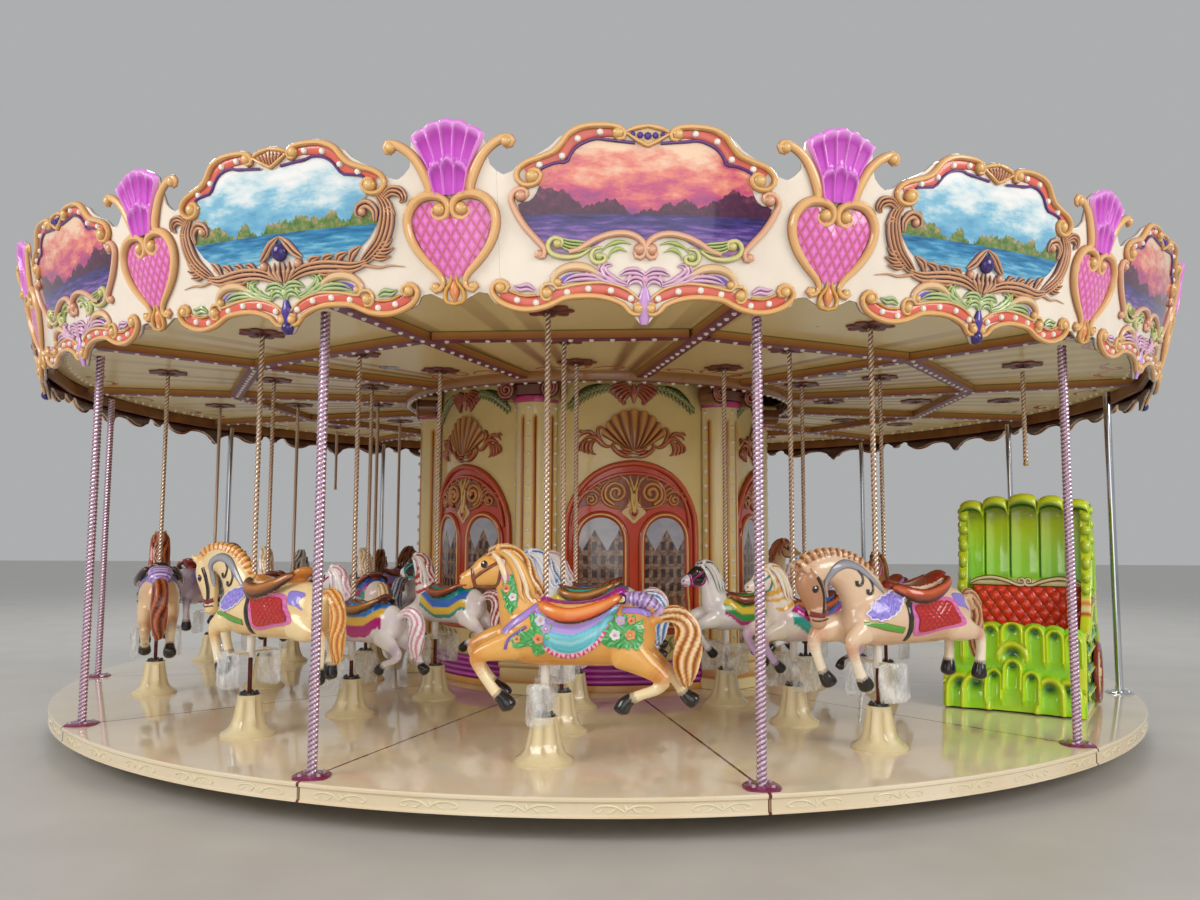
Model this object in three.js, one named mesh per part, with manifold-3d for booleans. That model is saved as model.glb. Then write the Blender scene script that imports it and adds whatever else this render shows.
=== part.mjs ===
// Fairground carousel with three rows of galloping horses, a chariot, a painted drum and a leaning
// crown of fascia boards. Millimetres, +Z up. The origin is on the ground, on the axis of turning.
// Angles are in degrees in plan, from the front (-Y) towards the right (+X).
import * as THREE from "three";
import { mergeVertices } from "three/addons/utils/BufferGeometryUtils.js";
import Module from "manifold-3d";

const wasm = await Module();
wasm.setup();

// Gaps between pieces that touch
const SEAT_GAP = 0.3;
const BEARING_GAP = 0.5;

// Platform
const RIM_RADIUS = 4600;
const DECK_TOP = 225;
const DECK_THICKNESS = 40;
const SKIRT_HEIGHT = 100;
const SKIRT_THICKNESS = 40;
const DECK_WELL_RADIUS = 420;
const SECTOR_ANGLE = 30;
const SECTOR_COUNT = 360 / SECTOR_ANGLE;
const QUARTER_SECTORS = 3;
const RIM_STEPS = 5;
const SEAM_HALF_ANGLE = 0.004;

// Pillars, counted from the one right of the front
const FIRST_PILLAR_ANGLE = 10.63;
const PILLAR_CIRCLE = 4480;
const PILLAR_RADIUS = 29;
const PILLAR_SIDES = 8;
const FOOT_PLATE_RADIUS = 95;
const FOOT_PLATE_THICKNESS = 14;

// Heights over the deck
const BEAM_SOFFIT = 2460;
const CEILING_UNDERSIDE = 2560;
const CEILING_THICKNESS = 30;
const CROWN_RING_TOP = 2920;

// Rows of horses
const ROW_RADIUS = { outer: 3890, middle: 3070, inner: 2240 };
const CHARIOT_BAY_RADIUS = { middle: 2800, inner: 2120 };
const CHARIOT_BAYS = [3, 9];
const FIRST_SECTOR_ANGLE = FIRST_PILLAR_ANGLE - SECTOR_ANGLE / 2;
// Height of each horse's belly over the deck, by the number of its sector
const BELLY_HEIGHT = {
  outer: { 1: 530, 2: 600, 6: 545, 7: 600, 8: 560, 10: 570, 11: 600, 12: 610 },
  middle: { 1: 635, 2: 540, 3: 600, 6: 545, 7: 610, 8: 520, 9: 585, 10: 560, 11: 615, 12: 505 },
  inner: { 1: 610, 2: 541, 3: 560, 6: 600, 7: 550, 8: 590, 9: 545, 10: 570, 11: 600, 12: 579 },
};
const SMALL_HORSE = 0.79;

// Poles, guide rods and their cones
const STROKE = 100;
const POLE_RADIUS = 19;
const POLE_SIDES = 6;
const POLE_HOLE_RADIUS = 40;
const POLE_HOLE_SIDES = 4;
const POLE_ABOVE_CEILING = 20;
const SLEEVE_RADIUS = 27;
const SLEEVE_LENGTH = 130;
const SLEEVE_BORE_RADIUS = 15.8;
const ROD_RADIUS = 15;
const CONE_FOOT_RADIUS = 165;
const CONE_WAIST_RADIUS = 95;
const CONE_WAIST_HEIGHT = 105;
const CONE_TOP_RADIUS = 72;
const CONE_HEIGHT = 250;
const CONE_SIDES = 6;
const FOOTREST_LENGTH = 340;
const FOOTREST_DEPTH = 30;
const FOOTREST_HEIGHT = 20;
const FOOTREST_DROP = 100;
const SHORT_POLE_END = 1785;

// Drum in the middle
const DRUM_RADIUS = 1550;
const DRUM_WALL = 50;
const DRUM_SIDES = 24;
const DRUM_HEIGHT = 2555;
const PLINTH_RADIUS = 1600;
const PLINTH_HEIGHT = 250;
const CORNICE_BOTTOM = 2480;
const COLUMN_WIDTH = 370;
const COLUMN_DEPTH = 185;
const COLUMN_COUNT = 6;
const COLUMN_STEPS = 5;
const COLUMN_BACK = 1565;
const COLUMN_BASE = { width: 470, depth: 260, height: 300 };
const COLUMN_CAPITAL = { width: 520, depth: 220, height: 170 };

// Canopy
const CEILING_INNER_RADIUS = 1820;
const BEAM_LENGTH = 4670;
const CROWN_COUNT = 16;
const CROWN_PITCH = 360 / CROWN_COUNT;
const FIRST_HEART_ANGLE = -8.58;
const BEAM_WIDTH = 110;
const RING_BEAM_RADIUS = 3330;
const RING_BEAM_WIDTH = 80;
const CROWN_RING_THICKNESS = 40;
const ROOF_RADIUS = 4835;
const ROOF_SIDES = 2 * CROWN_COUNT;
const ROOF_THICKNESS = 30;
const ROOF_RISE = 950;
const CAP_RADIUS = 360;
const CAP_HEIGHT = 330;

// Fascia board: it leans outward, and its edge follows the same outline on each side of a heart
const BOARD_RADIUS = 4784;
const BOARD_REFERENCE_HEIGHT = 2390;
const BOARD_LEAN = 0.228;
const BOARD_THICKNESS = 60;
// Degrees from the middle of a heart, then bottom edge and top edge over the deck
const BOARD_OUTLINE = [
  [0, 2380, 3244],
  [1.4, 2445, 3205],
  [2.35, 2400, 3130],
  [2.75, 2375, 2995],
  [4.2, 2354, 3040],
  [6.2, 2400, 3145],
  [8.6, 2410, 3204],
  [10, 2372, 3150],
  [11.25, 2280, 3181],
];
const FASCIA_SEAM = 2.75;

// Fixed base under the platform
const HUB_RADIUS = 800;
const HUB_BORE_RADIUS = 420;
const HUB_SIDES = 12;
const ARM_COUNT = 6;
const ARM_LENGTH = 4200;
const ARM_WIDTH = 120;
const ARM_TOP = 100;
const FOOT_SIZE = 300;
const FOOT_THICKNESS = 25;

// Chariot, in its own frame: +X forward, +Y outward, from the deck up
const CHARIOT_RADIUS = 3780;
const CHARIOT_ANGLE = 58;
const CHARIOT_HALF_WIDTH = 480;
const CHARIOT_FRONT = 430;
const CHARIOT_BACK = -640;
const CHARIOT_SIDE_THICKNESS = 70;
const CHARIOT_APRON_HEIGHT = 620;
const CHARIOT_SIDE_HEIGHT = 760;
const CHARIOT_SHELL_HEIGHT = 1590;
const SEAT_HEIGHT = 430;
const SEAT_DEPTH = 420;
const BACKREST_THICKNESS = 90;
const BACKREST_TOP = 960;
const WHEEL_RADIUS = 230;
const WHEEL_THICKNESS = 40;

const paint = (color, roughness, metalness = 0) =>
  new THREE.MeshStandardMaterial({ color, roughness, metalness });
const CREAM = paint(0xf1e2b4, 0.25);
const STEEL = paint(0x4a4a4c, 0.6, 0.6);
const PURPLE_TUBE = paint(0xa83a86, 0.3, 0.7);
const CHROME = paint(0xc9ccd0, 0.15, 1);
const BRASS = paint(0xd8a24a, 0.3, 0.9);
const OCHRE = paint(0xa9743a, 0.4);
const LIME = paint(0x8fce1c, 0.25);
const RED = paint(0xc8281e, 0.35);
const PALOMINO = paint(0xe8ab5c, 0.3);
const PALE_HORSE = paint(0xe6c39c, 0.3);
const WHITE_HORSE = paint(0xe9e2e6, 0.3);

const carousel = new THREE.Group();

// Turns a closed three.js geometry into a solid, with its faces pointing out.
function solidOf(geometry) {
  const plain = geometry.clone();
  plain.deleteAttribute("normal");
  plain.deleteAttribute("uv");
  const merged = mergeVertices(plain, 1e-3);
  const triVerts = new Uint32Array(merged.index.array);
  const vertProperties = merged.attributes.position.array;
  const build = () => new wasm.Manifold(new wasm.Mesh({ numProp: 3, vertProperties, triVerts }));
  const made = build();
  if (made.volume() > 0) return made;
  for (let i = 0; i < triVerts.length; i += 3) {
    const kept = triVerts[i + 1];
    triVerts[i + 1] = triVerts[i + 2];
    triVerts[i + 2] = kept;
  }
  return build();
}

function geometryOf(solid) {
  const mesh = solid.getMesh();
  const geometry = new THREE.BufferGeometry();
  geometry.setAttribute("position", new THREE.BufferAttribute(new Float32Array(mesh.vertProperties), 3));
  geometry.setIndex(new THREE.BufferAttribute(new Uint32Array(mesh.triVerts), 1));
  geometry.computeVertexNormals();
  return geometry;
}

function unite(geometries) {
  return geometries.map(solidOf).reduce((sum, next) => sum.add(next));
}

function addPart(parent, name, solid, material) {
  const mesh = new THREE.Mesh(geometryOf(solid), material);
  mesh.name = name;
  parent.add(mesh);
  return mesh;
}

// A point in plan at a radius and an angle.
function planPoint(radius, degrees) {
  const angle = THREE.MathUtils.degToRad(degrees);
  return new THREE.Vector2(radius * Math.sin(angle), -radius * Math.cos(angle));
}

// A profile of [radius, height] points turned round the vertical axis.
function turned(profile, sides, startDegrees = 0) {
  const points = profile.map(([radius, height]) => new THREE.Vector2(radius, height));
  const start = THREE.MathUtils.degToRad(startDegrees);
  return new THREE.LatheGeometry(points, sides, start).rotateX(Math.PI / 2);
}

// A hollow ring with a rectangular section.
function ring(innerRadius, outerRadius, bottom, top, sides, startDegrees = 0) {
  const profile = [
    [innerRadius, bottom],
    [outerRadius, bottom],
    [outerRadius, top],
    [innerRadius, top],
    [innerRadius, bottom],
  ];
  return turned(profile, sides, startDegrees);
}

// An upright prism over an outline in plan.
function prism(outline, bottom, top, holes = []) {
  const shape = new THREE.Shape(outline);
  shape.holes = holes.map((hole) => new THREE.Path(hole));
  const geometry = new THREE.ExtrudeGeometry(shape, { depth: top - bottom, bevelEnabled: false });
  return geometry.translate(0, 0, bottom);
}

function box(low, high) {
  const size = high.map((value, i) => value - low[i]);
  const middle = high.map((value, i) => (value + low[i]) / 2);
  return new THREE.BoxGeometry(...size).translate(...middle);
}

// Moves geometry made round the origin, with +X outward, to a radius and an angle in plan.
function outwardAt(geometry, radius, degrees) {
  const place = planPoint(radius, degrees);
  geometry.rotateZ(THREE.MathUtils.degToRad(degrees - 90));
  return geometry.translate(place.x, place.y, 0);
}

// A limb through stations [x, y, z, half width across Y, half depth]. Each ring of the cylinder
// lies square to the path between its neighbours.
function limb(stations, sides) {
  const geometry = new THREE.CylinderGeometry(1, 1, 1, sides, stations.length - 1);
  const position = geometry.attributes.position;
  const across = new THREE.Vector3(0, 1, 0);
  const place = stations.map(([x, y, z]) => new THREE.Vector3(x, y, z));
  for (let i = 0; i < position.count; i++) {
    const ringIndex = Math.round((0.5 - position.getY(i)) * (stations.length - 1));
    const before = place[Math.max(ringIndex - 1, 0)];
    const after = place[Math.min(ringIndex + 1, place.length - 1)];
    const along = after.clone().sub(before).normalize();
    const deep = along.clone().cross(across).normalize();
    const [halfWidth, halfDepth] = stations[ringIndex].slice(3);
    const point = place[ringIndex].clone();
    point.addScaledVector(across, position.getX(i) * halfWidth);
    point.addScaledVector(deep, position.getZ(i) * halfDepth);
    position.setXYZ(i, point.x, point.y, point.z);
  }
  return geometry;
}

const sectorAngle = (sector) => FIRST_SECTOR_ANGLE + SECTOR_ANGLE * (sector - 1);
const twoDigits = (number) => String(number).padStart(2, "0");
const QUARTER_NAMES = ["front_right", "rear_right", "rear_left", "front_left"];

function rowRadius(row, sector) {
  return CHARIOT_BAYS.includes(sector) ? CHARIOT_BAY_RADIUS[row] : ROW_RADIUS[row];
}

// Every horse place that is filled: its row, sector and belly height.
const horsePlaces = Object.entries(BELLY_HEIGHT).flatMap(([row, heights]) =>
  Object.entries(heights).map(([sector, belly]) => ({ row, sector: Number(sector), belly })),
);

// Fixed base: a bearing hub and radial arms, each with a flat foot at its end.
function makeBase() {
  const hubTop = DECK_TOP - DECK_THICKNESS - BEARING_GAP;
  const parts = [ring(HUB_BORE_RADIUS, HUB_RADIUS, 0, hubTop, HUB_SIDES)];
  for (let i = 0; i < ARM_COUNT; i++) {
    const degrees = FIRST_PILLAR_ANGLE + (360 / ARM_COUNT) * i;
    const arm = box([HUB_RADIUS - 100, -ARM_WIDTH / 2, FOOT_THICKNESS / 2], [ARM_LENGTH, ARM_WIDTH / 2, ARM_TOP]);
    const foot = box([ARM_LENGTH - FOOT_SIZE, -FOOT_SIZE / 2, 0], [ARM_LENGTH - 10, FOOT_SIZE / 2, FOOT_THICKNESS]);
    parts.push(outwardAt(arm, 0, degrees), outwardAt(foot, 0, degrees));
  }
  addPart(carousel, "base_frame", unite(parts), STEEL);
}

// Fluted cone on the deck with the guide rod that the horse's sleeve slides on.
function guideCone(row, sector, belly) {
  const sunk = DECK_THICKNESS / 4;
  const profile = [
    [0, -sunk],
    [CONE_FOOT_RADIUS, -sunk],
    [CONE_WAIST_RADIUS, CONE_WAIST_HEIGHT],
    [CONE_TOP_RADIUS, CONE_HEIGHT],
    [ROD_RADIUS, CONE_HEIGHT],
    [ROD_RADIUS, belly],
    [0, belly],
  ];
  const place = planPoint(rowRadius(row, sector), sectorAngle(sector));
  return turned(profile, CONE_SIDES, sectorAngle(sector)).translate(place.x, place.y, DECK_TOP);
}

// A quarter of the deck: plate, skirt and the cones that stand on it.
function makeDeckQuarter(quarter) {
  const start = FIRST_PILLAR_ANGLE + quarter * QUARTER_SECTORS * SECTOR_ANGLE;
  const span = QUARTER_SECTORS * SECTOR_ANGLE;
  const steps = QUARTER_SECTORS * RIM_STEPS;
  const arc = (radius, count, seam) =>
    Array.from({ length: count + 1 }, (_, i) => {
      const low = start + seam;
      return planPoint(radius, low + ((span - 2 * seam) * i) / count);
    });
  const wellSeam = (SEAM_HALF_ANGLE * RIM_RADIUS) / DECK_WELL_RADIUS;
  const plate = [...arc(RIM_RADIUS, steps, SEAM_HALF_ANGLE), ...arc(DECK_WELL_RADIUS, 6, wellSeam).reverse()];
  const skirtInner = RIM_RADIUS - SKIRT_THICKNESS;
  const skirt = [...arc(RIM_RADIUS, steps, SEAM_HALF_ANGLE), ...arc(skirtInner, steps, SEAM_HALF_ANGLE).reverse()];
  const parts = [
    prism(plate, DECK_TOP - DECK_THICKNESS, DECK_TOP),
    prism(skirt, DECK_TOP - SKIRT_HEIGHT, DECK_TOP - DECK_THICKNESS / 2),
  ];
  const firstSector = quarter * QUARTER_SECTORS + 2;
  for (let i = 0; i < QUARTER_SECTORS; i++) {
    const sector = ((firstSector + i - 1) % SECTOR_COUNT) + 1;
    for (const place of horsePlaces.filter((one) => one.sector === sector)) {
      parts.push(guideCone(place.row, sector, place.belly));
    }
  }
  addPart(carousel, "deck_" + QUARTER_NAMES[quarter], unite(parts), CREAM);
}

// Pillars: the five at the front left and front are rope-twisted and purple, the others plain.
function makePillars() {
  for (let i = 0; i < SECTOR_COUNT; i++) {
    const degrees = FIRST_PILLAR_ANGLE + SECTOR_ANGLE * i;
    const profile = [
      [0, SEAT_GAP],
      [FOOT_PLATE_RADIUS, SEAT_GAP],
      [FOOT_PLATE_RADIUS, FOOT_PLATE_THICKNESS],
      [PILLAR_RADIUS, FOOT_PLATE_THICKNESS],
      [PILLAR_RADIUS, BEAM_SOFFIT - SEAT_GAP],
      [0, BEAM_SOFFIT - SEAT_GAP],
    ];
    const place = planPoint(PILLAR_CIRCLE, degrees);
    const pillar = turned(profile, PILLAR_SIDES, degrees).translate(place.x, place.y, DECK_TOP);
    const twisted = i < 2 || i > 8;
    addPart(carousel, "pillar_" + twoDigits(i + 1), solidOf(pillar), twisted ? PURPLE_TUBE : CHROME);
  }
}

// Height of the roof's underside at a radius, over the deck
const roofUnderside = (radius) => CROWN_RING_TOP + SEAT_GAP + ROOF_RISE * (1 - radius / ROOF_RADIUS);

// Drum: a round wall up to the roof, and the columns with the rings that join them.
function makeDrum() {
  const facetReach = DRUM_RADIUS / Math.cos(Math.PI / ROOF_SIDES);
  const wallTop = DECK_TOP + roofUnderside(facetReach) - SEAT_GAP;
  const wall = ring(DRUM_RADIUS - DRUM_WALL, DRUM_RADIUS, DECK_TOP + SEAT_GAP, wallTop, DRUM_SIDES);
  addPart(carousel, "drum_wall", solidOf(wall), CREAM);

  const inner = DRUM_RADIUS + BEARING_GAP;
  const parts = [
    ring(inner, PLINTH_RADIUS, DECK_TOP + SEAT_GAP, DECK_TOP + PLINTH_HEIGHT, DRUM_SIDES),
    ring(inner, PLINTH_RADIUS, DECK_TOP + CORNICE_BOTTOM, DECK_TOP + DRUM_HEIGHT - 10, DRUM_SIDES),
  ];
  for (let i = 0; i < COLUMN_COUNT; i++) {
    const degrees = FIRST_PILLAR_ANGLE + SECTOR_ANGLE + (360 / COLUMN_COUNT) * i;
    const shaft = Array.from({ length: COLUMN_STEPS + 1 }, (_, step) => {
      const turn = Math.PI * (step / COLUMN_STEPS - 0.5);
      return new THREE.Vector2(COLUMN_BACK + COLUMN_DEPTH * Math.cos(turn), (COLUMN_WIDTH / 2) * Math.sin(turn));
    });
    parts.push(outwardAt(prism(shaft, DECK_TOP + 100, DECK_TOP + CORNICE_BOTTOM + 50), 0, degrees));
    const base = COLUMN_BASE;
    const capital = COLUMN_CAPITAL;
    const baseLow = [COLUMN_BACK, -base.width / 2, DECK_TOP + SEAT_GAP];
    const baseHigh = [COLUMN_BACK + base.depth, base.width / 2, DECK_TOP + base.height];
    parts.push(outwardAt(box(baseLow, baseHigh), 0, degrees));
    const capitalTop = DECK_TOP + DRUM_HEIGHT;
    const capitalLow = [COLUMN_BACK, -capital.width / 2, capitalTop - capital.height];
    const capitalHigh = [COLUMN_BACK + capital.depth, capital.width / 2, capitalTop];
    parts.push(outwardAt(box(capitalLow, capitalHigh), 0, degrees));
  }
  addPart(carousel, "drum_columns", unite(parts), CREAM);
}

const boardRadius = (height) => BOARD_RADIUS + BOARD_LEAN * (height - BOARD_REFERENCE_HEIGHT);

// Inner radius of the crown ring at a height over the deck.
const ringRadius = (height) => boardRadius(height) - BOARD_THICKNESS - BEARING_GAP - CROWN_RING_THICKNESS;

// Crown ring: the leaning ring that the fascia boards are bolted to.
function makeCrownRing() {
  const profile = [
    [ringRadius(BEAM_SOFFIT), BEAM_SOFFIT],
    [ringRadius(BEAM_SOFFIT) + CROWN_RING_THICKNESS, BEAM_SOFFIT],
    [ringRadius(CROWN_RING_TOP) + CROWN_RING_THICKNESS, CROWN_RING_TOP],
    [ringRadius(CROWN_RING_TOP), CROWN_RING_TOP],
    [ringRadius(BEAM_SOFFIT), BEAM_SOFFIT],
  ];
  const band = turned(profile, 2 * CROWN_COUNT, FIRST_HEART_ANGLE).translate(0, 0, DECK_TOP);
  addPart(carousel, "crown_ring", solidOf(band), OCHRE);
}

// Ceiling: a flat annulus with a hole for each pole, carried by a radial beam over each pillar and
// a straight beam across each sector.
function makeCeiling() {
  const outline = (radius, sides, start) =>
    Array.from({ length: sides }, (_, i) => planPoint(radius, start + (360 * i) / sides));
  const holes = horsePlaces.map(({ row, sector }) => {
    const middle = planPoint(rowRadius(row, sector), sectorAngle(sector));
    return outline(POLE_HOLE_RADIUS, POLE_HOLE_SIDES, sectorAngle(sector)).map((point) => point.add(middle));
  });
  holes.push(outline(CEILING_INNER_RADIUS, SECTOR_COUNT * 2, FIRST_PILLAR_ANGLE));
  const bottom = DECK_TOP + CEILING_UNDERSIDE;
  const rim = outline(ringRadius(CEILING_UNDERSIDE) - SEAT_GAP, 2 * CROWN_COUNT, FIRST_HEART_ANGLE);
  const parts = [prism(rim, bottom, bottom + CEILING_THICKNESS, holes)];
  const soffit = DECK_TOP + BEAM_SOFFIT;
  const beamTop = bottom + CEILING_THICKNESS / 2;
  const crossLength = 2 * RING_BEAM_RADIUS * Math.tan(THREE.MathUtils.degToRad(SECTOR_ANGLE / 2));
  for (let i = 0; i < SECTOR_COUNT; i++) {
    const degrees = FIRST_PILLAR_ANGLE + SECTOR_ANGLE * i;
    const low = [CEILING_INNER_RADIUS + 10, -BEAM_WIDTH / 2, soffit];
    const high = [BEAM_LENGTH, BEAM_WIDTH / 2, beamTop];
    const crossLow = [RING_BEAM_RADIUS - RING_BEAM_WIDTH, -crossLength / 2, soffit];
    const crossHigh = [RING_BEAM_RADIUS, crossLength / 2, beamTop];
    parts.push(outwardAt(box(low, high), 0, degrees));
    parts.push(outwardAt(box(crossLow, crossHigh), 0, degrees + SECTOR_ANGLE / 2));
  }
  addPart(carousel, "ceiling", unite(parts), CREAM);
}

// Fascia: a quarter of the crown, as a leaning band with the outline of four panels.
function makeFasciaQuarter(quarter) {
  const start = FIRST_HEART_ANGLE + FASCIA_SEAM + 90 * quarter;
  const half = BOARD_OUTLINE.slice(1, -1);
  const around = [];
  for (let i = -1; i <= CROWN_COUNT / 4 + 1; i++) {
    const heart = FIRST_HEART_ANGLE + 90 * quarter + CROWN_PITCH * i;
    const columns = [
      ...half.map(([turn, low, high]) => [heart - turn, low, high]).reverse(),
      [heart, BOARD_OUTLINE[0][1], BOARD_OUTLINE[0][2]],
      ...half.map(([turn, low, high]) => [heart + turn, low, high]),
      [heart + CROWN_PITCH / 2, BOARD_OUTLINE.at(-1)[1], BOARD_OUTLINE.at(-1)[2]],
    ];
    around.push(...columns);
  }
  const columns = around.filter(([degrees]) => degrees > start - 1e-6 && degrees < start + 90 + 1e-6);
  columns[0] = [columns[0][0] + SEAM_HALF_ANGLE, columns[0][1], columns[0][2]];
  const last = columns.at(-1);
  columns[columns.length - 1] = [last[0] - SEAM_HALF_ANGLE, last[1], last[2]];
  const band = new THREE.BoxGeometry(1, 1, 1, columns.length - 1, 1, 1);
  const position = band.attributes.position;
  for (let i = 0; i < position.count; i++) {
    const index = Math.round((position.getX(i) + 0.5) * (columns.length - 1));
    const [degrees, low, high] = columns[index];
    const height = position.getY(i) > 0 ? high : low;
    const depth = position.getZ(i) > 0 ? 0 : BOARD_THICKNESS;
    const place = planPoint(boardRadius(height) - depth, degrees);
    position.setXYZ(i, place.x, place.y, DECK_TOP + height);
  }
  addPart(carousel, "fascia_" + QUARTER_NAMES[quarter], solidOf(band), CREAM);
}

// Roof: a low cone on the crown ring, hollow underneath, with a cap on its top.
function makeRoof() {
  const profile = [
    [0, roofUnderside(0)],
    [ROOF_RADIUS, roofUnderside(ROOF_RADIUS)],
    [ROOF_RADIUS, roofUnderside(ROOF_RADIUS) + ROOF_THICKNESS],
    [CAP_RADIUS, roofUnderside(CAP_RADIUS) + ROOF_THICKNESS],
    [CAP_RADIUS * 0.8, roofUnderside(0) + CAP_HEIGHT * 0.5],
    [0, roofUnderside(0) + CAP_HEIGHT],
  ];
  const roof = turned(profile, ROOF_SIDES, FIRST_HEART_ANGLE).translate(0, 0, DECK_TOP);
  addPart(carousel, "roof", solidOf(roof), CREAM);
}

// Horse shapes, full size, from the pole's axis: +X forward, +Y outward, Z from the belly up.
// Stations are [x, y, z, half width, half depth].
const NEAR = 78;
const GALLOPING = {
  torso: [
    [255, 0, 195, 64, 80],
    [110, 0, 172, 138, 165],
    [-440, 0, 170, 144, 176],
    [-622, 0, 212, 62, 88],
  ],
  neck: [
    [95, 0, 250, 92, 150],
    [300, 0, 565, 60, 92],
    [492, 0, 435, 38, 44],
  ],
  legs: [
    [[120, NEAR, 90, 62, 70], [360, NEAR, 25, 36, 42], [170, NEAR, -262, 34, 38]],
    [[140, -NEAR, 110, 62, 70], [410, -NEAR, 70, 36, 42], [260, -NEAR, -215, 34, 38]],
    [[-470, NEAR, 110, 66, 110], [-655, NEAR, -70, 34, 42], [-415, NEAR, -270, 34, 38]],
    [[-500, -NEAR, 110, 66, 110], [-700, -NEAR, -90, 34, 42], [-840, -NEAR, -255, 34, 38]],
  ],
  tail: [
    [-590, 0, 250, 34, 36],
    [-815, 0, 270, 44, 60],
    [-800, 0, -120, 30, 30],
  ],
};
const ARCHED = {
  torso: [
    [255, 0, 210, 64, 82],
    [110, 0, 178, 138, 170],
    [-500, 0, 176, 144, 176],
    [-712, 0, 222, 62, 88],
  ],
  neck: [
    [110, 0, 300, 88, 150],
    [290, 0, 495, 60, 90],
    [520, 0, 475, 56, 80],
    [470, 0, 150, 38, 44],
  ],
  legs: [
    [[150, NEAR, 100, 62, 76], [340, NEAR, 60, 36, 42], [170, NEAR, -258, 34, 38]],
    [[170, -NEAR, 110, 62, 76], [450, -NEAR, 70, 36, 42], [345, -NEAR, -245, 34, 38]],
    [[-560, NEAR, 120, 66, 112], [-775, NEAR, 40, 34, 42], [-740, NEAR, -268, 34, 38]],
    [[-560, -NEAR, 120, 66, 112], [-700, -NEAR, 10, 34, 42], [-630, -NEAR, -262, 34, 38]],
  ],
  tail: [
    [-690, 0, 270, 34, 36],
    [-830, 0, 230, 44, 60],
    [-820, 0, -110, 30, 30],
  ],
};
// Saddle over the back of the outer row's horses
const SADDLE = [
  [30, 0, 355, 58, 34],
  [-200, 0, 336, 108, 36],
  [-400, 0, 385, 60, 26],
];
const PALE_SECTORS = [2, 12, 10, 8];

// A horse with its pole, sleeve and footrest bar. Small horses get fewer faces.
function makeHorse({ row, sector, belly }) {
  const arched = row === "outer" && PALE_SECTORS.includes(sector);
  const form = arched ? ARCHED : GALLOPING;
  const outerRow = row === "outer";
  const size = outerRow ? 1 : SMALL_HORSE;
  const sides = outerRow ? { body: 6, head: 6, leg: 4 } : { body: 5, head: 4, leg: 3 };
  const parts = [limb(form.torso, sides.body), limb(form.neck, sides.head), limb(form.tail, sides.leg)];
  for (const leg of form.legs) parts.push(limb(leg, sides.leg));
  if (outerRow) parts.push(limb(SADDLE, 4));
  let horse = unite(parts.map((part) => part.scale(size, size, size)));

  const poleTop = CEILING_UNDERSIDE + CEILING_THICKNESS + STROKE + POLE_ABOVE_CEILING - belly;
  const pole = turned(
    [
      [0, -SLEEVE_LENGTH],
      [SLEEVE_RADIUS, -SLEEVE_LENGTH],
      [SLEEVE_RADIUS, 40],
      [POLE_RADIUS, 60],
      [POLE_RADIUS, poleTop],
      [0, poleTop],
    ],
    POLE_SIDES,
  );
  const halfBar = FOOTREST_LENGTH / 2;
  const barMiddle = -FOOTREST_DROP;
  const bar = box(
    [-FOOTREST_DEPTH / 2, -halfBar, barMiddle - FOOTREST_HEIGHT / 2],
    [FOOTREST_DEPTH / 2, halfBar, barMiddle + FOOTREST_HEIGHT / 2],
  );
  const boreTop = STROKE + 15;
  const bore = turned(
    [
      [0, -SLEEVE_LENGTH - 20],
      [SLEEVE_BORE_RADIUS, -SLEEVE_LENGTH - 20],
      [SLEEVE_BORE_RADIUS, boreTop],
      [0, boreTop],
    ],
    POLE_SIDES,
  );
  horse = horse.add(solidOf(pole)).add(solidOf(bar)).subtract(solidOf(bore));

  const material = outerRow ? (arched ? PALE_HORSE : PALOMINO) : WHITE_HORSE;
  const mesh = addPart(carousel, row + "_horse_" + twoDigits(sector), horse, material);
  const degrees = sectorAngle(sector);
  const place = planPoint(rowRadius(row, sector), degrees);
  mesh.position.set(place.x, place.y, DECK_TOP + belly);
  mesh.rotation.z = THREE.MathUtils.degToRad(degrees + 180);
}

// Poles of the chariot bays: they hang short from the ceiling and carry no horse.
function makeShortPoles() {
  for (const sector of CHARIOT_BAYS) {
    const place = planPoint(ROW_RADIUS.outer, sectorAngle(sector));
    const top = CEILING_UNDERSIDE;
    const profile = [
      [0, SHORT_POLE_END],
      [POLE_RADIUS, SHORT_POLE_END],
      [POLE_RADIUS, top],
      [0, top],
    ];
    const pole = turned(profile, POLE_SIDES).translate(place.x, place.y, DECK_TOP);
    addPart(carousel, "short_pole_" + twoDigits(sector), solidOf(pole), BRASS);
  }
}

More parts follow.
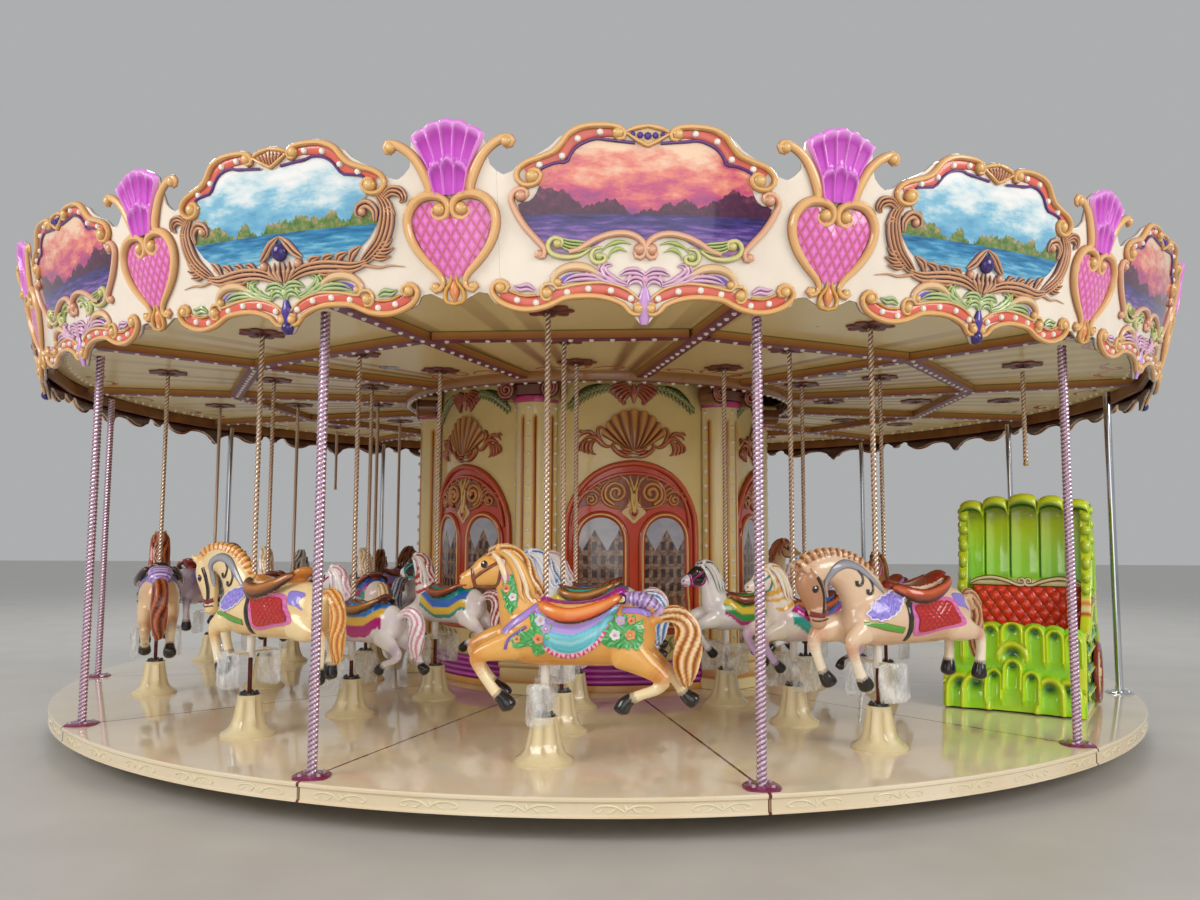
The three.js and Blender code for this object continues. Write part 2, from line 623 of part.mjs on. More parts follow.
// Chariot: a tub with a tall scalloped shell behind, a bench with a quilted backrest, and wheels.
function makeChariot() {
  const chariot = new THREE.Group();
  const place = planPoint(CHARIOT_RADIUS, CHARIOT_ANGLE);
  chariot.position.set(place.x, place.y, DECK_TOP);
  chariot.rotation.z = THREE.MathUtils.degToRad(CHARIOT_ANGLE + 180);
  carousel.add(chariot);

  const side = CHARIOT_HALF_WIDTH;
  const wall = CHARIOT_SIDE_THICKNESS;
  const outline = new THREE.Shape([
    new THREE.Vector2(CHARIOT_FRONT, SEAT_GAP),
    new THREE.Vector2(CHARIOT_FRONT + 20, 140),
    new THREE.Vector2(CHARIOT_FRONT - 60, CHARIOT_APRON_HEIGHT * 0.6),
    new THREE.Vector2(CHARIOT_FRONT - 70, CHARIOT_APRON_HEIGHT),
    new THREE.Vector2(CHARIOT_FRONT - 150, CHARIOT_APRON_HEIGHT - 30),
    new THREE.Vector2(100, CHARIOT_APRON_HEIGHT - 60),
    new THREE.Vector2(-150, CHARIOT_SIDE_HEIGHT),
    new THREE.Vector2(-260, 1000),
    new THREE.Vector2(-330, 1300),
    new THREE.Vector2(-320, CHARIOT_SHELL_HEIGHT),
    new THREE.Vector2(CHARIOT_BACK + 160, CHARIOT_SHELL_HEIGHT),
    new THREE.Vector2(CHARIOT_BACK, 900),
    new THREE.Vector2(CHARIOT_BACK + 40, SEAT_GAP),
  ]);
  const block = new THREE.ExtrudeGeometry(outline, { depth: 2 * side, bevelEnabled: false });
  block.rotateX(Math.PI / 2).translate(0, side, 0);
  const cabinFront = CHARIOT_FRONT - 160;
  const cabinBack = -330;
  const cabinFloor = 90;
  const cabin = new THREE.Shape([
    new THREE.Vector2(cabinFront, cabinFloor),
    new THREE.Vector2(cabinFront, CHARIOT_SHELL_HEIGHT),
    new THREE.Vector2(-120, CHARIOT_SHELL_HEIGHT + 50),
    new THREE.Vector2(-520, CHARIOT_SHELL_HEIGHT + 50),
    new THREE.Vector2(-460, 1400),
    new THREE.Vector2(cabinBack - 60, 900),
    new THREE.Vector2(cabinBack - 60, cabinFloor),
  ]);
  const room = new THREE.ExtrudeGeometry(cabin, { depth: 2 * (side - wall), bevelEnabled: false });
  room.rotateX(Math.PI / 2).translate(0, side - wall, 0);
  addPart(chariot, "chariot_shell", solidOf(block).subtract(solidOf(room)), LIME);

  const clear = SEAT_GAP;
  const benchHalf = side - wall - clear;
  const backX = cabinBack - 60 + clear;
  const bench = box([backX, -benchHalf, cabinFloor + clear], [backX + SEAT_DEPTH, benchHalf, SEAT_HEIGHT]);
  addPart(chariot, "chariot_bench", solidOf(bench), CREAM);
  const rest = box(
    [backX, -benchHalf, SEAT_HEIGHT + clear],
    [backX + BACKREST_THICKNESS, benchHalf, BACKREST_TOP - 80],
  );
  addPart(chariot, "chariot_backrest", solidOf(rest), RED);
  const wheelProfile = [
    [0, side + clear],
    [WHEEL_RADIUS, side + clear],
    [WHEEL_RADIUS, side + WHEEL_THICKNESS],
    [0, side + WHEEL_THICKNESS],
  ];
  const wheel = turned(wheelProfile, 16).rotateX(-Math.PI / 2).translate(-300, 0, WHEEL_RADIUS + 10);
  addPart(chariot, "chariot_wheel", solidOf(wheel), RED);
}

makeBase();
QUARTER_NAMES.forEach((_, quarter) => makeDeckQuarter(quarter));
makePillars();
makeDrum();
makeCrownRing();
makeCeiling();
QUARTER_NAMES.forEach((_, quarter) => makeFasciaQuarter(quarter));
makeRoof();
horsePlaces.forEach(makeHorse);
makeShortPoles();
makeChariot();

export default carousel;
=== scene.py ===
import math

import bmesh
import bpy
import numpy as np
from mathutils import Matrix


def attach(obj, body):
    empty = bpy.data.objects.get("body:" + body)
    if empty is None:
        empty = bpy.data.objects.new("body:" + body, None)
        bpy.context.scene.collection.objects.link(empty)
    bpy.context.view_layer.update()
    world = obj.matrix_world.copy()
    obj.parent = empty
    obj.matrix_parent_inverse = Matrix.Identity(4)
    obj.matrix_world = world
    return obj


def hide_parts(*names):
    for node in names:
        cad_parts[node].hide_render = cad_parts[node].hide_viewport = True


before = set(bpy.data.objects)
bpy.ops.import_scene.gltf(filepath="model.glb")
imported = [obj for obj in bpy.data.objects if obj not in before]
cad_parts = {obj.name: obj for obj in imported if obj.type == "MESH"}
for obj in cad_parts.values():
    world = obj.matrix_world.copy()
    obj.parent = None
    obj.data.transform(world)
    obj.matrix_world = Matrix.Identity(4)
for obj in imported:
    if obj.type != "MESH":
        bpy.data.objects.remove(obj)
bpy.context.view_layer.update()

# Camera: at eye height in front of the ride, tilted a little up, with the lens of a wide phone
# camera.

EYE, TILT_UP, ROLL = (0.0074, -9.259, 1.488), 5.105, 0.235
lens = bpy.data.cameras.new("viewpoint")
lens.lens = 28.25
lens.sensor_width = 36.0
camera = bpy.data.objects.new("viewpoint", lens)
camera.matrix_world = (
    Matrix.Translation(EYE)
    @ Matrix.Rotation(math.radians(90 + TILT_UP), 4, "X")
    @ Matrix.Rotation(math.radians(ROLL), 4, "Z")
)
bpy.context.scene.collection.objects.link(camera)
bpy.context.scene.camera = camera

# Floor and light: a pale floor, a soft room and broad lamps. They show what the ride is made of
# and aren't part of it.

FLOOR_REACH = 40


def hue(code):
    """The linear-light colour of a hex code, by the usual display curve."""
    value = np.array([int(code[i : i + 2], 16) for i in (1, 3, 5)]) / 255
    return np.where(value <= 0.04045, value / 12.92, ((value + 0.055) / 1.055) ** 2.4)


class Wire:
    """A shader socket in a Python expression: each operator adds one Math node."""

    def __init__(self, finish, socket):
        """Keeps the finish that it belongs to and one output socket."""
        self.finish, self.socket = finish, socket

    def math(self, operation, *values):
        """One Math node: the operation on the values, in their order."""
        return self.finish.node("ShaderNodeMath", {"operation": operation}, dict(enumerate(values)))

    def __add__(self, other):
        """This value plus the other."""
        return self.math("ADD", self, other)

    def __sub__(self, other):
        """This value less the other."""
        return self.math("SUBTRACT", self, other)

    def __rsub__(self, other):
        """The other value less this one."""
        return self.math("SUBTRACT", other, self)

    def __mul__(self, other):
        """This value times the other."""
        return self.math("MULTIPLY", self, other)

    def __lt__(self, other):
        """1 where this value is below the other, and 0 elsewhere."""
        return self.math("LESS_THAN", self, other)

    __radd__, __rmul__ = __add__, __mul__

    def fold(self, reach):
        """A zigzag: the value runs up from 0 to the reach and down again, over and over."""
        return self.math("PINGPONG", self, reach)

    def soft(self, low, high):
        """0 below low, 1 above high and a straight slope between, or the other way round."""
        sockets = {"Value": self, "From Min": low, "From Max": high}
        return self.finish.node("ShaderNodeMapRange", {}, sockets)


class Finish:
    """A material under construction: node() adds any node, and set() fills the surface shader."""

    def __init__(self, name, **constants):
        """Makes the material and sets the constants on its surface shader."""
        self.material = bpy.data.materials.new(name)
        self.material.use_nodes = True
        self.tree = self.material.node_tree
        self.surface = self.tree.nodes["Principled BSDF"]
        self.set(**constants)

    def set(self, **sockets):
        """Gives each named socket of the surface shader its constant or wire."""
        for name, value in sockets.items():
            self.plug(self.surface.inputs[name.replace("_", " ")], value)
        return self

    def plug(self, socket, value):
        """Links a wire to the socket, or sets a constant on the socket itself."""
        if isinstance(value, Wire):
            self.tree.links.new(value.socket, socket)
        elif isinstance(value, (np.ndarray, tuple, list)):
            missing = len(socket.default_value) - len(value)
            socket.default_value = tuple(float(v) for v in value) + (1.0,) * missing
        else:
            socket.default_value = value

    def node(self, kind, settings=(), sockets=(), output=0):
        """Adds a node with its settings and sockets. Stops are the places and colours of a ramp."""
        made = self.tree.nodes.new(kind)
        for name, value in dict(settings).items():
            if name == "stops":
                ramp = made.color_ramp
                while len(ramp.elements) < len(value):
                    ramp.elements.new(0.5)
                for element, (place, code) in zip(ramp.elements, value):
                    element.position = place
                    element.color = (*[float(v) for v in hue(code)], 1.0)
            else:
                setattr(made, name, value)
        for name, value in dict(sockets).items():
            self.plug(made.inputs[name], value)
        return Wire(self, made.outputs[output])

    def mix(self, mask, low, high):
        """Colour low where the mask is 0 and colour high where it is 1."""
        low, high = (hue(one) if isinstance(one, str) else one for one in (low, high))
        return self.node("ShaderNodeMix", {"data_type": "RGBA"}, {0: mask, 6: low, 7: high}, 2)

    def ramp(self, value, stops):
        """The colour of a value, mixed between stops (value, hex code)."""
        return self.node("ShaderNodeValToRGB", {"stops": stops}, {0: value})

    def place(self):
        """The point's place on its object, in metres."""
        return self.node("ShaderNodeTexCoord", output="Object")

    def tint(self):
        """The colour that is painted on the points of the mesh."""
        return self.node("ShaderNodeAttribute", {"attribute_name": "tint"})

    def spot(self):
        """The flat place that is stored with the points of the mesh."""
        return self.node("ShaderNodeAttribute", {"attribute_name": "spot"}, output="Vector")

    def axes(self, vector):
        """The first and second coordinates of a vector."""
        return [self.node("ShaderNodeSeparateXYZ", {}, {0: vector}, axis) for axis in (0, 1)]

    def noise(self, vector, scale, detail=3.0, stretch=(1, 1, 1), roughness=0.5):
        """Smooth noise over a vector, which may be stretched along its axes first."""
        if stretch != (1, 1, 1):
            vector = self.node("ShaderNodeMapping", {}, {"Vector": vector, "Scale": stretch})
        sockets = {"Vector": vector, "Scale": scale, "Detail": detail, "Roughness": roughness}
        return self.node("ShaderNodeTexNoise", {}, sockets)

    def bump(self, height, distance, strength=1.0):
        """A normal that leans by the slope of the height, times the distance in metres."""
        sockets = {"Height": height, "Distance": distance, "Strength": strength}
        return self.node("ShaderNodeBump", {}, sockets)


def lamp(name, place, aim, size, watts, colour=(1, 1, 1)):
    """A square area lamp at a place, turned so that it faces the aim."""
    light = bpy.data.lights.new(name, "AREA")
    light.size, light.energy, light.color = size, watts, colour
    holder = bpy.data.objects.new(name, light)
    away = np.subtract(place, aim)
    yaw, tilt = math.atan2(away[0], -away[1]), math.atan2(math.hypot(away[0], away[1]), away[2])
    turned = Matrix.Rotation(yaw, 4, "Z") @ Matrix.Rotation(tilt, 4, "X")
    holder.matrix_world = Matrix.Translation(place) @ turned
    bpy.context.scene.collection.objects.link(holder)


lamp("window_left", (-9, -9, 6.5), (0, 0, 1.5), 5.0, 520, (1, 0.97, 0.94))
lamp("window_right", (9, -10, 6.0), (0, 0, 1.5), 5.0, 520, (1, 0.97, 0.94))
lamp("front_fill", (0, -13, 2.2), (0, 0, 1.4), 7.0, 190, (1, 0.97, 0.93))
lamp("back_left", (-7, 8, 11.0), (0, 0, 1.0), 4.0, 450)
lamp("back_right", (7, 8, 11.0), (0, 0, 1.0), 4.0, 450)
room = bpy.data.worlds.new("room")
room.use_nodes = True
room.node_tree.nodes["Background"].inputs["Color"].default_value = (0.93, 0.94, 0.95, 1)
room.node_tree.nodes["Background"].inputs["Strength"].default_value = 0.45
bpy.context.scene.world = room
bpy.context.scene.view_settings.view_transform = "Standard"

floor_mesh = bpy.data.meshes.new("floor")
floor_corners = [
    (x * FLOOR_REACH, y * FLOOR_REACH, 0) for x, y in ((-1, -1), (1, -1), (1, 1), (-1, 1))
]
floor_mesh.from_pydata(floor_corners, [], [(0, 1, 2, 3)])
floor = bpy.data.objects.new("floor", floor_mesh)
bpy.context.scene.collection.objects.link(floor)
concrete = Finish("pale_floor", Roughness=0.35)
grain = concrete.noise(concrete.place(), 1.6, 6.0)
concrete.set(Base_Color=concrete.mix(grain, "#b9b7b2", "#cfcdc8"))
floor_mesh.materials.append(concrete.material)

# Fixed base: a bearing hub with six flat-footed arms of welded box steel, painted dark grey. The
# platform turns on it and hides most of it.


def weathered(name, dark, light, scale, **constants):
    """A finish whose colour drifts between two close tones, with a faint uneven surface."""
    finish = Finish(name, **constants)
    drift = finish.noise(finish.place(), scale, 5.0)
    finish.set(
        Base_Color=finish.mix(drift.soft(0.3, 0.7), dark, light),
        Normal=finish.bump(finish.noise(finish.place(), scale * 12, 2.0), 0.002, 0.25),
    )
    return finish


def wear(node, finish):
    """Gives a CAD node another finish."""
    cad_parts[node].data.materials.clear()
    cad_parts[node].data.materials.append(finish.material)


wear("base_frame", weathered("base_steel", "#2f2f31", "#4b4a49", 3.0, Roughness=0.6, Metallic=0.3))

# Platform: twelve glossy cream sectors with thin dark seams and a shallow skirt, whose raised lip
# and scrolls are cast with it. It is bolted up from four parts.

DECK, RIM, HUB = 0.225, 4.6, 0.42
SKIRT_FACE = RIM - 0.012
TURN = math.radians(10.63)
SECTOR = math.radians(30)
SEAM_HALF = 0.009


def around(count):
    """Even angles of one full turn."""
    return np.linspace(0, 2 * np.pi, count, endpoint=False)


def grid(x, y, z):
    """Points from three coordinates that are spread over one grid."""
    return np.stack(np.broadcast_arrays(x, y, z), -1)


def at(radius, angle, height):
    """A point at a radius, an angle from the front towards the right, and a height."""
    return grid(radius * np.sin(angle), -radius * np.cos(angle), height)


def tone(low, high, mask):
    """A colour between two others, by a mask from 0 to 1 over the grid."""
    low, high = (hue(one) if isinstance(one, str) else one for one in (low, high))
    return low + (high - low) * np.clip(mask, 0, 1)[..., None]


def bands(*codes):
    """One colour for each place along a profile."""
    return np.array([hue(code) for code in codes])


def sheet(points, tint="#ffffff", finish=0, wrap="", spot=(0, 0)):
    """A grid of points (..., rows, columns, 3), its paint, and the way in which it closes."""
    tint = np.broadcast_to(hue(tint) if isinstance(tint, str) else tint, points.shape)
    spot = np.broadcast_to(spot, points.shape[:-1] + (2,))
    return {"points": points, "tint": tint, "finish": finish, "wrap": wrap, "spot": spot}


def mesh_grid(one):
    """Faces of a sheet: each joins a grid point to the next along its row and its column, and the
    last ones join the first where the grid closes."""
    rows, columns = one["points"].shape[-3:-1]
    copies = one["points"].size // (3 * rows * columns)
    row, column = np.meshgrid(
        np.arange(rows - ("r" not in one["wrap"])),
        np.arange(columns - ("c" not in one["wrap"])),
        indexing="ij",
    )
    step, side = (row + 1) % rows, (column + 1) % columns
    corners = [(row, column), (step, column), (step, side), (row, side)]
    square = np.stack([a * columns + b for a, b in corners], -1).reshape(-1, 4)
    return (square[None] + (rows * columns * np.arange(copies))[:, None, None]).reshape(-1, 4)


def skin(name, sheets, finishes, body="turntable", replaces=(), slot=None):
    """One mesh from grids: each face joins four neighbours of a grid, columns turn left of rows,
    and points that meet at seams and poles are merged."""
    quads, marks, start = [], [], 0
    for one in sheets:
        faces = one["quads"] if "quads" in one else mesh_grid(one)
        quads.append(start + faces)
        marks.append(np.full(len(faces), one["finish"]))
        start += one["points"].size // 3
    quads = np.concatenate(quads)
    points, tints = (
        np.concatenate([one[key].reshape(-1, 3) for one in sheets]) for key in ("points", "tint")
    )
    spots = np.concatenate([one["spot"].reshape(-1, 2) for one in sheets])
    mesh = bpy.data.meshes.new(name)
    mesh.vertices.add(len(points))
    mesh.vertices.foreach_set("co", points.ravel())
    mesh.loops.add(quads.size)
    mesh.loops.foreach_set("vertex_index", quads.ravel())
    mesh.polygons.add(len(quads))
    mesh.polygons.foreach_set("loop_start", np.arange(0, quads.size, 4))
    mesh.polygons.foreach_set("material_index", np.concatenate(marks))
    mesh.update(calc_edges=True)
    paint = mesh.attributes.new("tint", "FLOAT_COLOR", "POINT")
    paint.data.foreach_set("color", np.concatenate([tints, np.ones((len(points), 1))], 1).ravel())
    spot = mesh.attributes.new("spot", "FLOAT2", "POINT")
    spot.data.foreach_set("vector", spots.ravel())
    weld(mesh, 1e-5)
    mesh.shade_smooth()
    mesh.set_sharp_from_angle(angle=math.radians(38))
    for finish in finishes:
        mesh.materials.append(finish.material)
    piece = bpy.data.objects.new(name, mesh)
    bpy.context.scene.collection.objects.link(piece)
    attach(piece, body)
    if replaces:
        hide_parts(*replaces)
    return piece


def weld(mesh, reach):
    """Merges points that are closer than the reach, and faces that this leaves without area."""
    work = bmesh.new()
    work.from_mesh(mesh)
    bmesh.ops.remove_doubles(work, verts=work.verts, dist=reach)
    bmesh.ops.dissolve_degenerate(work, edges=work.edges, dist=reach / 10)
    work.to_mesh(mesh)
    work.free()


def airbrushed(name, roughness=0.22, ripple=0.15, drift=0.06, coat=0.5):
    """Painted moulding: the colour is in the mesh, and a fine drift and ripple lie over it."""
    finish = Finish(name, Coat_Weight=coat, Coat_Roughness=0.08)
    cloud = finish.noise(finish.place(), 7.0, 4.0)
    sockets = {0: finish.tint(), "Scale": cloud * drift * 2 + (1 - drift)}
    finish.set(
        Base_Color=finish.node("ShaderNodeVectorMath", {"operation": "SCALE"}, sockets),
        Roughness=cloud * 0.1 + (roughness - 0.05),
        Normal=finish.bump(finish.noise(finish.place(), 45.0, 2.0), 0.001, ripple),
    )
    return finish


def lathe(profile, steps, foot=0.0, flute=None):
    """A profile of (radius, height) turned round an upright axis and raised by its foot; flute
    scales the radius by the angle and the share along the profile."""
    profile = np.asarray(profile, float)
    angle = around(steps)[:, None]
    radius = profile[None, :, 0]
    if flute is not None:
        radius = radius * flute(angle, np.linspace(0, 1, len(profile))[None])
    return at(radius, angle, profile[None, :, 1] + foot)


def through(points, count, closed=False):
    """A smooth curve through points: cubic spans whose end slopes are half the chord between the
    neighbours, sampled evenly by length."""
    points = np.asarray(points, float)
    if closed:
        ends = np.vstack([points[-1:], points, points[:2]])
    else:
        ends = np.vstack([2 * points[0] - points[1], points, 2 * points[-1] - points[-2]])
    a, b, c, d = ends[:-3], ends[1:-2], ends[2:-1], ends[3:]
    t = np.linspace(0, 1, 16, endpoint=False)[:, None, None]
    spans = 0.5 * (
        2 * b + (c - a) * t + (2 * a - 5 * b + 4 * c - d) * t**2 + (3 * b - a - 3 * c + d) * t**3
    )
    fine = spans.transpose(1, 0, 2).reshape(-1, points.shape[1])
    fine = np.vstack([fine, points[:1] if closed else points[-1:]])
    run = np.append(0, np.cumsum(np.linalg.norm(np.diff(fine, axis=0), axis=1)))
    stops = np.linspace(0, run[-1], count, endpoint=not closed)
    return np.stack([np.interp(stops, run, fine[:, k]) for k in range(points.shape[1])], -1)


def left_of(along):
    """Flat unit steps to the left of a flat path's directions."""
    along = along / (np.linalg.norm(along, axis=1, keepdims=True) + 1e-9)
    return np.stack([-along[:, 1], along[:, 0]], -1)


def bead(points, width, height, count, steps=7, closed=False, lift=0.0):
    """A raised bead along a flat curve (x, y): across it, the side step is a cosine and the height
    a sine of an angle from 0 to 180 degrees, times the width at that place on the curve."""
    path = through(points, count, closed)
    along = np.roll(path, -1, 0) - np.roll(path, 1, 0) if closed else np.gradient(path, axis=0)
    width = np.atleast_1d(width).astype(float)
    width = np.interp(np.linspace(0, 1, count), np.linspace(0, 1, len(width)), width)
    high = height * width / width.max()
    turn = np.linspace(0, np.pi, steps)
    flat = path[:, None] - left_of(along)[:, None] * (width[:, None] * np.cos(turn) / 2)[..., None]
    return np.concatenate([flat, (high[:, None] * np.sin(turn) + lift)[..., None]], -1)


def crest(low, high, rows, steps=7, power=0.7):
    """Shading across a bead: the low colour at its sides and the high one on its crest. On most
    beads the lighter crest is a painted highlight and the darker sides are painted shade, over
    airbrushed paint; a few beads use the two for two colours of paint.
    """
    mask = np.sin(np.linspace(0, np.pi, steps)) ** power
    return np.broadcast_to(tone(low, high, mask), (rows, steps, 3))


def flipped(flat):
    """The mirror image of a flat grid (x, y, height) about x = 0, still facing outwards."""
    return flat[..., ::-1, :, :] * np.array([-1.0, 1.0, 1.0])


gloss = airbrushed("gloss_paint")
deck_paint = Finish("deck_paint", Coat_Weight=0.6, Coat_Roughness=0.05)
east, north = deck_paint.axes(deck_paint.place())
sector = (east.math("ARCTAN2", east, north * -1.0) - TURN) * (1 / SECTOR) + 24.0
radius = east.math("SQRT", east * east + north * north)
seam = (sector.fold(0.5) * radius * SECTOR) < SEAM_HALF
cloud = deck_paint.noise(deck_paint.place(), 1.3, 6.0)
scuff = deck_paint.noise(deck_paint.place(), 9.0, 8.0, roughness=0.7)
worn = deck_paint.mix(cloud.soft(0.35, 0.65), "#ead6b2", "#f3e4c8")
worn = deck_paint.mix(scuff.soft(0.58, 0.75) * 0.25, worn, "#c9b58b")
deck_paint.set(
    Base_Color=deck_paint.mix(seam, worn, "#6b2b1c"),
    Roughness=scuff.soft(0.3, 0.8) * 0.14 + 0.07,
    Normal=deck_paint.bump(cloud, 0.004, 0.12),
)

# Inset from the rim and drop below the deck's top, from the underside round the lip to the hub.
lip = np.array(
    [
        (0.04, 0.04), (0.04, 0.1), (0.004, 0.1), (0.004, 0.092), (0.012, 0.088), (0.012, 0.03),
        (0.006, 0.026), (0.0, 0.02), (0.0, 0.009), (0.006, 0.002), (0.02, 0.0), (RIM - HUB, 0.0),
        (RIM - HUB, 0.04),
    ]
)
rim_angles = around(12 * 24)[:, None] + TURN
platform = [sheet(at(RIM - lip[None, :, 0], rim_angles, DECK - lip[None, :, 1]), wrap="rc")]


def on_skirt(flat, angle):
    """Puts flat ornament (x to the right, y up, height) on the skirt at an angle."""
    return at(SKIRT_FACE + flat[..., 2], angle + flat[..., 0] / RIM, DECK - 0.058 + flat[..., 1])


swirl = [(0.0, -0.012), (0.05, 0.014), (0.11, 0.016), (0.15, 0.0), (0.125, -0.014), (0.105, -0.002)]
leaf = [(0.03, 0.018), (0.06, -0.012), (0.085, -0.016)]
palm = [(0.0, 0.02), (0.012, 0.0), (0.0, -0.02)]
carved = [bead(swirl, (0.008, 0.014, 0.012, 0.01, 0.006), 0.006, 26, 5)]
carved.append(bead(leaf, (0.004, 0.012, 0.004), 0.005, 12, 5))
carved += [flipped(one) for one in carved]
carved.append(bead(palm, (0.004, 0.02, 0.004), 0.006, 9, 5))
joints = TURN + SECTOR * np.arange(12)
scroll_angles = (joints[:, None] + SECTOR * (np.arange(5) + 0.5) / 5).reshape(-1, 1, 1)
for one in carved:
    platform.append(
        sheet(on_skirt(one, scroll_angles), crest("#dccb97", "#f3e8c6", len(one), 5), 1)
    )
joint_line = grid(*np.meshgrid((-0.004, 0.004), (-0.03, 0.03), indexing="ij"), 0.0015)
platform.append(sheet(on_skirt(joint_line, joints.reshape(-1, 1, 1)), "#a08a5c", 1))
DECKS = ["deck_front_right", "deck_rear_right", "deck_rear_left", "deck_front_left"]
skin("platform", platform, [deck_paint, gloss], replaces=DECKS, slot="deck_paint")

# Guides: a cast cone with eight hollow flutes under each horse, bolted down through its foot, and
# a dark steel rod on it that runs up into the horse's sleeve.

BELLY = {
    "outer": {1: 0.530, 2: 0.600, 6: 0.545, 7: 0.600, 8: 0.560, 10: 0.570, 11: 0.600, 12: 0.610},
    "middle": {1: 0.635, 2: 0.540, 3: 0.600, 6: 0.545, 7: 0.610, 8: 0.520, 9: 0.585, 10: 0.560,
               11: 0.615, 12: 0.505},
    "inner": {1: 0.610, 2: 0.541, 3: 0.560, 6: 0.600, 7: 0.550, 8: 0.590, 9: 0.545, 10: 0.570,
              11: 0.600, 12: 0.579},
}
HORSES = [(row, number) for row in BELLY for number in BELLY[row]]
ROW = {"outer": 3.89, "middle": 3.07, "inner": 2.24}
BAY_ROW = {"middle": 2.80, "inner": 2.12}
BAYS = (3, 9)
CONE_TOP, ROD, SLEEVE_DROP = 0.25, 0.0135, 0.13
GORE_DEPTH, GORE_FOOT = 0.11, 0.727


def row_place(row, number):
    """Radius and angle of a horse's pole: the chariot bays, sectors 3 and 9, hold theirs nearer
    the drum."""
    radius = BAY_ROW.get(row, ROW[row]) if number in BAYS else ROW[row]
    return radius, TURN + SECTOR * (number - 1.5)


def gores(angle, share):
    """Flutes: the radius shrinks by the sine of four times the angle, and less towards the top
    and the round foot by a sine of the share along the profile."""
    fade = np.sin(np.pi * np.clip(share / GORE_FOOT, 0, 1)) ** 0.7
    return 1 - GORE_DEPTH * np.abs(np.sin(4 * angle)) * fade


stands = np.array([at(*row_place(row, number), DECK) for row, number in HORSES])[:, None, None]
bell = [
    (0.0, CONE_TOP), (0.078, CONE_TOP), (0.075, 0.238), (0.08, 0.21), (0.088, 0.16),
    (0.098, 0.11), (0.112, 0.07), (0.132, 0.04), (0.16, 0.022), (0.168, 0.012), (0.168, 0.0),
    (0.0, 0.0),
]
cone = lathe(bell, 32, flute=gores)
flange = lathe([(0.0, 0.262), (0.06, 0.262), (0.062, CONE_TOP), (0.0, CONE_TOP)], 16)
bolt = lathe([(0.0, 0.274), (0.008, 0.272), (0.01, 0.262), (0.0, 0.262)], 6)
bolts = bolt + at(0.045, around(6), 0.0)[:, None, None]
tall = cone[..., 2]
cone_paint = tone("#efe0b4", "#b89b62", 0.35 * (1 - np.clip(tall / 0.06, 0, 1)))
ridge = (1 - np.abs(np.sin(4 * around(32))))[:, None]
flank = np.clip((tall - 0.035) / 0.03, 0, 1) * np.clip((0.245 - tall) / 0.02, 0, 1)
cone_paint = tone(cone_paint, "#b08a50", 0.55 * ridge * flank)
cones = [sheet(stands + cone, cone_paint, wrap="r"), sheet(stands + flange, "#1c1a1a", wrap="r")]
cones.append(sheet(stands[:, None] + bolts, "#2a2828", wrap="r"))
skin("guide_cones", cones, [gloss], slot="deck_paint")

rod_steel = weathered("rod_steel", "#4a1c14", "#6e3224", 20.0, Roughness=0.35, Metallic=0.6)
rod = lathe([(0.0, 1.0), (ROD, 1.0), (ROD, 0.0)], 10)
reach = np.array([BELLY[row][number] for row, number in HORSES])[:, None, None] - SLEEVE_DROP
rods = stands + rod * (1, 1, 0) + (0, 0, CONE_TOP)
rods[..., 2] += rod[None, ..., 2] * reach
skin("guide_rods", [sheet(rods, wrap="r")], [rod_steel])

# Pillars: steel tubes bolted to the deck's rim. Those at the front and left are rope-twisted and
# finished in pink and purple metallic; the others are plain chrome.

PILLAR_CIRCLE, PILLAR_TOP = 4.48, 2.458
PLATE_TOP, ROPE_ROWS, ROPE_PITCH = 0.014, 620, 0.026
rope_metal = Finish("rope_metal", Metallic=0.6, Roughness=0.25, Coat_Weight=0.4)
smudge = rope_metal.noise(rope_metal.place(), 60.0).soft(0.45, 0.8) * 0.3
rope_metal.set(Base_Color=rope_metal.mix(smudge, rope_metal.tint(), "#7a2a5c"))
chrome = Finish("pillar_chrome", Metallic=1.0)
smear = chrome.noise(chrome.place(), 30.0, 4.0, (1, 1, 0.1))
chrome.set(Base_Color=chrome.mix(smear, "#b9bdc4", "#e2e6ea"), Roughness=smear * 0.12 + 0.05)


def square_plate(angle, share):
    """A rounded square: the radius grows towards its four corners, where the larger of sine and
    cosine is smallest."""
    return 1 / np.maximum(np.abs(np.cos(angle)), np.abs(np.sin(angle))) ** 0.35


lift = np.linspace(PLATE_TOP, PILLAR_TOP, ROPE_ROWS)[None, :]
turn = around(12)[:, None]
rope = (0.5 + 0.5 * np.sin(3 * turn - lift * 2 * np.pi / ROPE_PITCH))[:, ::-1]
tube = at(0.0235 + 0.0055 * rope, turn, lift[:, ::-1])
# The rope is painted near white on its twists and dark purple between them: a painted highlight and
# painted shade.
rope_paint = tone("#6d1a5c", "#fbe6f4", rope**0.9)
plate = [(0.0, PLATE_TOP), (0.086, PLATE_TOP), (0.098, 0.006), (0.098, 0.0), (0.0, 0.0)]
foot = lathe(plate, 32, flute=square_plate)
nut = lathe([(0.0, 0.026), (0.009, 0.024), (0.011, PLATE_TOP), (0.0, PLATE_TOP)], 6)
nuts = nut + at(0.07, around(4) + np.pi / 4, 0.0)[:, None, None]
pipe = lathe(
    [(0.0, PILLAR_TOP), (0.029, PILLAR_TOP), (0.029, 0.05), (0.033, 0.05), (0.033, PLATE_TOP)],
    24,
)
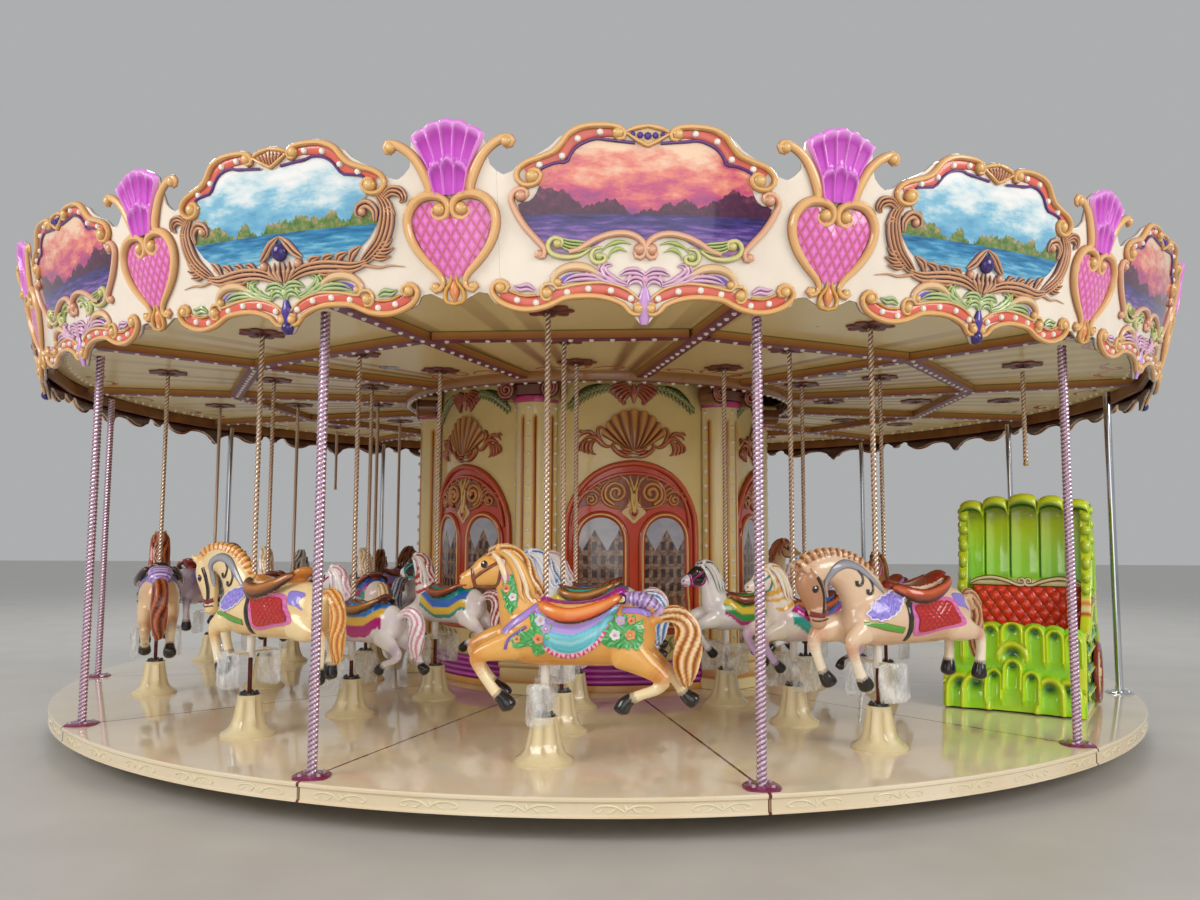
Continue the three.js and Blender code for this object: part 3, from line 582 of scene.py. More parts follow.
for name, numbers, slot, upright, paint, finishes in [
    (
        "rope_pillars", (1, 2, 10, 11, 12), "purple_tube", tube,
        (rope_paint, "#7e2452", "#c9a9bd"), [rope_metal, gloss],
    ),
    (
        "chrome_pillars", range(3, 10), "chrome_tube", pipe, ("#ffffff", "#ffffff", "#8f8f92"),
        [chrome],
    ),
]:
    feet = at(PILLAR_CIRCLE, TURN + SECTOR * (np.array(numbers) - 1), DECK)[:, None, None]
    last = len(finishes) - 1
    parts = [sheet(feet + upright, paint[0], 0, "r"), sheet(feet + foot, paint[1], last, "r")]
    parts.append(sheet(feet[:, None] + nuts, paint[2], last, "r"))
    nodes = ["pillar_%02d" % number for number in numbers]
    skin(name, parts, finishes, replaces=nodes, slot=slot)

# Drum: a round moulded wall round the drive, cream with arched frames, painted views, shells and
# garlands in relief, on a ribbed magenta plinth.

DRUM = 1.547
FIRST_COLUMN = TURN + SECTOR


def on_drum(flat, angle):
    """Puts flat ornament (x along the wall, y the height over the deck, height outwards) on the
    drum: x over the radius is the turn from the ornament's angle."""
    return at(DRUM + flat[..., 2], angle + flat[..., 0] / DRUM, DECK + flat[..., 1])


def whole(half):
    """A closed outline from its right half, listed from the top: down the left and up the right."""
    half = np.asarray(half, float)
    return np.vstack([half * (-1, 1), half[::-1][1 if half[-1, 0] == 0 else 0 : -1]])


def fill(outline, middle, crown=0.0, lift=0.004, count=72, rings=7):
    """A crowned plate inside a closed outline: rings shrink evenly towards the middle, and the
    height is the crown times one less the square of the distance from it."""
    edge = through(outline, count, closed=True)
    share = np.linspace(1, 0, rings)[None, :, None]
    flat = np.asarray(middle) + (edge[:, None] - np.asarray(middle)) * share
    high = np.broadcast_to(lift + crown * (1 - share**2), flat.shape[:-1] + (1,))
    return np.concatenate([flat, high], -1)


def dome(x, y, radius, height, rings=4, steps=10, lift=0.0):
    """A low dome at a flat place: circles whose radius is a sine and whose height is a cosine."""
    rise, turn = np.linspace(np.pi / 2, 0, rings), around(steps)[:, None]
    reach = radius * np.sin(rise)
    return grid(x + reach * np.cos(turn), y + reach * np.sin(turn), height * np.cos(rise) + lift)


def disc(x, y, radius, *form):
    """A round plate at a flat place: twelve even points of a circle, filled."""
    turn = around(12)
    return fill(np.stack([x + radius * np.cos(turn), y + radius * np.sin(turn)], -1), (x, y), *form)


def closing(flat):
    """The way in which a flat grid closes: all round, if its last column is a single point."""
    return "r" if np.allclose(flat[0, -1, :2], flat[-1, -1, :2], atol=1e-6) else ""


def scroll(
    points, width=0.022, low="#a05a20", high="#e8b65c", height=0.014, lift=0.003, steps=6,
    power=0.7,
):
    """A bead and its paint, darker at its sides and lighter on its crest: mostly painted shade and
    a painted highlight.
    """
    flat = bead(points, width, height, 2 * len(points) + 5, steps, lift=lift)
    return flat, crest(low, high, flat.shape[0], steps, power)


def spiral(
    x, y, radius, turns, start, width=0.02, low="#a05a20", high="#e8b65c", height=0.014,
    lift=0.003,
):
    """A scroll whose radius falls evenly from the given one to a fifth of it as it turns."""
    share = np.linspace(0, 1, 14)
    angle, reach = start + turns * 2 * np.pi * share, radius * (1 - 0.8 * share)
    line = np.stack([x + reach * np.cos(angle), y + reach * np.sin(angle)], -1)
    return scroll(line, (width, width, width * 1.3), low, high, height, lift)


wall = [
    (1.5, 0.002), (DRUM - 0.01, 0.002), (DRUM - 0.01, 0.25), (DRUM, 0.25), (DRUM, 3.32),
    (1.5, 3.32),
]
plinth = [(DRUM - 0.005, 0.002), (1.598, 0.002), (1.598, 0.05), (1.59, 0.055)]
paint = ["#c98a3c", "#c98a3c", "#e0a85a", "#5a1050"]
# Each rib of the plinth is painted dark purple at its edges and pale magenta on its crest: painted
# shade in the grooves and a painted highlight.
for foot in (0.06, 0.105, 0.15, 0.195):
    plinth += [
        (1.586, foot), (1.595, foot + 0.01), (1.598, foot + 0.022), (1.595, foot + 0.034),
        (1.586, foot + 0.042),
    ]
    paint += ["#741068", "#b02aa0", "#d45cc4", "#b02aa0", "#741068"]
plinth += [(1.572, 0.243), (1.56, 0.25), (DRUM - 0.005, 0.25)]
paint += ["#e8c88a", "#e8c88a", "#e8c88a"]
drum = [sheet(lathe(wall, 180, DECK), "#f2d890", 0, "rc")]
drum.append(sheet(lathe(plinth, 180, DECK), bands(*paint), 0, "r"))
RED_FRAME = ("#7a2410", "#c8502a")
WINDOW_MIDDLE, SHELL_FOOT = 0.27, 1.95
arch = [
    (0.555, 0.49), (0.557, 0.9), (0.555, 1.3), (0.53, 1.46), (0.45, 1.62), (0.33, 1.745),
    (0.17, 1.822), (0.0, 1.848),
]
window = [
    (0.27, 1.425), (0.35, 1.41), (0.42, 1.36), (0.463, 1.28), (0.475, 1.18), (0.475, 0.85),
    (0.475, 0.52), (0.27, 0.515), (0.065, 0.52), (0.065, 0.85), (0.065, 1.18), (0.077, 1.28),
    (0.12, 1.36), (0.19, 1.41),
]
plate = [
    (0.0, 1.872), (0.18, 1.846), (0.34, 1.766), (0.47, 1.636), (0.555, 1.46), (0.578, 1.3),
    (0.578, 0.9), (0.578, 0.47), (0.3, 0.465), (0.0, 0.465),
]
tympanum = [
    (0.0, 1.772), (0.15, 1.75), (0.3, 1.685), (0.42, 1.59), (0.485, 1.49), (0.45, 1.475),
    (0.4, 1.497), (0.33, 1.515), (0.25, 1.51), (0.165, 1.488), (0.09, 1.435), (0.03, 1.375),
    (0.0, 1.35),
]
half = [scroll(arch, 0.05, "#7a2410", "#d8603a", 0.036, 0.008, 9)]
half.append(
    scroll(
        [(0.5, 1.32), (0.475, 1.46), (0.42, 1.575), (0.305, 1.675), (0.155, 1.742), (0.0, 1.763)],
        0.034, "#6a1c0c", "#d8603a", 0.026, 0.008,
    )
)
half.append(scroll([(0.555, 0.475), (0.28, 0.47), (0.0, 0.475)], 0.05, *RED_FRAME, 0.03, 0.0, 7))
rim = bead(window, 0.06, 0.026, 84, 8, closed=True, lift=0.006)
edge = bead(
    np.asarray(window) * (0.97, 1.0) + (0.008, 0.0), 0.018, 0.016, 84, 6, closed=True, lift=0.02
)
plates = [
    (fill(whole(plate), (0, 1.0), 0.0, 0.01, 110, 5), "#d0401c"),
    (fill(whole(tympanum), (0, 1.6), 0.0, 0.014, 110, 5), "#8a3a20"),
    (
        fill(
            whole(
                [
                    (0.0, 1.6), (0.03, 1.54), (0.075, 1.47), (0.1, 1.44), (0.04, 1.385),
                    (0.0, 1.352),
                ]
            ),
            (0, 1.46), 0.0, 0.0155, 40, 3,
        ),
        "#e6c98c",
    ),
]
half_closed = [(rim, crest(*RED_FRAME, 84, 8)), (edge, crest("#b8782c", "#f4d68c", 84, 6))]
half += [
    spiral(0.148, 1.6, 0.098, 1.9, -1.4, 0.034, "#5a140c", "#dc9a50", 0.03, 0.01),
    spiral(0.35, 1.545, 0.05, 1.5, 2.2, 0.026, "#5a140c", "#d48e4c", 0.026, 0.01),
]
for stem_line, broad in [
    (
        [
            (0.03, 1.49), (0.1, 1.475), (0.18, 1.487), (0.24, 1.52), (0.265, 1.59), (0.24, 1.655),
            (0.18, 1.705), (0.1, 1.715),
        ],
        0.03,
    ),
    ([(0.24, 1.53), (0.3, 1.6), (0.36, 1.615), (0.42, 1.57), (0.445, 1.51)], 0.03),
    ([(0.26, 1.6), (0.3, 1.64), (0.345, 1.64)], 0.03),
    ([(0.255, 1.65), (0.28, 1.67), (0.315, 1.665)], 0.026),
    ([(0.25, 1.54), (0.28, 1.55), (0.3, 1.53)], 0.026),
    ([(0.31, 1.6), (0.33, 1.63), (0.37, 1.635)], 0.02),
    ([(0.4, 1.59), (0.42, 1.605), (0.44, 1.585)], 0.02),
    ([(0.42, 1.56), (0.45, 1.56), (0.46, 1.53)], 0.018),
    ([(0.2, 1.69), (0.21, 1.72), (0.25, 1.72)], 0.02),
    ([(0.05, 1.63), (0.03, 1.66), (0.05, 1.7)], 0.018),
    ([(0.06, 1.5), (0.045, 1.53), (0.05, 1.57)], 0.018),
    ([(0.12, 1.7), (0.1, 1.735), (0.14, 1.745)], 0.018),
]:
    half.append(scroll(stem_line, (0.008, broad, broad, 0.008), "#5a140c", "#d0844a", 0.022, 0.01))
half += [
    scroll(
        [(0.0, 1.44), (0.018, 1.54), (0.022, 1.62), (0.055, 1.7), (0.1, 1.735)],
        (0.036, 0.022, 0.014), "#8c5a1c", "#f4cc70", 0.026, 0.01,
    ),
    scroll(
        [(0.0, 1.62), (0.022, 1.69), (0.035, 1.745)], (0.02, 0.022, 0.008), "#8c5a1c", "#f4cc70",
        0.026, 0.01,
    ),
    scroll([(0.0, 1.5), (0.034, 1.445), (0.0, 1.385)], 0.016, "#8c3a1c", "#e8a860", 0.02, 0.01),
]
shell_red, shell_gold = "#6a1810", "#c8744a"
for stem_line, broad in [
    (
        [
            (0.0, 1.895), (0.06, 1.9), (0.12, 1.925), (0.165, 1.965), (0.17, 2.0), (0.14, 2.012),
            (0.12, 1.99),
        ],
        0.04,
    ),
    ([(0.0, 1.95), (0.06, 1.955), (0.115, 1.98)], 0.032),
    ([(0.0, 1.925), (0.06, 1.93), (0.12, 1.955)], 0.024),
    ([(0.17, 2.0), (0.21, 1.98), (0.26, 2.0), (0.31, 2.05), (0.37, 2.06), (0.43, 2.03)], 0.044),
    (
        [(0.25, 2.01), (0.285, 2.06), (0.3, 2.11), (0.28, 2.14), (0.25, 2.13), (0.26, 2.105)],
        0.032,
    ),
    ([(0.3, 2.05), (0.36, 2.1), (0.42, 2.09), (0.46, 2.05)], 0.036),
    ([(0.4, 2.08), (0.435, 2.11), (0.47, 2.09)], 0.022),
    ([(0.29, 2.03), (0.34, 2.02), (0.36, 1.965), (0.34, 1.925), (0.31, 1.915)], 0.04),
    ([(0.34, 2.03), (0.385, 2.0), (0.39, 1.95), (0.37, 1.915)], 0.036),
    ([(0.38, 2.04), (0.42, 2.0), (0.42, 1.95), (0.4, 1.925)], 0.032),
    ([(0.41, 2.03), (0.45, 1.995), (0.455, 1.96), (0.435, 1.94)], 0.028),
]:
    half.append(scroll(stem_line, (0.012, broad, broad, 0.008), shell_red, shell_gold, 0.026))
for k in range(5):
    reach, drop = 0.215 - 0.03 * k, 0.012 + 0.026 * k
    line = [
        (0.01, 2.47 - 0.014 * k), (0.4 * reach, 2.503 - 0.02 * k), (0.8 * reach, 2.495 - drop),
        (reach, 2.46 - drop), (0.84 * reach, 2.445 - drop),
    ]
    half.append(scroll(line, (0.014, 0.036, 0.032, 0.014), "#5a1410", "#c06a50", 0.03, 0.002 * k))
    half.append(
        spiral(
            0.86 * reach, 2.462 - drop, 0.016, 1.0, 1.2, 0.014, "#5a1410", "#c06a50", 0.02, 0.006
        )
    )
half.append(
    scroll(
        [(0.0, 2.5), (0.008, 2.43), (0.0, 2.34)], (0.03, 0.05, 0.016), "#7a1c14", "#cc7a5c", 0.03
    )
)
half.append(
    scroll(
        [(0.19, 2.47), (0.28, 2.468), (0.37, 2.45), (0.45, 2.405), (0.51, 2.35), (0.53, 2.3)],
        (0.03, 0.075, 0.08, 0.06, 0.02), "#20260e", "#5c6636", 0.014,
    )
)
for k in range(10):
    x, top = 0.2 + 0.034 * k, 2.488 - 0.0046 * k**1.6
    for reach, drop, broad, lift in (
        (0.012, 0.066, 0.034, 0.006), (0.045, 0.05, 0.04, 0.012), (0.05, -0.004, 0.036, 0.008)
    ):
        line = [(x, top), (x + reach * 0.7, top - drop * 0.35), (x + reach, top - drop)]
        half.append(scroll(line, (0.014, broad, 0.006), "#2a3014", "#a2a468", 0.022, lift, 5))
for k in range(4):
    x = 0.1 + 0.1 * k
    half.append(
        scroll(
            [(x, 0.29), (x + 0.03, 0.34), (x + 0.01, 0.4), (x + 0.05, 0.43)],
            (0.006, 0.03, 0.006), "#4a5a24", "#9aa85a", 0.008,
        )
    )
    half.append(
        scroll(
            [(x + 0.02, 0.33), (x + 0.06, 0.33), (x + 0.08, 0.37)], (0.006, 0.026, 0.006),
            "#7a5a2c", "#b89a5a", 0.006,
        )
    )
panel_angles = FIRST_COLUMN + SECTOR + around(6)[:, None, None]
for flat, paint in half:
    drum.append(sheet(on_drum(flat, panel_angles), paint))
    drum.append(sheet(on_drum(flipped(flat), panel_angles), paint[::-1]))
for flat, colour in plates:
    drum.append(sheet(on_drum(flat, panel_angles), colour, 0, "r"))
for flat, paint in half_closed:
    for placed in (flat[::-1], flat * (-1, 1, 1)):
        drum.append(sheet(on_drum(placed[:, ::-1], panel_angles), paint, 0, "r"))
across, up = np.linspace(-1, 1, 65)[:, None], np.linspace(0, 1, 14)
ribs = np.abs(np.cos(4.5 * np.pi * across)) ** 0.7
splay = across * 1.25
reach = 0.06 + (0.205 + 0.02 * ribs + 0.06 * np.cos(splay) ** 2) * up
swell = np.sin(np.pi * np.clip(up * 0.93 + 0.06, 0, 1)) ** 0.4
shell = grid(
    reach * np.sin(splay) * (0.5 + 0.5 * up),
    SHELL_FOOT + reach * np.cos(splay * 0.9) * up,
    0.004 + 0.03 * ribs * up**0.5 * swell + 0.02 * (1 - across**2),
)
# The shells are red, and gold on their ribs, more so towards the rim: partly gilt paint and partly
# a painted highlight, with painted shade in the red grooves.
shell_paint = tone(shell_red, "#e2a254", ribs**1.6 * (0.35 + 0.65 * up))
drum.append(sheet(on_drum(shell, panel_angles), shell_paint))
drum.append(
    sheet(on_drum(dome(0.0, 1.43, 0.022, 0.016, 4, 12, 0.02), panel_angles), "#a01f5c", 0, "r")
)

view = Finish("arcade_view", Roughness=0.16, Coat_Weight=0.6)
spot = view.spot()
x, y = view.axes(spot)
bays, storeys = (x * 14.0 + 40.0).fold(0.5), (y * 9.0).fold(0.5)
panes = bays.soft(0.2, 0.26) * storeys.soft(0.16, 0.22)
stone = view.noise(spot, 22.0, 8.0, roughness=0.7)
walls = view.ramp(stone, [(0.3, "#3a2c34"), (0.5, "#8c7264"), (0.7, "#c8a888")])
front = view.mix(panes * 0.8, walls, "#1c1a2c")
street = view.mix(y.soft(0.78, 0.6), front, view.mix(stone, "#6a3a2c", "#c88a6a"))
heavens = view.mix(view.noise(spot, 4.0, 6.0, (1, 2, 1)), "#7a8cb8", "#dcd6d0")
gable = (x * 5.0 + 30.1).fold(0.5) * 0.35 + 1.12
view.set(Base_Color=view.mix(((y - gable) * 90.0).soft(0, 1), street, heavens))
glass = fill(window, (WINDOW_MIDDLE, 0.95), 0.0, 0.016, 84, 6)[::-1, ::-1]
for shift in (0.0, 2 * WINDOW_MIDDLE):
    pane = glass - (shift, 0, 0)
    drum.append(sheet(on_drum(pane, panel_angles), "#ffffff", 1, "r", pane[..., :2]))
skin("drum_wall_moulding", drum, [gloss, view], replaces=["drum_wall"], slot="drum_paint")

# Half columns: six round shafts with gold-lined grooves and rows of bulbs on a square foot, under
# a magenta collar and a pair of volutes. They stand in front of the drum's wall.

COLUMN_AXIS, COLUMN_WIDE, COLUMN_DEEP = 1.552, 0.176, 0.182
VOLUTE, VOLUTE_HIGH, VOLUTE_FACE = 0.088, 2.44, 1.758


def pier(profile, steps, square):
    """A half column: a profile of (half width, depth, height) swept through half a turn, as the
    2 over square power of cosine and sine."""
    wide, deep, high = np.transpose(profile)
    turn = np.linspace(-np.pi / 2, np.pi / 2, steps)[:, None]
    side = np.sign(np.sin(turn)) * np.abs(np.sin(turn)) ** (2 / square)
    return grid(wide * side, 1.555 + 0.97 * deep * np.abs(np.cos(turn)) ** (2 / square), high)


def on_column(local, angle):
    """Puts points (sideways, radius from the axis, height over the deck) at a column's angle."""
    outward, right = at(1.0, angle, 0.0), at(1.0, angle + np.pi / 2, 0.0)
    return local[..., 1:2] * outward + local[..., :1] * right + (local[..., 2:] + DECK) * (0, 0, 1)


columns = FIRST_COLUMN + around(6)[:, None, None]
side = np.linspace(-1, 1, 81)[:, None]
level = np.concatenate(
    [[0.28], np.linspace(0.33, 0.37, 4), [1.3], np.linspace(2.2, 2.25, 5), [2.34]]
)
ends = np.clip((level - 0.335) / 0.03, 0, 1) * np.clip((2.245 - level) / 0.03, 0, 1)
lines = (-0.76, -0.2, 0.2, 0.76)
groove = sum(np.exp(-(((side - one) / 0.03) ** 4)) for one in lines) * ends
lining = sum(np.exp(-(((side - one) / 0.085) ** 6)) for one in lines) * ends
turn = side * np.pi / 2
depth = (COLUMN_DEEP - 0.014 * groove) * np.cos(turn)
shaft = grid(COLUMN_WIDE * np.sin(turn), COLUMN_AXIS + depth, level)
# Each groove is lined in gold and painted dark brown along its bottom: the brown is painted shade.
shaft_paint = tone(tone("#f6e2a4", "#eaa63c", lining), "#7a3408", groove)
pillar_parts = [sheet(on_column(shaft, columns), shaft_paint)]
for profile, steps, square, colours in [
    (
        [
            (0, 0, 0.003), (0.234, 0.272, 0.003), (0.234, 0.272, 0.08), (0.222, 0.262, 0.095),
            (0.222, 0.262, 0.2), (0.232, 0.27, 0.21), (0.232, 0.27, 0.24), (0.2, 0.23, 0.262),
            (0.19, 0.21, 0.298), (0, 0, 0.3),
        ],
        33, 8,
        [
            "#f2e3ae", "#f2e3ae", "#f2e3ae", "#c98a3c", "#f2e3ae", "#c98a3c", "#f2e3ae",
            "#f2e3ae", "#e0a84c", "#e0a84c",
        ],
    ),
    # The magenta collar is painted darkest at its edges and lightest on its bulge: painted shade
    # and a painted highlight.
    (
        [
            (0.17, 0.17, 2.335), (0.19, 0.2, 2.34), (0.195, 0.205, 2.365), (0.19, 0.2, 2.39),
            (0.17, 0.17, 2.395),
        ],
        33, 2.2, ["#5a0c3c", "#b8206e", "#d84a8c", "#b8206e", "#5a0c3c"],
    ),
    (
        [(0.15, 0.16, 2.39), (0.2, 0.19, 2.4), (0.21, 0.2, 2.48), (0.15, 0.16, 2.5)], 33, 4,
        ["#4a2418", "#7a4430", "#7a4430", "#4a2418"],
    ),
    (
        [
            (0.15, 0.15, 2.495), (0.258, 0.226, 2.5), (0.258, 0.232, 2.515), (0.25, 0.228, 2.545),
            (0, 0, 2.552),
        ],
        33, 8, ["#6a3a2a", "#b8864c", "#e8c88a", "#8c5a3c", "#6a3a2a"],
    ),
]:
    pillar_parts.append(sheet(on_column(pier(profile, steps, square), columns), bands(*colours)))
for x in (-0.19, 0.19):
    round_plate = disc(x, VOLUTE_HIGH, VOLUTE, 0.006, 0.0, 32, 4)
    turns = -2.5 if x > 0 else 2.5
    coil, coil_paint = spiral(
        x, VOLUTE_HIGH, 0.078, turns, 1.6, 0.02, "#5a1c1c", "#c8806a", 0.018, 0.005
    )
    for flat, paint in ((round_plate, "#5a2a20"), (coil, coil_paint)):
        local = grid(flat[..., 0], VOLUTE_FACE + flat[..., 2], flat[..., 1])
        pillar_parts.append(sheet(on_column(local, columns), paint, 0, closing(flat)))
    turn = around(24)[:, None]
    across, up = x + VOLUTE * np.cos(turn), VOLUTE_HIGH + VOLUTE * np.sin(turn)
    rolled = grid(across, np.linspace(VOLUTE_FACE, 1.6, 3), up)
    pillar_parts.append(sheet(on_column(rolled, columns), "#8c5a3c", 0, "r"))
bulb = lathe([(0.0, 0.018), (0.01, 0.015), (0.016, 0.007), (0.017, 0.0)], 8)
heights = grid(0, 0, np.arange(0.42, 2.3, 0.125))[:, None, None]
for one, out in ((0.0, COLUMN_DEEP), (0.97, 0.03), (-0.97, 0.03)):
    across = bulb[..., 0] + COLUMN_WIDE * math.sin(one * math.pi / 2)
    row = grid(across, COLUMN_AXIS + out + bulb[..., 2], bulb[..., 1]) + heights
    pillar_parts.append(sheet(on_column(row[:, ::-1], columns[..., None]), "#f6f2ea", 0, "r"))
skin("drum_columns_moulding", pillar_parts, [gloss], replaces=["drum_columns"], slot="drum_paint")

# Ceiling: glossy cream panels on ochre beams with maroon soffits, rows of bulbs along the beams,
# a red rosette where each pole passes through, and round loudspeaker holes.

SOFFIT, PANEL, BULB_DROP = 2.46, 2.56, 0.054
INNER_EDGE, OUTER_EDGE, PANEL_THICK = 1.822, 4.7, 0.028
CROSS_BEAM, BEAM_HALF = 3.3, 0.056
panel_finish = airbrushed("ceiling_panel", 0.3, 0.1, 0.05, 0.12)
slab = [
    (OUTER_EDGE, PANEL), (OUTER_EDGE, PANEL + PANEL_THICK), (INNER_EDGE, PANEL + PANEL_THICK),
    (INNER_EDGE, PANEL),
]
ceiling = [sheet(lathe(slab, 192, DECK), "#e9d69c", 1, "rc")]


def overhead(flat, angle):
    """Puts flat ornament (x sideways, y the radius, height downwards) under the ceiling panels."""
    outward, right = at(1.0, angle, 0.0), at(1.0, angle + np.pi / 2, 0.0)
    down = (DECK + PANEL - flat[..., 2:]) * np.array([0, 0, 1.0])
    return flat[..., 1:2] * outward + flat[..., :1] * right + down


def beam(start, end, half_width, along_radius=True, middle=0.0):
    """A straight beam under the panels: its section runs down one side, over the soffit and up."""
    section = [
        (-1, 0.0), (-1, 0.012), (-1, 0.05), (-0.9, 0.056), (0.9, 0.056), (1, 0.05), (1, 0.012),
        (1, 0.0),
    ]
    wide, high = (np.array(section) * (half_width, 1)).T
    run = np.linspace(start, end, 3)[:, None]
    return grid(wide, run, high)[:, ::-1] if along_radius else grid(run, middle + wide, high)


beam_paint = bands(
    "#3f6a2a", "#c08a48", "#a4672f", "#701a4a", "#701a4a", "#a4672f", "#c08a48", "#3f6a2a"
)
spokes = TURN + around(12)[:, None, None]
sectors = spokes + SECTOR / 2
ceiling.append(sheet(overhead(beam(1.84, 4.66, 0.054), spokes), beam_paint, 2))
cross_reach = 3.29 * math.tan(SECTOR / 2) - BEAM_HALF
crossing = beam(-cross_reach, cross_reach, BEAM_HALF, False, CROSS_BEAM)
ceiling.append(sheet(overhead(crossing, sectors), beam_paint, 2))
hoop = [
    (INNER_EDGE, PANEL), (INNER_EDGE, SOFFIT + 0.03), (1.83, SOFFIT + 0.015),
    (1.87, SOFFIT + 0.015), (1.88, SOFFIT + 0.03), (1.88, PANEL),
]
hoop_paint = bands("#8c5428", "#8c5428", "#7a2a3c", "#7a2a3c", "#a8743a", "#a8743a")
ceiling.append(sheet(lathe(hoop, 96, DECK), hoop_paint, 0, "r"))
bulb = dome(0.0, 0.0, 0.018, 0.018, 3, 8)
along = grid(0, np.linspace(1.97, 4.52, 20), BULB_DROP)[:, None, None]
across = grid(np.linspace(-0.74, 0.74, 12), CROSS_BEAM, BULB_DROP)[:, None, None]
for spots, angles in [
    (along, spokes[..., None]), (across, sectors[..., None]),
    (np.array((0, 1.85, 0.084)), around(96)[:, None, None]),
    (np.array((0, 4.6, 0.0)), around(192)[:, None, None]),
]:
    ceiling.append(sheet(overhead(bulb + spots, angles), "#f6f2ea", 0, "r"))

lobes = around(48)[:, None]
share = np.array([1.0, 0.97, 0.7, 0.4, 0.24, 0.185])
scallops = np.abs(np.cos(4 * lobes))
reach = (0.118 + 0.037 * scallops) * share
raised = np.array([0.002, 0.008, 0.011, 0.01, 0.024, 0.024]) + 0.004 * scallops * share
rosette = grid(reach * np.cos(lobes), reach * np.sin(lobes), -raised)[::-1]
holes = [
    at(*row_place(row, number), DECK + PANEL)
    for number in range(1, 13) for row in reversed(ROW)
]
red = tone("#3c0c12", "#8c2a26", scallops * share)[::-1]
ceiling.append(sheet(np.array(holes)[:, None, None] + rosette, red, 2, "r"))
for line, width in [
    (
        [(0.1, 1.95), (0.18, 2.02), (0.28, 2.02), (0.34, 1.96), (0.3, 1.92), (0.26, 1.95)],
        (0.01, 0.04, 0.02),
    ),
    ([(0.0, 1.93), (0.06, 2.0), (0.05, 2.1), (0.0, 2.14)], (0.01, 0.04, 0.01)),
    (
        [(0.3, 4.45), (0.42, 4.38), (0.56, 4.4), (0.62, 4.46), (0.56, 4.5), (0.52, 4.46)],
        (0.01, 0.05, 0.02),
    ),
    ([(0.7, 4.4), (0.8, 4.3), (0.95, 4.32), (0.98, 4.4)], (0.01, 0.05, 0.01)),
]:
    flat, paint = scroll(line, width, "#b84a34", "#e0846a", 0.002, 0.001, 5)
    ceiling.append(sheet(overhead(flat, sectors), paint))
    ceiling.append(sheet(overhead(flipped(flat), sectors), paint[::-1]))
speaker = disc(0, 2.55, 0.075, 0.0, 0.003, 24, 3)
ceiling.append(sheet(overhead(speaker, spokes[1::3] + math.radians(9)), "#0c0a0a", 0, "r"))
beam_finish = airbrushed("beam_paint", 0.45, 0.15, 0.08, 0.06)
skin(
    "ceiling_panels", ceiling, [gloss, panel_finish, beam_finish], replaces=["ceiling"],
    slot="ceiling_paint",
)

# Crown: a leaning band of moulded boards, cream in front and maroon behind. Each panel carries a
# picture in a scrolled frame with a row of bulbs, and a heart with a shell stands between panels.

BOARD_FOOT, FOOT_HIGH, BOARD_LEAN, CROWN = 4.749, 2.39, 0.228, 4.85
FACE_OUT, FACE_DOWN = 0.975, 0.222
PANEL_CREAM = "#fdf1e0"
GILT, BAND, BOARD_THICK, LATTICE = ("#9c5628", "#f4c07c"), ("#c03a34", "#ec7462"), 0.02, 0.082


def on_board(flat, angle):
    """Puts flat ornament (x along the crown, y the height over the deck, height) on the board: its
    radius grows with y by the lean, and the height runs square to the leaning face."""
    out = BOARD_FOOT + BOARD_LEAN * (flat[..., 1] - FOOT_HIGH) + FACE_OUT * flat[..., 2]
    return at(out, angle + flat[..., 0] / CROWN, DECK + flat[..., 1] - FACE_DOWN * flat[..., 2])


def stud(x, y, radius=0.011, colour="#fbf6ea"):
    """A round bulb or berry, and its paint."""
    return dome(x, y, radius, radius * 0.9, 3, 8, 0.008), np.broadcast_to(hue(colour), (8, 3, 3))


ROSE = ("#a8583c", "#f4c09c")
tube = (0.024, 0.034, 0.036, 0.034, 0.026)
taper = (0.006, 0.024, 0.005)
top_edge = [(0.152, 3.151), (0.128, 3.137), (0.108, 3.153), (0.122, 3.184), (0.163, 3.197),
            (0.234, 3.2), (0.311, 3.191), (0.371, 3.162), (0.407, 3.118), (0.448, 3.08),
            (0.514, 3.056), (0.576, 3.035), (0.618, 3.0), (0.619, 2.962), (0.582, 2.934),
            (0.53, 2.941), (0.507, 2.975), (0.527, 3.002), (0.56, 2.996), (0.553, 2.98)]
top_band = [(0.13, 3.155), (0.17, 3.17), (0.25, 3.169), (0.32, 3.152), (0.372, 3.115),
            (0.4, 3.07), (0.45, 3.047), (0.52, 3.028), (0.58, 2.998)]
top_line = [(0.06, 3.122), (0.188, 3.134), (0.236, 3.14), (0.285, 3.128), (0.334, 3.103),
            (0.365, 3.067), (0.381, 3.036), (0.436, 3.032), (0.507, 3.004), (0.52, 2.97)]
foot_edge = [(0.04, 2.362), (0.05, 2.38), (0.03, 2.388), (0.01, 2.36), (0.035, 2.332),
             (0.078, 2.348), (0.098, 2.374), (0.158, 2.401), (0.229, 2.416), (0.31, 2.418),
             (0.393, 2.41), (0.446, 2.388), (0.499, 2.368), (0.574, 2.357), (0.648, 2.365),
             (0.722, 2.396), (0.758, 2.441), (0.75, 2.477), (0.715, 2.492), (0.68, 2.474),
             (0.69, 2.444), (0.712, 2.444)]
foot_band = [(0.045, 2.4), (0.1, 2.425), (0.17, 2.447), (0.283, 2.452), (0.394, 2.437),
             (0.46, 2.408), (0.556, 2.388), (0.64, 2.402), (0.715, 2.435)]
foot_line = [(0.017, 2.393), (0.057, 2.43), (0.116, 2.462), (0.197, 2.481), (0.288, 2.479),
             (0.37, 2.467), (0.433, 2.455), (0.45, 2.472), (0.494, 2.474), (0.514, 2.446),
             (0.506, 2.41), (0.48, 2.4), (0.467, 2.42)]
lower_line = [(0.539, 2.424), (0.602, 2.422), (0.665, 2.443)]
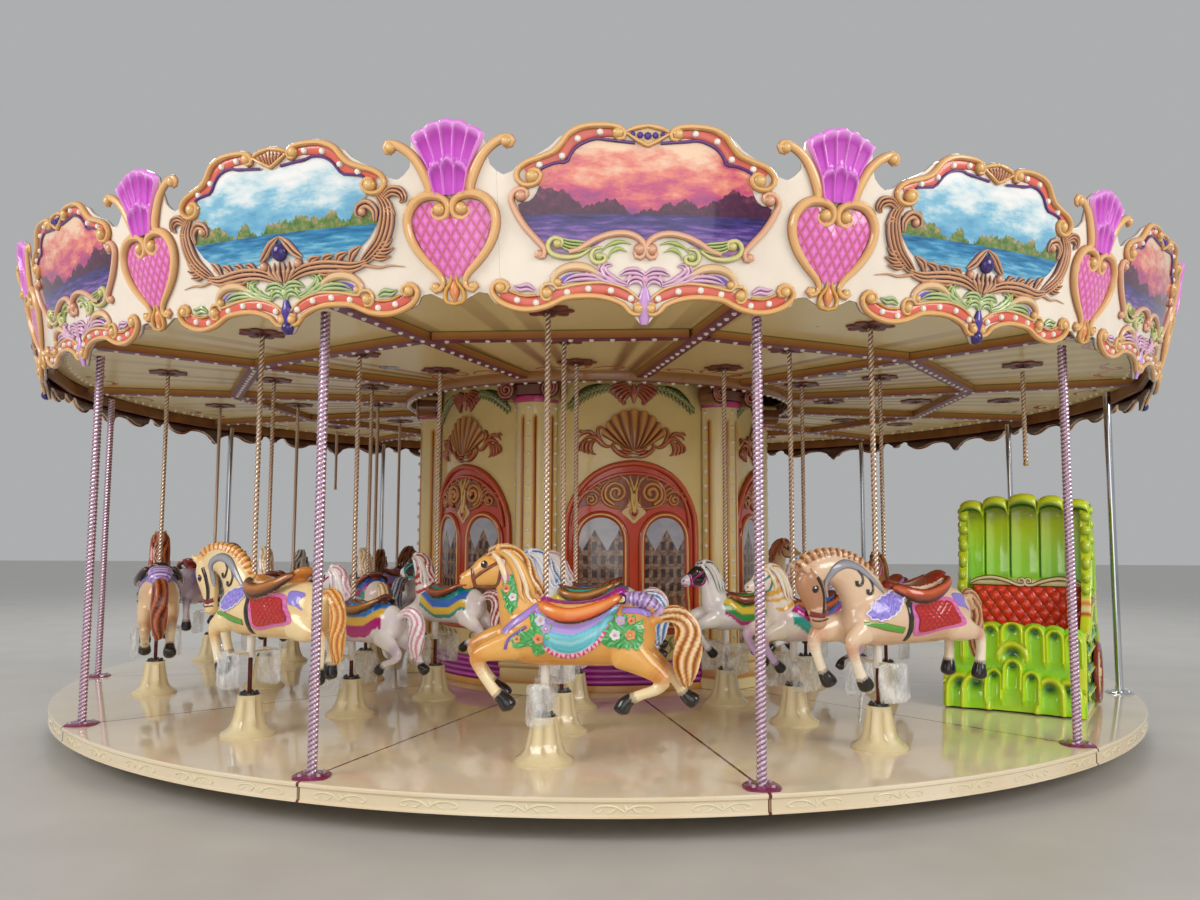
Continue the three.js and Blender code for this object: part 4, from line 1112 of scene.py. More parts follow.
both = [scroll(one, (0.04, 0.06, 0.06, 0.05), *BAND, 0.007, 0.001) for one in (top_band, foot_band)]
both.append(scroll(top_edge, (0.024, 0.03, 0.034, 0.034, 0.03, 0.03, 0.026), *GILT, 0.028))
both.append(scroll(foot_edge, (0.022, 0.028, 0.032, 0.032, 0.032, 0.026), *GILT, 0.025))
both += [
    scroll(foot_line, (0.014, 0.018, 0.018, 0.024), low="#b8703c", high="#f4cc88", height=0.018),
    scroll(lower_line, 0.014),
]
both.append(
    scroll(
        [
            (0.2, 2.495), (0.262, 2.54), (0.33, 2.556), (0.4, 2.546), (0.447, 2.512),
            (0.455, 2.478), (0.432, 2.464),
        ],
        (0.008, 0.03, 0.044, 0.046, 0.042, 0.034, 0.024), "#b0604c", "#f6d2a0", 0.026,
    )
)
shadow = fill(
    [
        (0.12, 2.474), (0.2, 2.49), (0.27, 2.515), (0.34, 2.526), (0.4, 2.512), (0.43, 2.478),
        (0.36, 2.484), (0.25, 2.488),
    ],
    (0.3, 2.5), 0.0, 0.002, 30, 3,
)
both.append((shadow, np.broadcast_to(hue("#8a6ad8"), shadow.shape)))


def knob(x, y, radius, low="#b8702c", high="#f8d088"):
    """The round end of a volute: a dome with painted shade at its foot and a painted highlight on
    its top.
    """
    flat = dome(x, y, radius, radius * 1.05, 5, 14, 0.004)
    return flat, np.broadcast_to(tone(low, high, np.linspace(0, 1, 5)), flat.shape)


def ridged(points, width, low, high, height=0.02, ridges=3):
    """A leaf of ridges side by side: copies of its middle line, moved square to it by even parts of
    a width that swells and thins as a sine, each a bead."""
    points = np.asarray(points, float)
    left = left_of(np.gradient(points, axis=0))
    swell = width * np.sin(np.pi * np.linspace(0.1, 0.97, len(points))) ** 0.7
    broad, made = np.maximum(swell / ridges * 1.08, 0.005), []
    for shift in (np.arange(ridges) - (ridges - 1) / 2) / ridges:
        line, tall = points + left * (swell * shift)[:, None], height * (1 - 0.5 * abs(shift))
        made.append(scroll(line, broad, low, high, tall, 0.004, 5, 2.8))
    return made


both += [
    knob(*one)
    for one in [
        (0.546, 2.972, 0.036), (0.141, 3.166, 0.03), (0.03, 2.361, 0.028), (0.716, 2.462, 0.03),
        (0.484, 2.433, 0.03), (0.43, 2.482, 0.022),
    ]
]
foliage = [
    [(0.004, 2.462), (0.02, 2.49), (0.05, 2.497), (0.076, 2.484), (0.086, 2.462)],
    [(0.086, 2.47), (0.14, 2.487), (0.185, 2.515), (0.205, 2.54), (0.19, 2.565), (0.16, 2.562)],
    [(0.12, 2.478), (0.2, 2.5), (0.255, 2.53), (0.29, 2.556)],
    [(0.0, 2.515), (0.04, 2.535), (0.09, 2.533), (0.125, 2.515)],
    [(0.2, 2.497), (0.29, 2.508), (0.36, 2.5), (0.4, 2.482)],
    [(0.545, 2.445), (0.58, 2.462), (0.62, 2.458), (0.65, 2.47)],
]
type_1, type_2 = [], []
for one in foliage:
    type_1 += ridged(one, 0.042, "#a85a9c", "#f8d4e8", 0.018, 2)
    type_2 += ridged(one, 0.042, "#4f8a44", "#d4dca4", 0.018, 2)
for x, y, lean in (
    (0.17, 2.5, 0.9), (0.2, 2.52, 1.2), (0.235, 2.535, 1.6), (0.14, 2.49, 0.6),
    (0.26, 2.505, 0.3), (0.1, 2.49, 2.2),
):
    line = [
        (x, y), (x + 0.028 * math.cos(lean + 0.3), y + 0.028 * math.sin(lean + 0.3)),
        (x + 0.058 * math.cos(lean), y + 0.058 * math.sin(lean)),
    ]
    type_1.append(scroll(line, (0.01, 0.022, 0.004), "#a85a9c", "#f4c4e0", 0.014))
    type_2.append(scroll(line, (0.01, 0.022, 0.004), "#4f8a3c", "#cfe08a", 0.014))
type_1.append(scroll(top_line, 0.016, "#2a0c3c", "#6a3a86", 0.01, 0.006))
type_1 += [
    scroll(
        [
            (0.587, 2.876), (0.571, 2.898), (0.597, 2.917), (0.634, 2.905), (0.651, 2.868),
            (0.63, 2.812), (0.588, 2.744), (0.528, 2.678), (0.494, 2.638), (0.499, 2.605),
            (0.532, 2.606), (0.527, 2.626),
        ],
        tube, *ROSE, 0.026,
    ),
    scroll(
        [
            (0.043, 2.638), (0.052, 2.608), (0.02, 2.6), (0.003, 2.633), (0.014, 2.671),
            (0.054, 2.699), (0.111, 2.711), (0.18, 2.703), (0.251, 2.678), (0.322, 2.639),
            (0.374, 2.624),
        ],
        tube, *ROSE, 0.026,
    ),
    scroll(
        [
            (0.272, 2.636), (0.324, 2.606), (0.395, 2.599), (0.456, 2.615), (0.477, 2.654),
            (0.45, 2.688), (0.408, 2.68), (0.408, 2.655), (0.43, 2.652),
        ],
        (0.016, 0.03, 0.03, 0.02), "#3c7a2e", "#e6dc98", 0.022,
    ),
    *ridged(
        [(0.27, 2.655), (0.33, 2.65), (0.39, 2.66), (0.43, 2.69)], 0.062, "#3c7a2e", "#dfe0a0",
        0.02, 4,
    ),
    scroll(
        [
            (0.212, 2.644), (0.25, 2.636), (0.266, 2.602), (0.244, 2.575), (0.208, 2.578),
            (0.197, 2.6), (0.216, 2.612),
        ],
        (0.014, 0.026, 0.028, 0.02), "#4f8a3c", "#e6dc98", 0.02,
    ),
    knob(0.227, 2.604, 0.02, "#6a9a4c", "#e6dc98"),
    knob(0.43, 2.662, 0.024, "#8a8a3c", "#f0dc90"), knob(0.604, 2.885, 0.03, *ROSE),
    knob(0.517, 2.613, 0.022, *ROSE), knob(0.03, 2.637, 0.03, *ROSE),
    scroll(
        [(0.07, 2.66), (0.12, 2.672), (0.18, 2.655), (0.215, 2.625)], taper, "#3c7a2e", "#c2d277"
    ),
    scroll([(0.09, 2.625), (0.13, 2.64), (0.17, 2.62), (0.18, 2.59)], taper, "#3c7a2e", "#c2d277"),
]
# The second panel's leaves are dark violet in the grooves between their ridges and rose gold on the
# ridges: painted shade and a painted highlight.
violet, rose_gold = "#3f1a52", "#f6bc88"
type_2.append(
    scroll(
        [
            (0.06, 3.11), (0.208, 3.126), (0.251, 3.135), (0.308, 3.125), (0.354, 3.096),
            (0.401, 3.039), (0.452, 3.029), (0.515, 3.014), (0.531, 2.939),
        ],
        0.016, "#2a0c3c", "#6a3a86", 0.01, 0.006,
    )
)
for line, broad, ridges in [
    (
        [(0.58, 2.93), (0.622, 2.87), (0.62, 2.79), (0.58, 2.7), (0.5, 2.63), (0.46, 2.61)],
        0.085, 4,
    ),
    (
        [
            (0.56, 2.8), (0.563, 2.85), (0.525, 2.885), (0.478, 2.872), (0.468, 2.84),
            (0.49, 2.825),
        ],
        0.05, 2,
    ),
    ([(0.6, 2.9), (0.65, 2.935), (0.7, 2.928), (0.716, 2.895), (0.695, 2.88)], 0.056, 3),
    ([(0.6, 2.84), (0.645, 2.85), (0.668, 2.82)], 0.036, 2),
    ([(0.56, 2.69), (0.61, 2.69), (0.645, 2.715)], 0.036, 2),
    ([(0.54, 2.66), (0.6, 2.655), (0.65, 2.67)], 0.036, 2),
    ([(0.52, 2.64), (0.57, 2.625), (0.63, 2.63)], 0.034, 2),
    (
        [
            (0.5, 2.61), (0.42, 2.592), (0.33, 2.6), (0.24, 2.606), (0.14, 2.598), (0.06, 2.57),
            (0.01, 2.54),
        ],
        0.07, 3,
    ),
    ([(0.16, 2.61), (0.19, 2.645), (0.235, 2.655)], 0.04, 2),
    ([(0.24, 2.615), (0.27, 2.648), (0.315, 2.658)], 0.04, 2),
    ([(0.32, 2.612), (0.35, 2.65), (0.395, 2.665)], 0.042, 2),
    ([(0.4, 2.612), (0.425, 2.66), (0.47, 2.69)], 0.046, 2),
    ([(0.2, 2.59), (0.26, 2.572), (0.31, 2.582)], 0.034, 2),
    ([(0.32, 2.59), (0.38, 2.568), (0.44, 2.578)], 0.034, 2),
    ([(0.008, 2.55), (0.018, 2.6), (0.012, 2.65)], 0.028, 1),
    ([(0.02, 2.555), (0.045, 2.605), (0.045, 2.648)], 0.028, 1),
    ([(0.035, 2.56), (0.075, 2.6), (0.08, 2.64)], 0.028, 1),
    ([(0.13, 2.66), (0.09, 2.69), (0.05, 2.735), (0.0, 2.775)], 0.05, 2),
]:
    type_2 += ridged(line, broad, violet, rose_gold, 0.026, ridges)
type_2.append(
    scroll(
        [(0.47, 2.6), (0.56, 2.582), (0.62, 2.588), (0.7, 2.578)], (0.02, 0.016, 0.01, 0.004),
        "#8c5a44", "#e0b088", 0.012,
    )
)
type_2 += [
    knob(0.105, 2.634, 0.026, "#7a3a4c", rose_gold),
    knob(0.496, 2.85, 0.024, "#7a3a4c", rose_gold),
]
BULB = 0.017
type_1 += [
    stud(x, y, BULB) for x, y in [(0.225, 3.17), (0.33, 3.14), (0.404, 3.062), (0.512, 3.024)]
]
type_2 += [
    stud(x, y, BULB) for x, y in [(0.205, 3.166), (0.305, 3.152), (0.394, 3.082), (0.488, 3.038)]
]
both += [
    stud(x, y, BULB)
    for x, y in [
        (0.068, 2.408), (0.168, 2.444), (0.28, 2.452), (0.385, 2.436), (0.54, 2.388),
        (0.635, 2.402),
    ]
]


def pendant(low, high):
    """The leaf at a panel's foot: a straight ridge that swells and thins again."""
    line = [(0.0, 2.47), (0.0, 2.42), (0.0, 2.35), (0.0, 2.286)]
    return scroll(line, (0.02, 0.07, 0.07, 0.04), low, high, 0.022)


palmette = [scroll([(0.1, 3.175), (0.055, 3.19), (0.0, 3.2)], (0.018, 0.028, 0.02), *GILT, 0.02)]
palmette.append(
    scroll([(0.1, 3.165), (0.05, 3.135), (0.0, 3.11)], (0.016, 0.022, 0.02), *GILT, 0.02)
)
berries = [stud(0.036, 3.158, 0.016, "#4a2a9c"), stud(0.07, 3.163, 0.012, "#4a2a9c")]
PALM = ("#4a1f44", "#dc9c78", 0.018, 0.006, 6, 1.4)
type_1 += both + palmette + berries
type_2 += both + palmette
for x in (0.022, 0.045, 0.07):
    type_2.append(
        scroll([(0.7 * x, 3.124 + 0.25 * x), (x, 3.186 - 0.2 * x)], (0.012, 0.022, 0.008), *PALM)
    )
gold_plate = fill(
    whole([(0.0, 3.2), (0.055, 3.19), (0.1, 3.172), (0.05, 3.14), (0.0, 3.115)]), (0, 3.16),
    0.004, 0.004, 30, 3,
)
middle_1 = [
    pendant("#7a3a9c", "#d9a6e2"), stud(0.0, 3.155, 0.019, "#4a2a9c"),
    stud(0.0, 2.498, 0.018, "#f0b4cc"),
]
middle_2 = [
    pendant("#241450", "#5a3f9c"),
    scroll([(0.0, 3.122), (0.0, 3.19)], (0.012, 0.024, 0.008), *PALM),
    stud(0.0, 2.498, 0.018, "#cfe0a0"),
]
middle_2 += [
    (dome(0.0, y, radius, 0.034, 5, 16, 0.01), "#34206e")
    for y, radius in ((2.321, 0.036), (2.696, 0.047))
]

heart = [
    scroll(
        [
            (0.088, 2.842), (0.092, 2.812), (0.058, 2.79), (0.022, 2.806), (0.01, 2.85),
            (0.036, 2.888), (0.1, 2.903), (0.165, 2.885), (0.212, 2.83), (0.222, 2.755),
            (0.192, 2.67), (0.135, 2.595), (0.08, 2.54), (0.055, 2.498), (0.066, 2.468),
            (0.098, 2.456), (0.114, 2.474), (0.1, 2.486),
        ],
        (0.022, 0.034, 0.042, 0.05, 0.052, 0.05, 0.048, 0.044, 0.038, 0.03, 0.034), "#a05a30",
        "#f6c484", 0.034,
    ),
    knob(0.056, 2.836, 0.034), knob(0.095, 2.474, 0.022), knob(0.285, 3.135, 0.03),
    scroll(
        [
            (0.1, 2.9), (0.1, 2.94), (0.118, 2.99), (0.158, 3.064), (0.206, 3.115),
            (0.262, 3.147), (0.302, 3.15), (0.312, 3.13), (0.292, 3.115), (0.278, 3.13),
        ],
        (0.05, 0.056, 0.052, 0.048, 0.046, 0.042, 0.03), "#a05a30", "#f6c484", 0.026,
    ),
    scroll(
        [(-0.012, 2.53), (-0.018, 2.494), (-0.046, 2.451), (-0.044, 2.405), (0.0, 2.39)],
        (0.014, 0.022, 0.024, 0.018), height=0.02,
    ),
]
insert = bead(
    [(0.0, 2.51), (0.0, 2.47), (0.0, 2.43), (0.0, 2.405)], (0.01, 0.05, 0.056, 0.02), 0.022, 12,
    6,
)
heart_inside = whole([(0.0, 2.806), (0.05, 2.832), (0.094, 2.872), (0.164, 2.851), (0.199, 2.785),
                      (0.18, 2.706), (0.137, 2.627), (0.086, 2.565), (0.046, 2.526), (0.0, 2.505)])
FAN_FOOT = 2.9
across, up = np.linspace(-1, 1, 97)[:, None], np.linspace(0, 1, 34)
flare = np.interp(up, [0, 0.12, 0.42, 0.5, 0.8, 1], [0.07, 0.082, 0.1, 0.11, 0.155, 0.185])
outer_lobe = np.abs(np.cos(2.5 * np.pi * across)) ** 0.5
inner_lobe = np.abs(np.cos(1.5 * np.pi * across)) ** 0.5
fan_top = 3.167 + 0.072 * np.cos(across * np.pi / 2) + 0.015 * outer_lobe
step = 0.4 + 0.1 * inner_lobe * np.cos(across * np.pi / 2) ** 0.5
lower = np.clip((step - up) / 0.02, 0, 1)
lobe = lower * inner_lobe + (1 - lower) * outer_lobe
rim = np.exp(-(((up - step + 0.03) / 0.035) ** 2)) + np.exp(-(((up - 0.94) / 0.05) ** 2))
rim = rim + np.exp(-((lobe / 0.42) ** 4)) * 0.85 + np.clip((np.abs(across) - 0.9) / 0.06, 0, 1)
rim = np.clip(rim, 0, 1)
edges = np.clip((1 - np.abs(across)) / 0.04, 0, 1) * np.clip((1 - up) / 0.03, 0, 1)
raised = 0.004 + edges * (0.016 * rim + 0.012 * lower + 0.008)
fan = grid(across * flare, FAN_FOOT + (fan_top - FAN_FOOT) * up, raised)
# The fan is painted lighter on its rims and dark magenta in the hollows of its lobes: a painted
# highlight and painted shade.
hollow = np.clip(1 - np.abs(up - np.where(lower > 0.5, step - 0.12, 0.8)) / 0.22, 0, 1) * (1 - rim)
fan_paint = tone(tone("#de5cdc", "#f6a4f4", rim), "#a81c9c", 0.6 * hollow)

board_top = [
    (0, 3.243), (0.9, 3.234), (1.6, 3.207), (2.16, 3.17), (2.2, 3.05), (2.72, 3.005),
    (3.13, 2.985), (3.66, 3.0), (4.19, 3.04), (5.23, 3.079), (5.85, 3.11), (6.27, 3.147),
    (7.29, 3.187), (8.6, 3.202), (9.61, 3.181), (9.96, 3.15), (10.32, 3.16), (11.25, 3.179),
]
board_foot = [(0, 2.385), (0.87, 2.42), (1.45, 2.444), (2.09, 2.437), (2.25, 2.4), (2.83, 2.374),
              (4.13, 2.354), (5.33, 2.369), (6.09, 2.397), (7.49, 2.416), (8.88, 2.407),
              (10.17, 2.365), (10.71, 2.319), (11.0, 2.29), (11.25, 2.284)]
FIRST_HEART, FIRST_PANEL = -8.58, 2.67

lattice = Finish("heart_lattice", Roughness=0.25, Coat_Weight=0.5)
across, rise = lattice.axes(lattice.spot())
rightward = ((across * 1.6 + rise) * (1 / LATTICE)).fold(0.5)
leftward = ((rise - across * 1.6) * (1 / LATTICE) + 90.0).fold(0.5)
ridge = rightward.math("MINIMUM", rightward, leftward)
# Each cushion of the lattice is painted lighter in its middle and darker towards the raised seams:
# a painted highlight and painted shade.
padding = lattice.mix(ridge.soft(0.1, 0.5), "#ea6cc4", "#fa9ce2")
lattice.set(
    Base_Color=lattice.mix(ridge.soft(0.07, 0.03), padding, "#e07a64"),
    Normal=lattice.bump(ridge.soft(0.1, 0.03), 0.004, 0.8),
)


def picture(name, sky_stops, water_stops, far_stops, line, land_height, seed):
    """A generic painted view for a plate whose spot holds (x, height): sky with clouds over a
    broken line of land, and water with level streaks below the waterline."""
    made = Finish(name, Roughness=0.18, Coat_Weight=0.6)
    spot = made.spot()
    x, y = made.axes(spot)
    place = {"Vector": spot, "Location": (seed, seed * 0.7, 0)}
    shifted = made.node("ShaderNodeMapping", {}, place)
    clouds = made.noise(shifted, 5.0, 8.0, (1, 2.2, 1), 0.62)
    sky = made.ramp(clouds * 0.9 + y.soft(line, 3.14) * 0.45 - 0.18, sky_stops)
    streaks = made.noise(shifted, 7.0, 7.0, (1, 7, 1), 0.6)
    water = made.ramp(streaks * 0.8 + y.soft(line, 2.62) * 0.3 - 0.05, water_stops)
    hills = made.noise(shifted, 4.5, 6.0, (1, 0.15, 1), 0.62)
    crags = made.noise(shifted, 26.0, 6.0, roughness=0.7)
    far = made.ramp(crags * 0.8 + (y - line) * 1.2, far_stops)
    skyline = (hills - 0.38) * land_height + (x * x) * (land_height * 0.55) + line
    view = made.mix(((skyline - y) * 220.0).soft(0, 1), sky, far)
    made.set(Base_Color=made.mix(((y * -1.0 + line) * 260.0).soft(0, 1), view, water))
    return made


def lay(parts, ornaments, angles, mirrored=True):
    """Adds ornaments (flat grid, paint) to the boards, with or without their mirror images."""
    for flat, paint in ornaments:
        parts.append(sheet(on_board(flat, angles), paint, 0, closing(flat)))
        if mirrored:
            parts.append(sheet(on_board(flipped(flat), angles), paint[::-1], 0, closing(flat)))


sunset = picture(
    "sunset_picture",
    [(0.18, "#7a3a86"), (0.4, "#d4527e"), (0.52, "#f28c7a"), (0.68, "#ffd9b8")],
    [(0.25, "#1c1646"), (0.45, "#4a3a8c"), (0.62, "#9a6ab8"), (0.78, "#f0a8b0")],
    [(0.25, "#2a1030"), (0.5, "#5a2448"), (0.8, "#a85a6a")], 2.8, 0.36, 3.1,
)
lakeside = picture(
    "lakeside_picture",
    [(0.2, "#4f9fd0"), (0.42, "#8fcbe6"), (0.56, "#dff1f6"), (0.7, "#ffffff")],
    [(0.25, "#1c5a8c"), (0.45, "#3f93c4"), (0.65, "#8fd0e6"), (0.8, "#e4f4f4")],
    [(0.25, "#2f5a3a"), (0.42, "#6f8f4a"), (0.55, "#b9a07a"), (0.66, "#e9e2cc"), (0.8, "#9a5a44")],
    2.79, 0.42, 8.4,
)
picture_1 = whole(
    [
        (0, 3.1), (0.045, 3.115), (0.102, 3.13), (0.188, 3.132), (0.236, 3.138), (0.285, 3.126),
        (0.334, 3.101), (0.365, 3.065), (0.381, 3.034), (0.436, 3.032), (0.507, 3.004),
        (0.515, 2.928), (0.555, 2.865), (0.62, 2.845), (0.572, 2.753), (0.504, 2.674),
        (0.475, 2.645), (0.375, 2.61), (0.252, 2.65), (0.171, 2.692), (0.091, 2.705), (0, 2.671),
    ]
)
picture_2 = whole(
    [
        (0, 3.094), (0.112, 3.117), (0.187, 3.11), (0.251, 3.132), (0.308, 3.125), (0.354, 3.096),
        (0.401, 3.039), (0.515, 3.014), (0.531, 2.939), (0.51, 2.892), (0.57, 2.811),
        (0.536, 2.749), (0.491, 2.703), (0.387, 2.65), (0.119, 2.65), (0, 2.7),
    ]
)
quarters = ["front_right", "rear_right", "rear_left", "front_left"]
for turned, name in enumerate(quarters):
    board = np.radians(FIRST_HEART + 2.75 + 90 * turned + np.linspace(0.004, 89.996, 481))
    fold = np.abs((np.degrees(board) - FIRST_HEART + 11.25) % 22.5 - 11.25)
    low = np.interp(fold, *np.transpose(board_foot))[:, None]
    high = np.interp(fold, *np.transpose(board_top))[:, None]
    front = grid(0.0, low + (high - low) * np.linspace(0, 1, 3), 0.0)
    rear = front[:, ::-1] - (0, 0, BOARD_THICK)
    board_paint = bands(*[PANEL_CREAM] * 3, *["#43161f"] * 3)
    parts = [sheet(on_board(np.concatenate([front, rear], 1), board[:, None]), board_paint, 0, "c")]
    panels = np.radians(FIRST_PANEL + 90 * turned + np.array([0, 45, 22.5, 67.5]))[:, None, None]
    hearts = np.radians(FIRST_HEART + 90 * turned + 22.5 * np.arange(1, 5))[:, None, None]
    for angles, half, middle, outline, centre, finish in [
        (panels[:2], type_1, middle_1, picture_1, 2.88, 1),
        (panels[2:], type_2, middle_2, picture_2, 2.9, 2),
    ]:
        lay(parts, half, angles)
        lay(parts, middle + [(gold_plate, "#e8c888")], angles, False)
        view = fill(outline, (0, centre), 0.0, 0.005, 110, 6)
        parts.append(sheet(on_board(view, angles), "#ffffff", finish, "r", view[..., :2]))
    lay(parts, heart, hearts)
    lay(parts, [(insert, crest("#c8452f", "#f0a060", 12, 6)), (fan, fan_paint)], hearts, False)
    padded = fill(heart_inside, (0, 2.72), 0.014, 0.008, 80, 8)
    parts.append(sheet(on_board(padded, hearts), "#ffffff", 3, "r", padded[..., :2]))
    skin(
        "crown_" + name, parts, [gloss, sunset, lakeside, lattice], replaces=["fascia_" + name],
        slot="fascia_paint",
    )

# Roof: a low cone of sixteen glass-fibre gores with raised joints and a small cap, on the ring
# that also carries the boards. The photograph hides it, so it is kept plain.

wear("crown_ring", weathered("ring_ochre", "#7a4a24", "#9c6a38", 4.0, Roughness=0.5))
SHELL_THICK, EAVE_POINT = 0.024, 12


def cone_top(radius):
    """The cone's height over the deck, which falls evenly from the middle to the eave."""
    return 2.951 + 0.95 * (1 - radius / 4.835)


reach = np.array(
    [0.0, 0.06, 0.3, 0.36, 0.38, 0.9, 1.6, 2.4, 3.2, 4.0, 4.7, 4.8, 4.8, 3.2, 1.6, 0.02, 0.0]
)
under = np.arange(len(reach)) >= EAVE_POINT
height = cone_top(reach) - SHELL_THICK * under
height[:4] = [4.195, 4.19, 4.05, 3.9]
turn = around(256)[:, None]
joint = np.abs((turn * 8 / np.pi + 0.5) % 1 - 0.5)
rib = 0.014 * np.exp(-((joint / 0.035) ** 2)) * (reach > 0.37) * (reach < 4.75) * ~under
shell = at(reach, turn + math.radians(FIRST_HEART), DECK + height + rib)[:, ::-1]
roof_paint = tone("#efe2bc", "#c9b68a", np.clip(1 - joint / 0.12, 0, 1) * 0.35)
roof_skin = airbrushed("roof_skin", 0.45, 0.1, 0.08, 0.1)
skin(
    "roof_gores", [sheet(shell, roof_paint, 0, "r")], [roof_skin], replaces=["roof"],
    slot="roof_paint",
)

# Horses: hollow moulded bodies, airbrushed and lacquered, each on a twisted brass pole whose
# sleeve slides on the guide rod. Saddle, blanket and harness are moulded on and painted.

MAP_CORNER, MAP_CELL, MAP_SIZE = (0.95, 0.35), 0.008, (210, 140)
STROKE, HOOF, SMALL = 0.1, "#141010", 0.79


def limb(stations, count=26, steps=20):
    """A tube along a smooth path through stations (x, y, z, half width, half depth): every ring is
    an ellipse square to the path, and both ends round off like a quarter circle."""
    path = through(stations, count)
    along = np.gradient(path[:, :3], axis=0)
    along /= np.linalg.norm(along, axis=1, keepdims=True)
    side = np.array([0.0, 1.0, 0.0]) - along * along[:, 1:2]
    side /= np.linalg.norm(side, axis=1, keepdims=True)
    deep = np.cross(side, along)
    run = np.append(0, np.cumsum(np.linalg.norm(np.diff(path[:, :3], axis=0), axis=1)))
    near_end = np.minimum(run, run[-1] - run) / (0.7 * path[:, 3:].min(axis=1))
    path[:, 3:] *= np.sqrt(1 - (1 - np.clip(near_end, 0, 1)) ** 2)[:, None]
    turn = around(steps)[None, :, None]
    wide, thick = path[:, 3:4, None], path[:, 4:5, None]
    ring = (
        path[:, None, :3] + side[:, None] * wide * np.cos(turn)
        + deep[:, None] * thick * np.sin(turn)
    )
    radius = np.maximum(path[:, 3:].mean(axis=1), 0.012)
    return ring, {"path": path[:, :3], "side": side, "deep": deep, "radius": radius}


def both_sides(stations):
    """A tube's stations and their mirror image across the horse."""
    return stations, [(x, -y, *rest) for x, y, *rest in stations]


def sculpt(name, tubes, grain):
    """Fuses tubes into one skin of even quads by Voxel Remesh and Smooth. Every point then learns
    its nearest tube, its share along it and its place round it, and a map learns how far out the
    side lies: the mean of its points in each cell, spread to the neighbours."""
    shapes = {part: limb(stations) for part, stations in tubes.items()}
    lump = bpy.data.meshes.new(name)
    points = np.concatenate([ring.reshape(-1, 3) for ring, _ in shapes.values()])
    faces, start = [], 0
    for ring, _ in shapes.values():
        faces.append(mesh_grid(sheet(ring, wrap="c")) + start)
        start += ring.shape[0] * ring.shape[1]
    lump.from_pydata(points.tolist(), [], np.concatenate(faces).tolist())
    weld(lump, 1e-4)
    holder = bpy.data.objects.new(name, lump)
    bpy.context.scene.collection.objects.link(holder)
    fuse = holder.modifiers.new("fuse", "REMESH")
    fuse.mode, fuse.voxel_size = "VOXEL", grain
    ease = holder.modifiers.new("ease", "SMOOTH")
    ease.factor, ease.iterations = 0.5, 5
    made = bpy.data.meshes.new_from_object(
        holder.evaluated_get(bpy.context.evaluated_depsgraph_get())
    )
    count = len(made.vertices)
    flat, normal = np.empty(count * 3), np.empty(count * 3)
    made.vertices.foreach_get("co", flat)
    made.vertices.foreach_get("normal", normal)
    corner = np.empty(len(made.loops), int)
    made.loops.foreach_get("vertex_index", corner)
    flat, normal = flat.reshape(-1, 3), normal.reshape(-1, 3)
    bpy.data.objects.remove(holder)
    bpy.data.meshes.remove(made)
    best, form = np.full(count, 1e9), {"quads": corner.reshape(-1, 4), "normal": normal}
    part, share, turn = np.zeros(count, int), np.zeros(count), np.zeros(count)
    for index, (_, tube) in enumerate(shapes.values()):
        gap = flat[:, None] - tube["path"][None]
        reach = np.linalg.norm(gap, axis=2) / tube["radius"][None]
        nearest, row = reach.argmin(axis=1), np.arange(count)
        closer = reach[row, nearest] < best
        best = np.where(closer, reach[row, nearest], best)
        offset = gap[row, nearest]
        lateral = (offset * tube["side"][nearest]).sum(axis=1)
        vertical = (offset * tube["deep"][nearest]).sum(axis=1)
        part[closer] = index
        share[closer] = (nearest / (len(tube["path"]) - 1))[closer]
        turn[closer] = np.arctan2(vertical, lateral)[closer]
    names = list(tubes)
    form["share"], form["part"] = share, {one: part == names.index(one) for one in names}
    hair = form["part"]["mane"] | form["part"]["tail"]
    fan = 44 * np.arctan2(flat[:, 2] - 0.25, flat[:, 0] - 0.3)
    wave = 7 * turn + 2.6 * np.sin(11 * share) + 4 * share
    form["strand"] = np.sin(np.where(form["part"]["mane"] & (name == "arched"), fan, wave))
    form["points"] = flat + normal * (hair * 0.005 * form["strand"])[:, None]
    cells = np.floor((flat[:, [0, 2]] + MAP_CORNER) / MAP_CELL).astype(int)
    outer = (flat[:, 1] > 0) & (normal[:, 1] > 0.25)
    total, weight = np.zeros(MAP_SIZE), np.zeros(MAP_SIZE)
    np.add.at(total, tuple(cells[outer].T), flat[outer, 1])
    np.add.at(weight, tuple(cells[outer].T), 1.0)
    for _ in range(3):
        for axis in (0, 1):
            total = total + 0.5 * (np.roll(total, 1, axis) + np.roll(total, -1, axis))
            weight = weight + 0.5 * (np.roll(weight, 1, axis) + np.roll(weight, -1, axis))
    form["flank"] = total / np.maximum(weight, 1e-6)
    return form


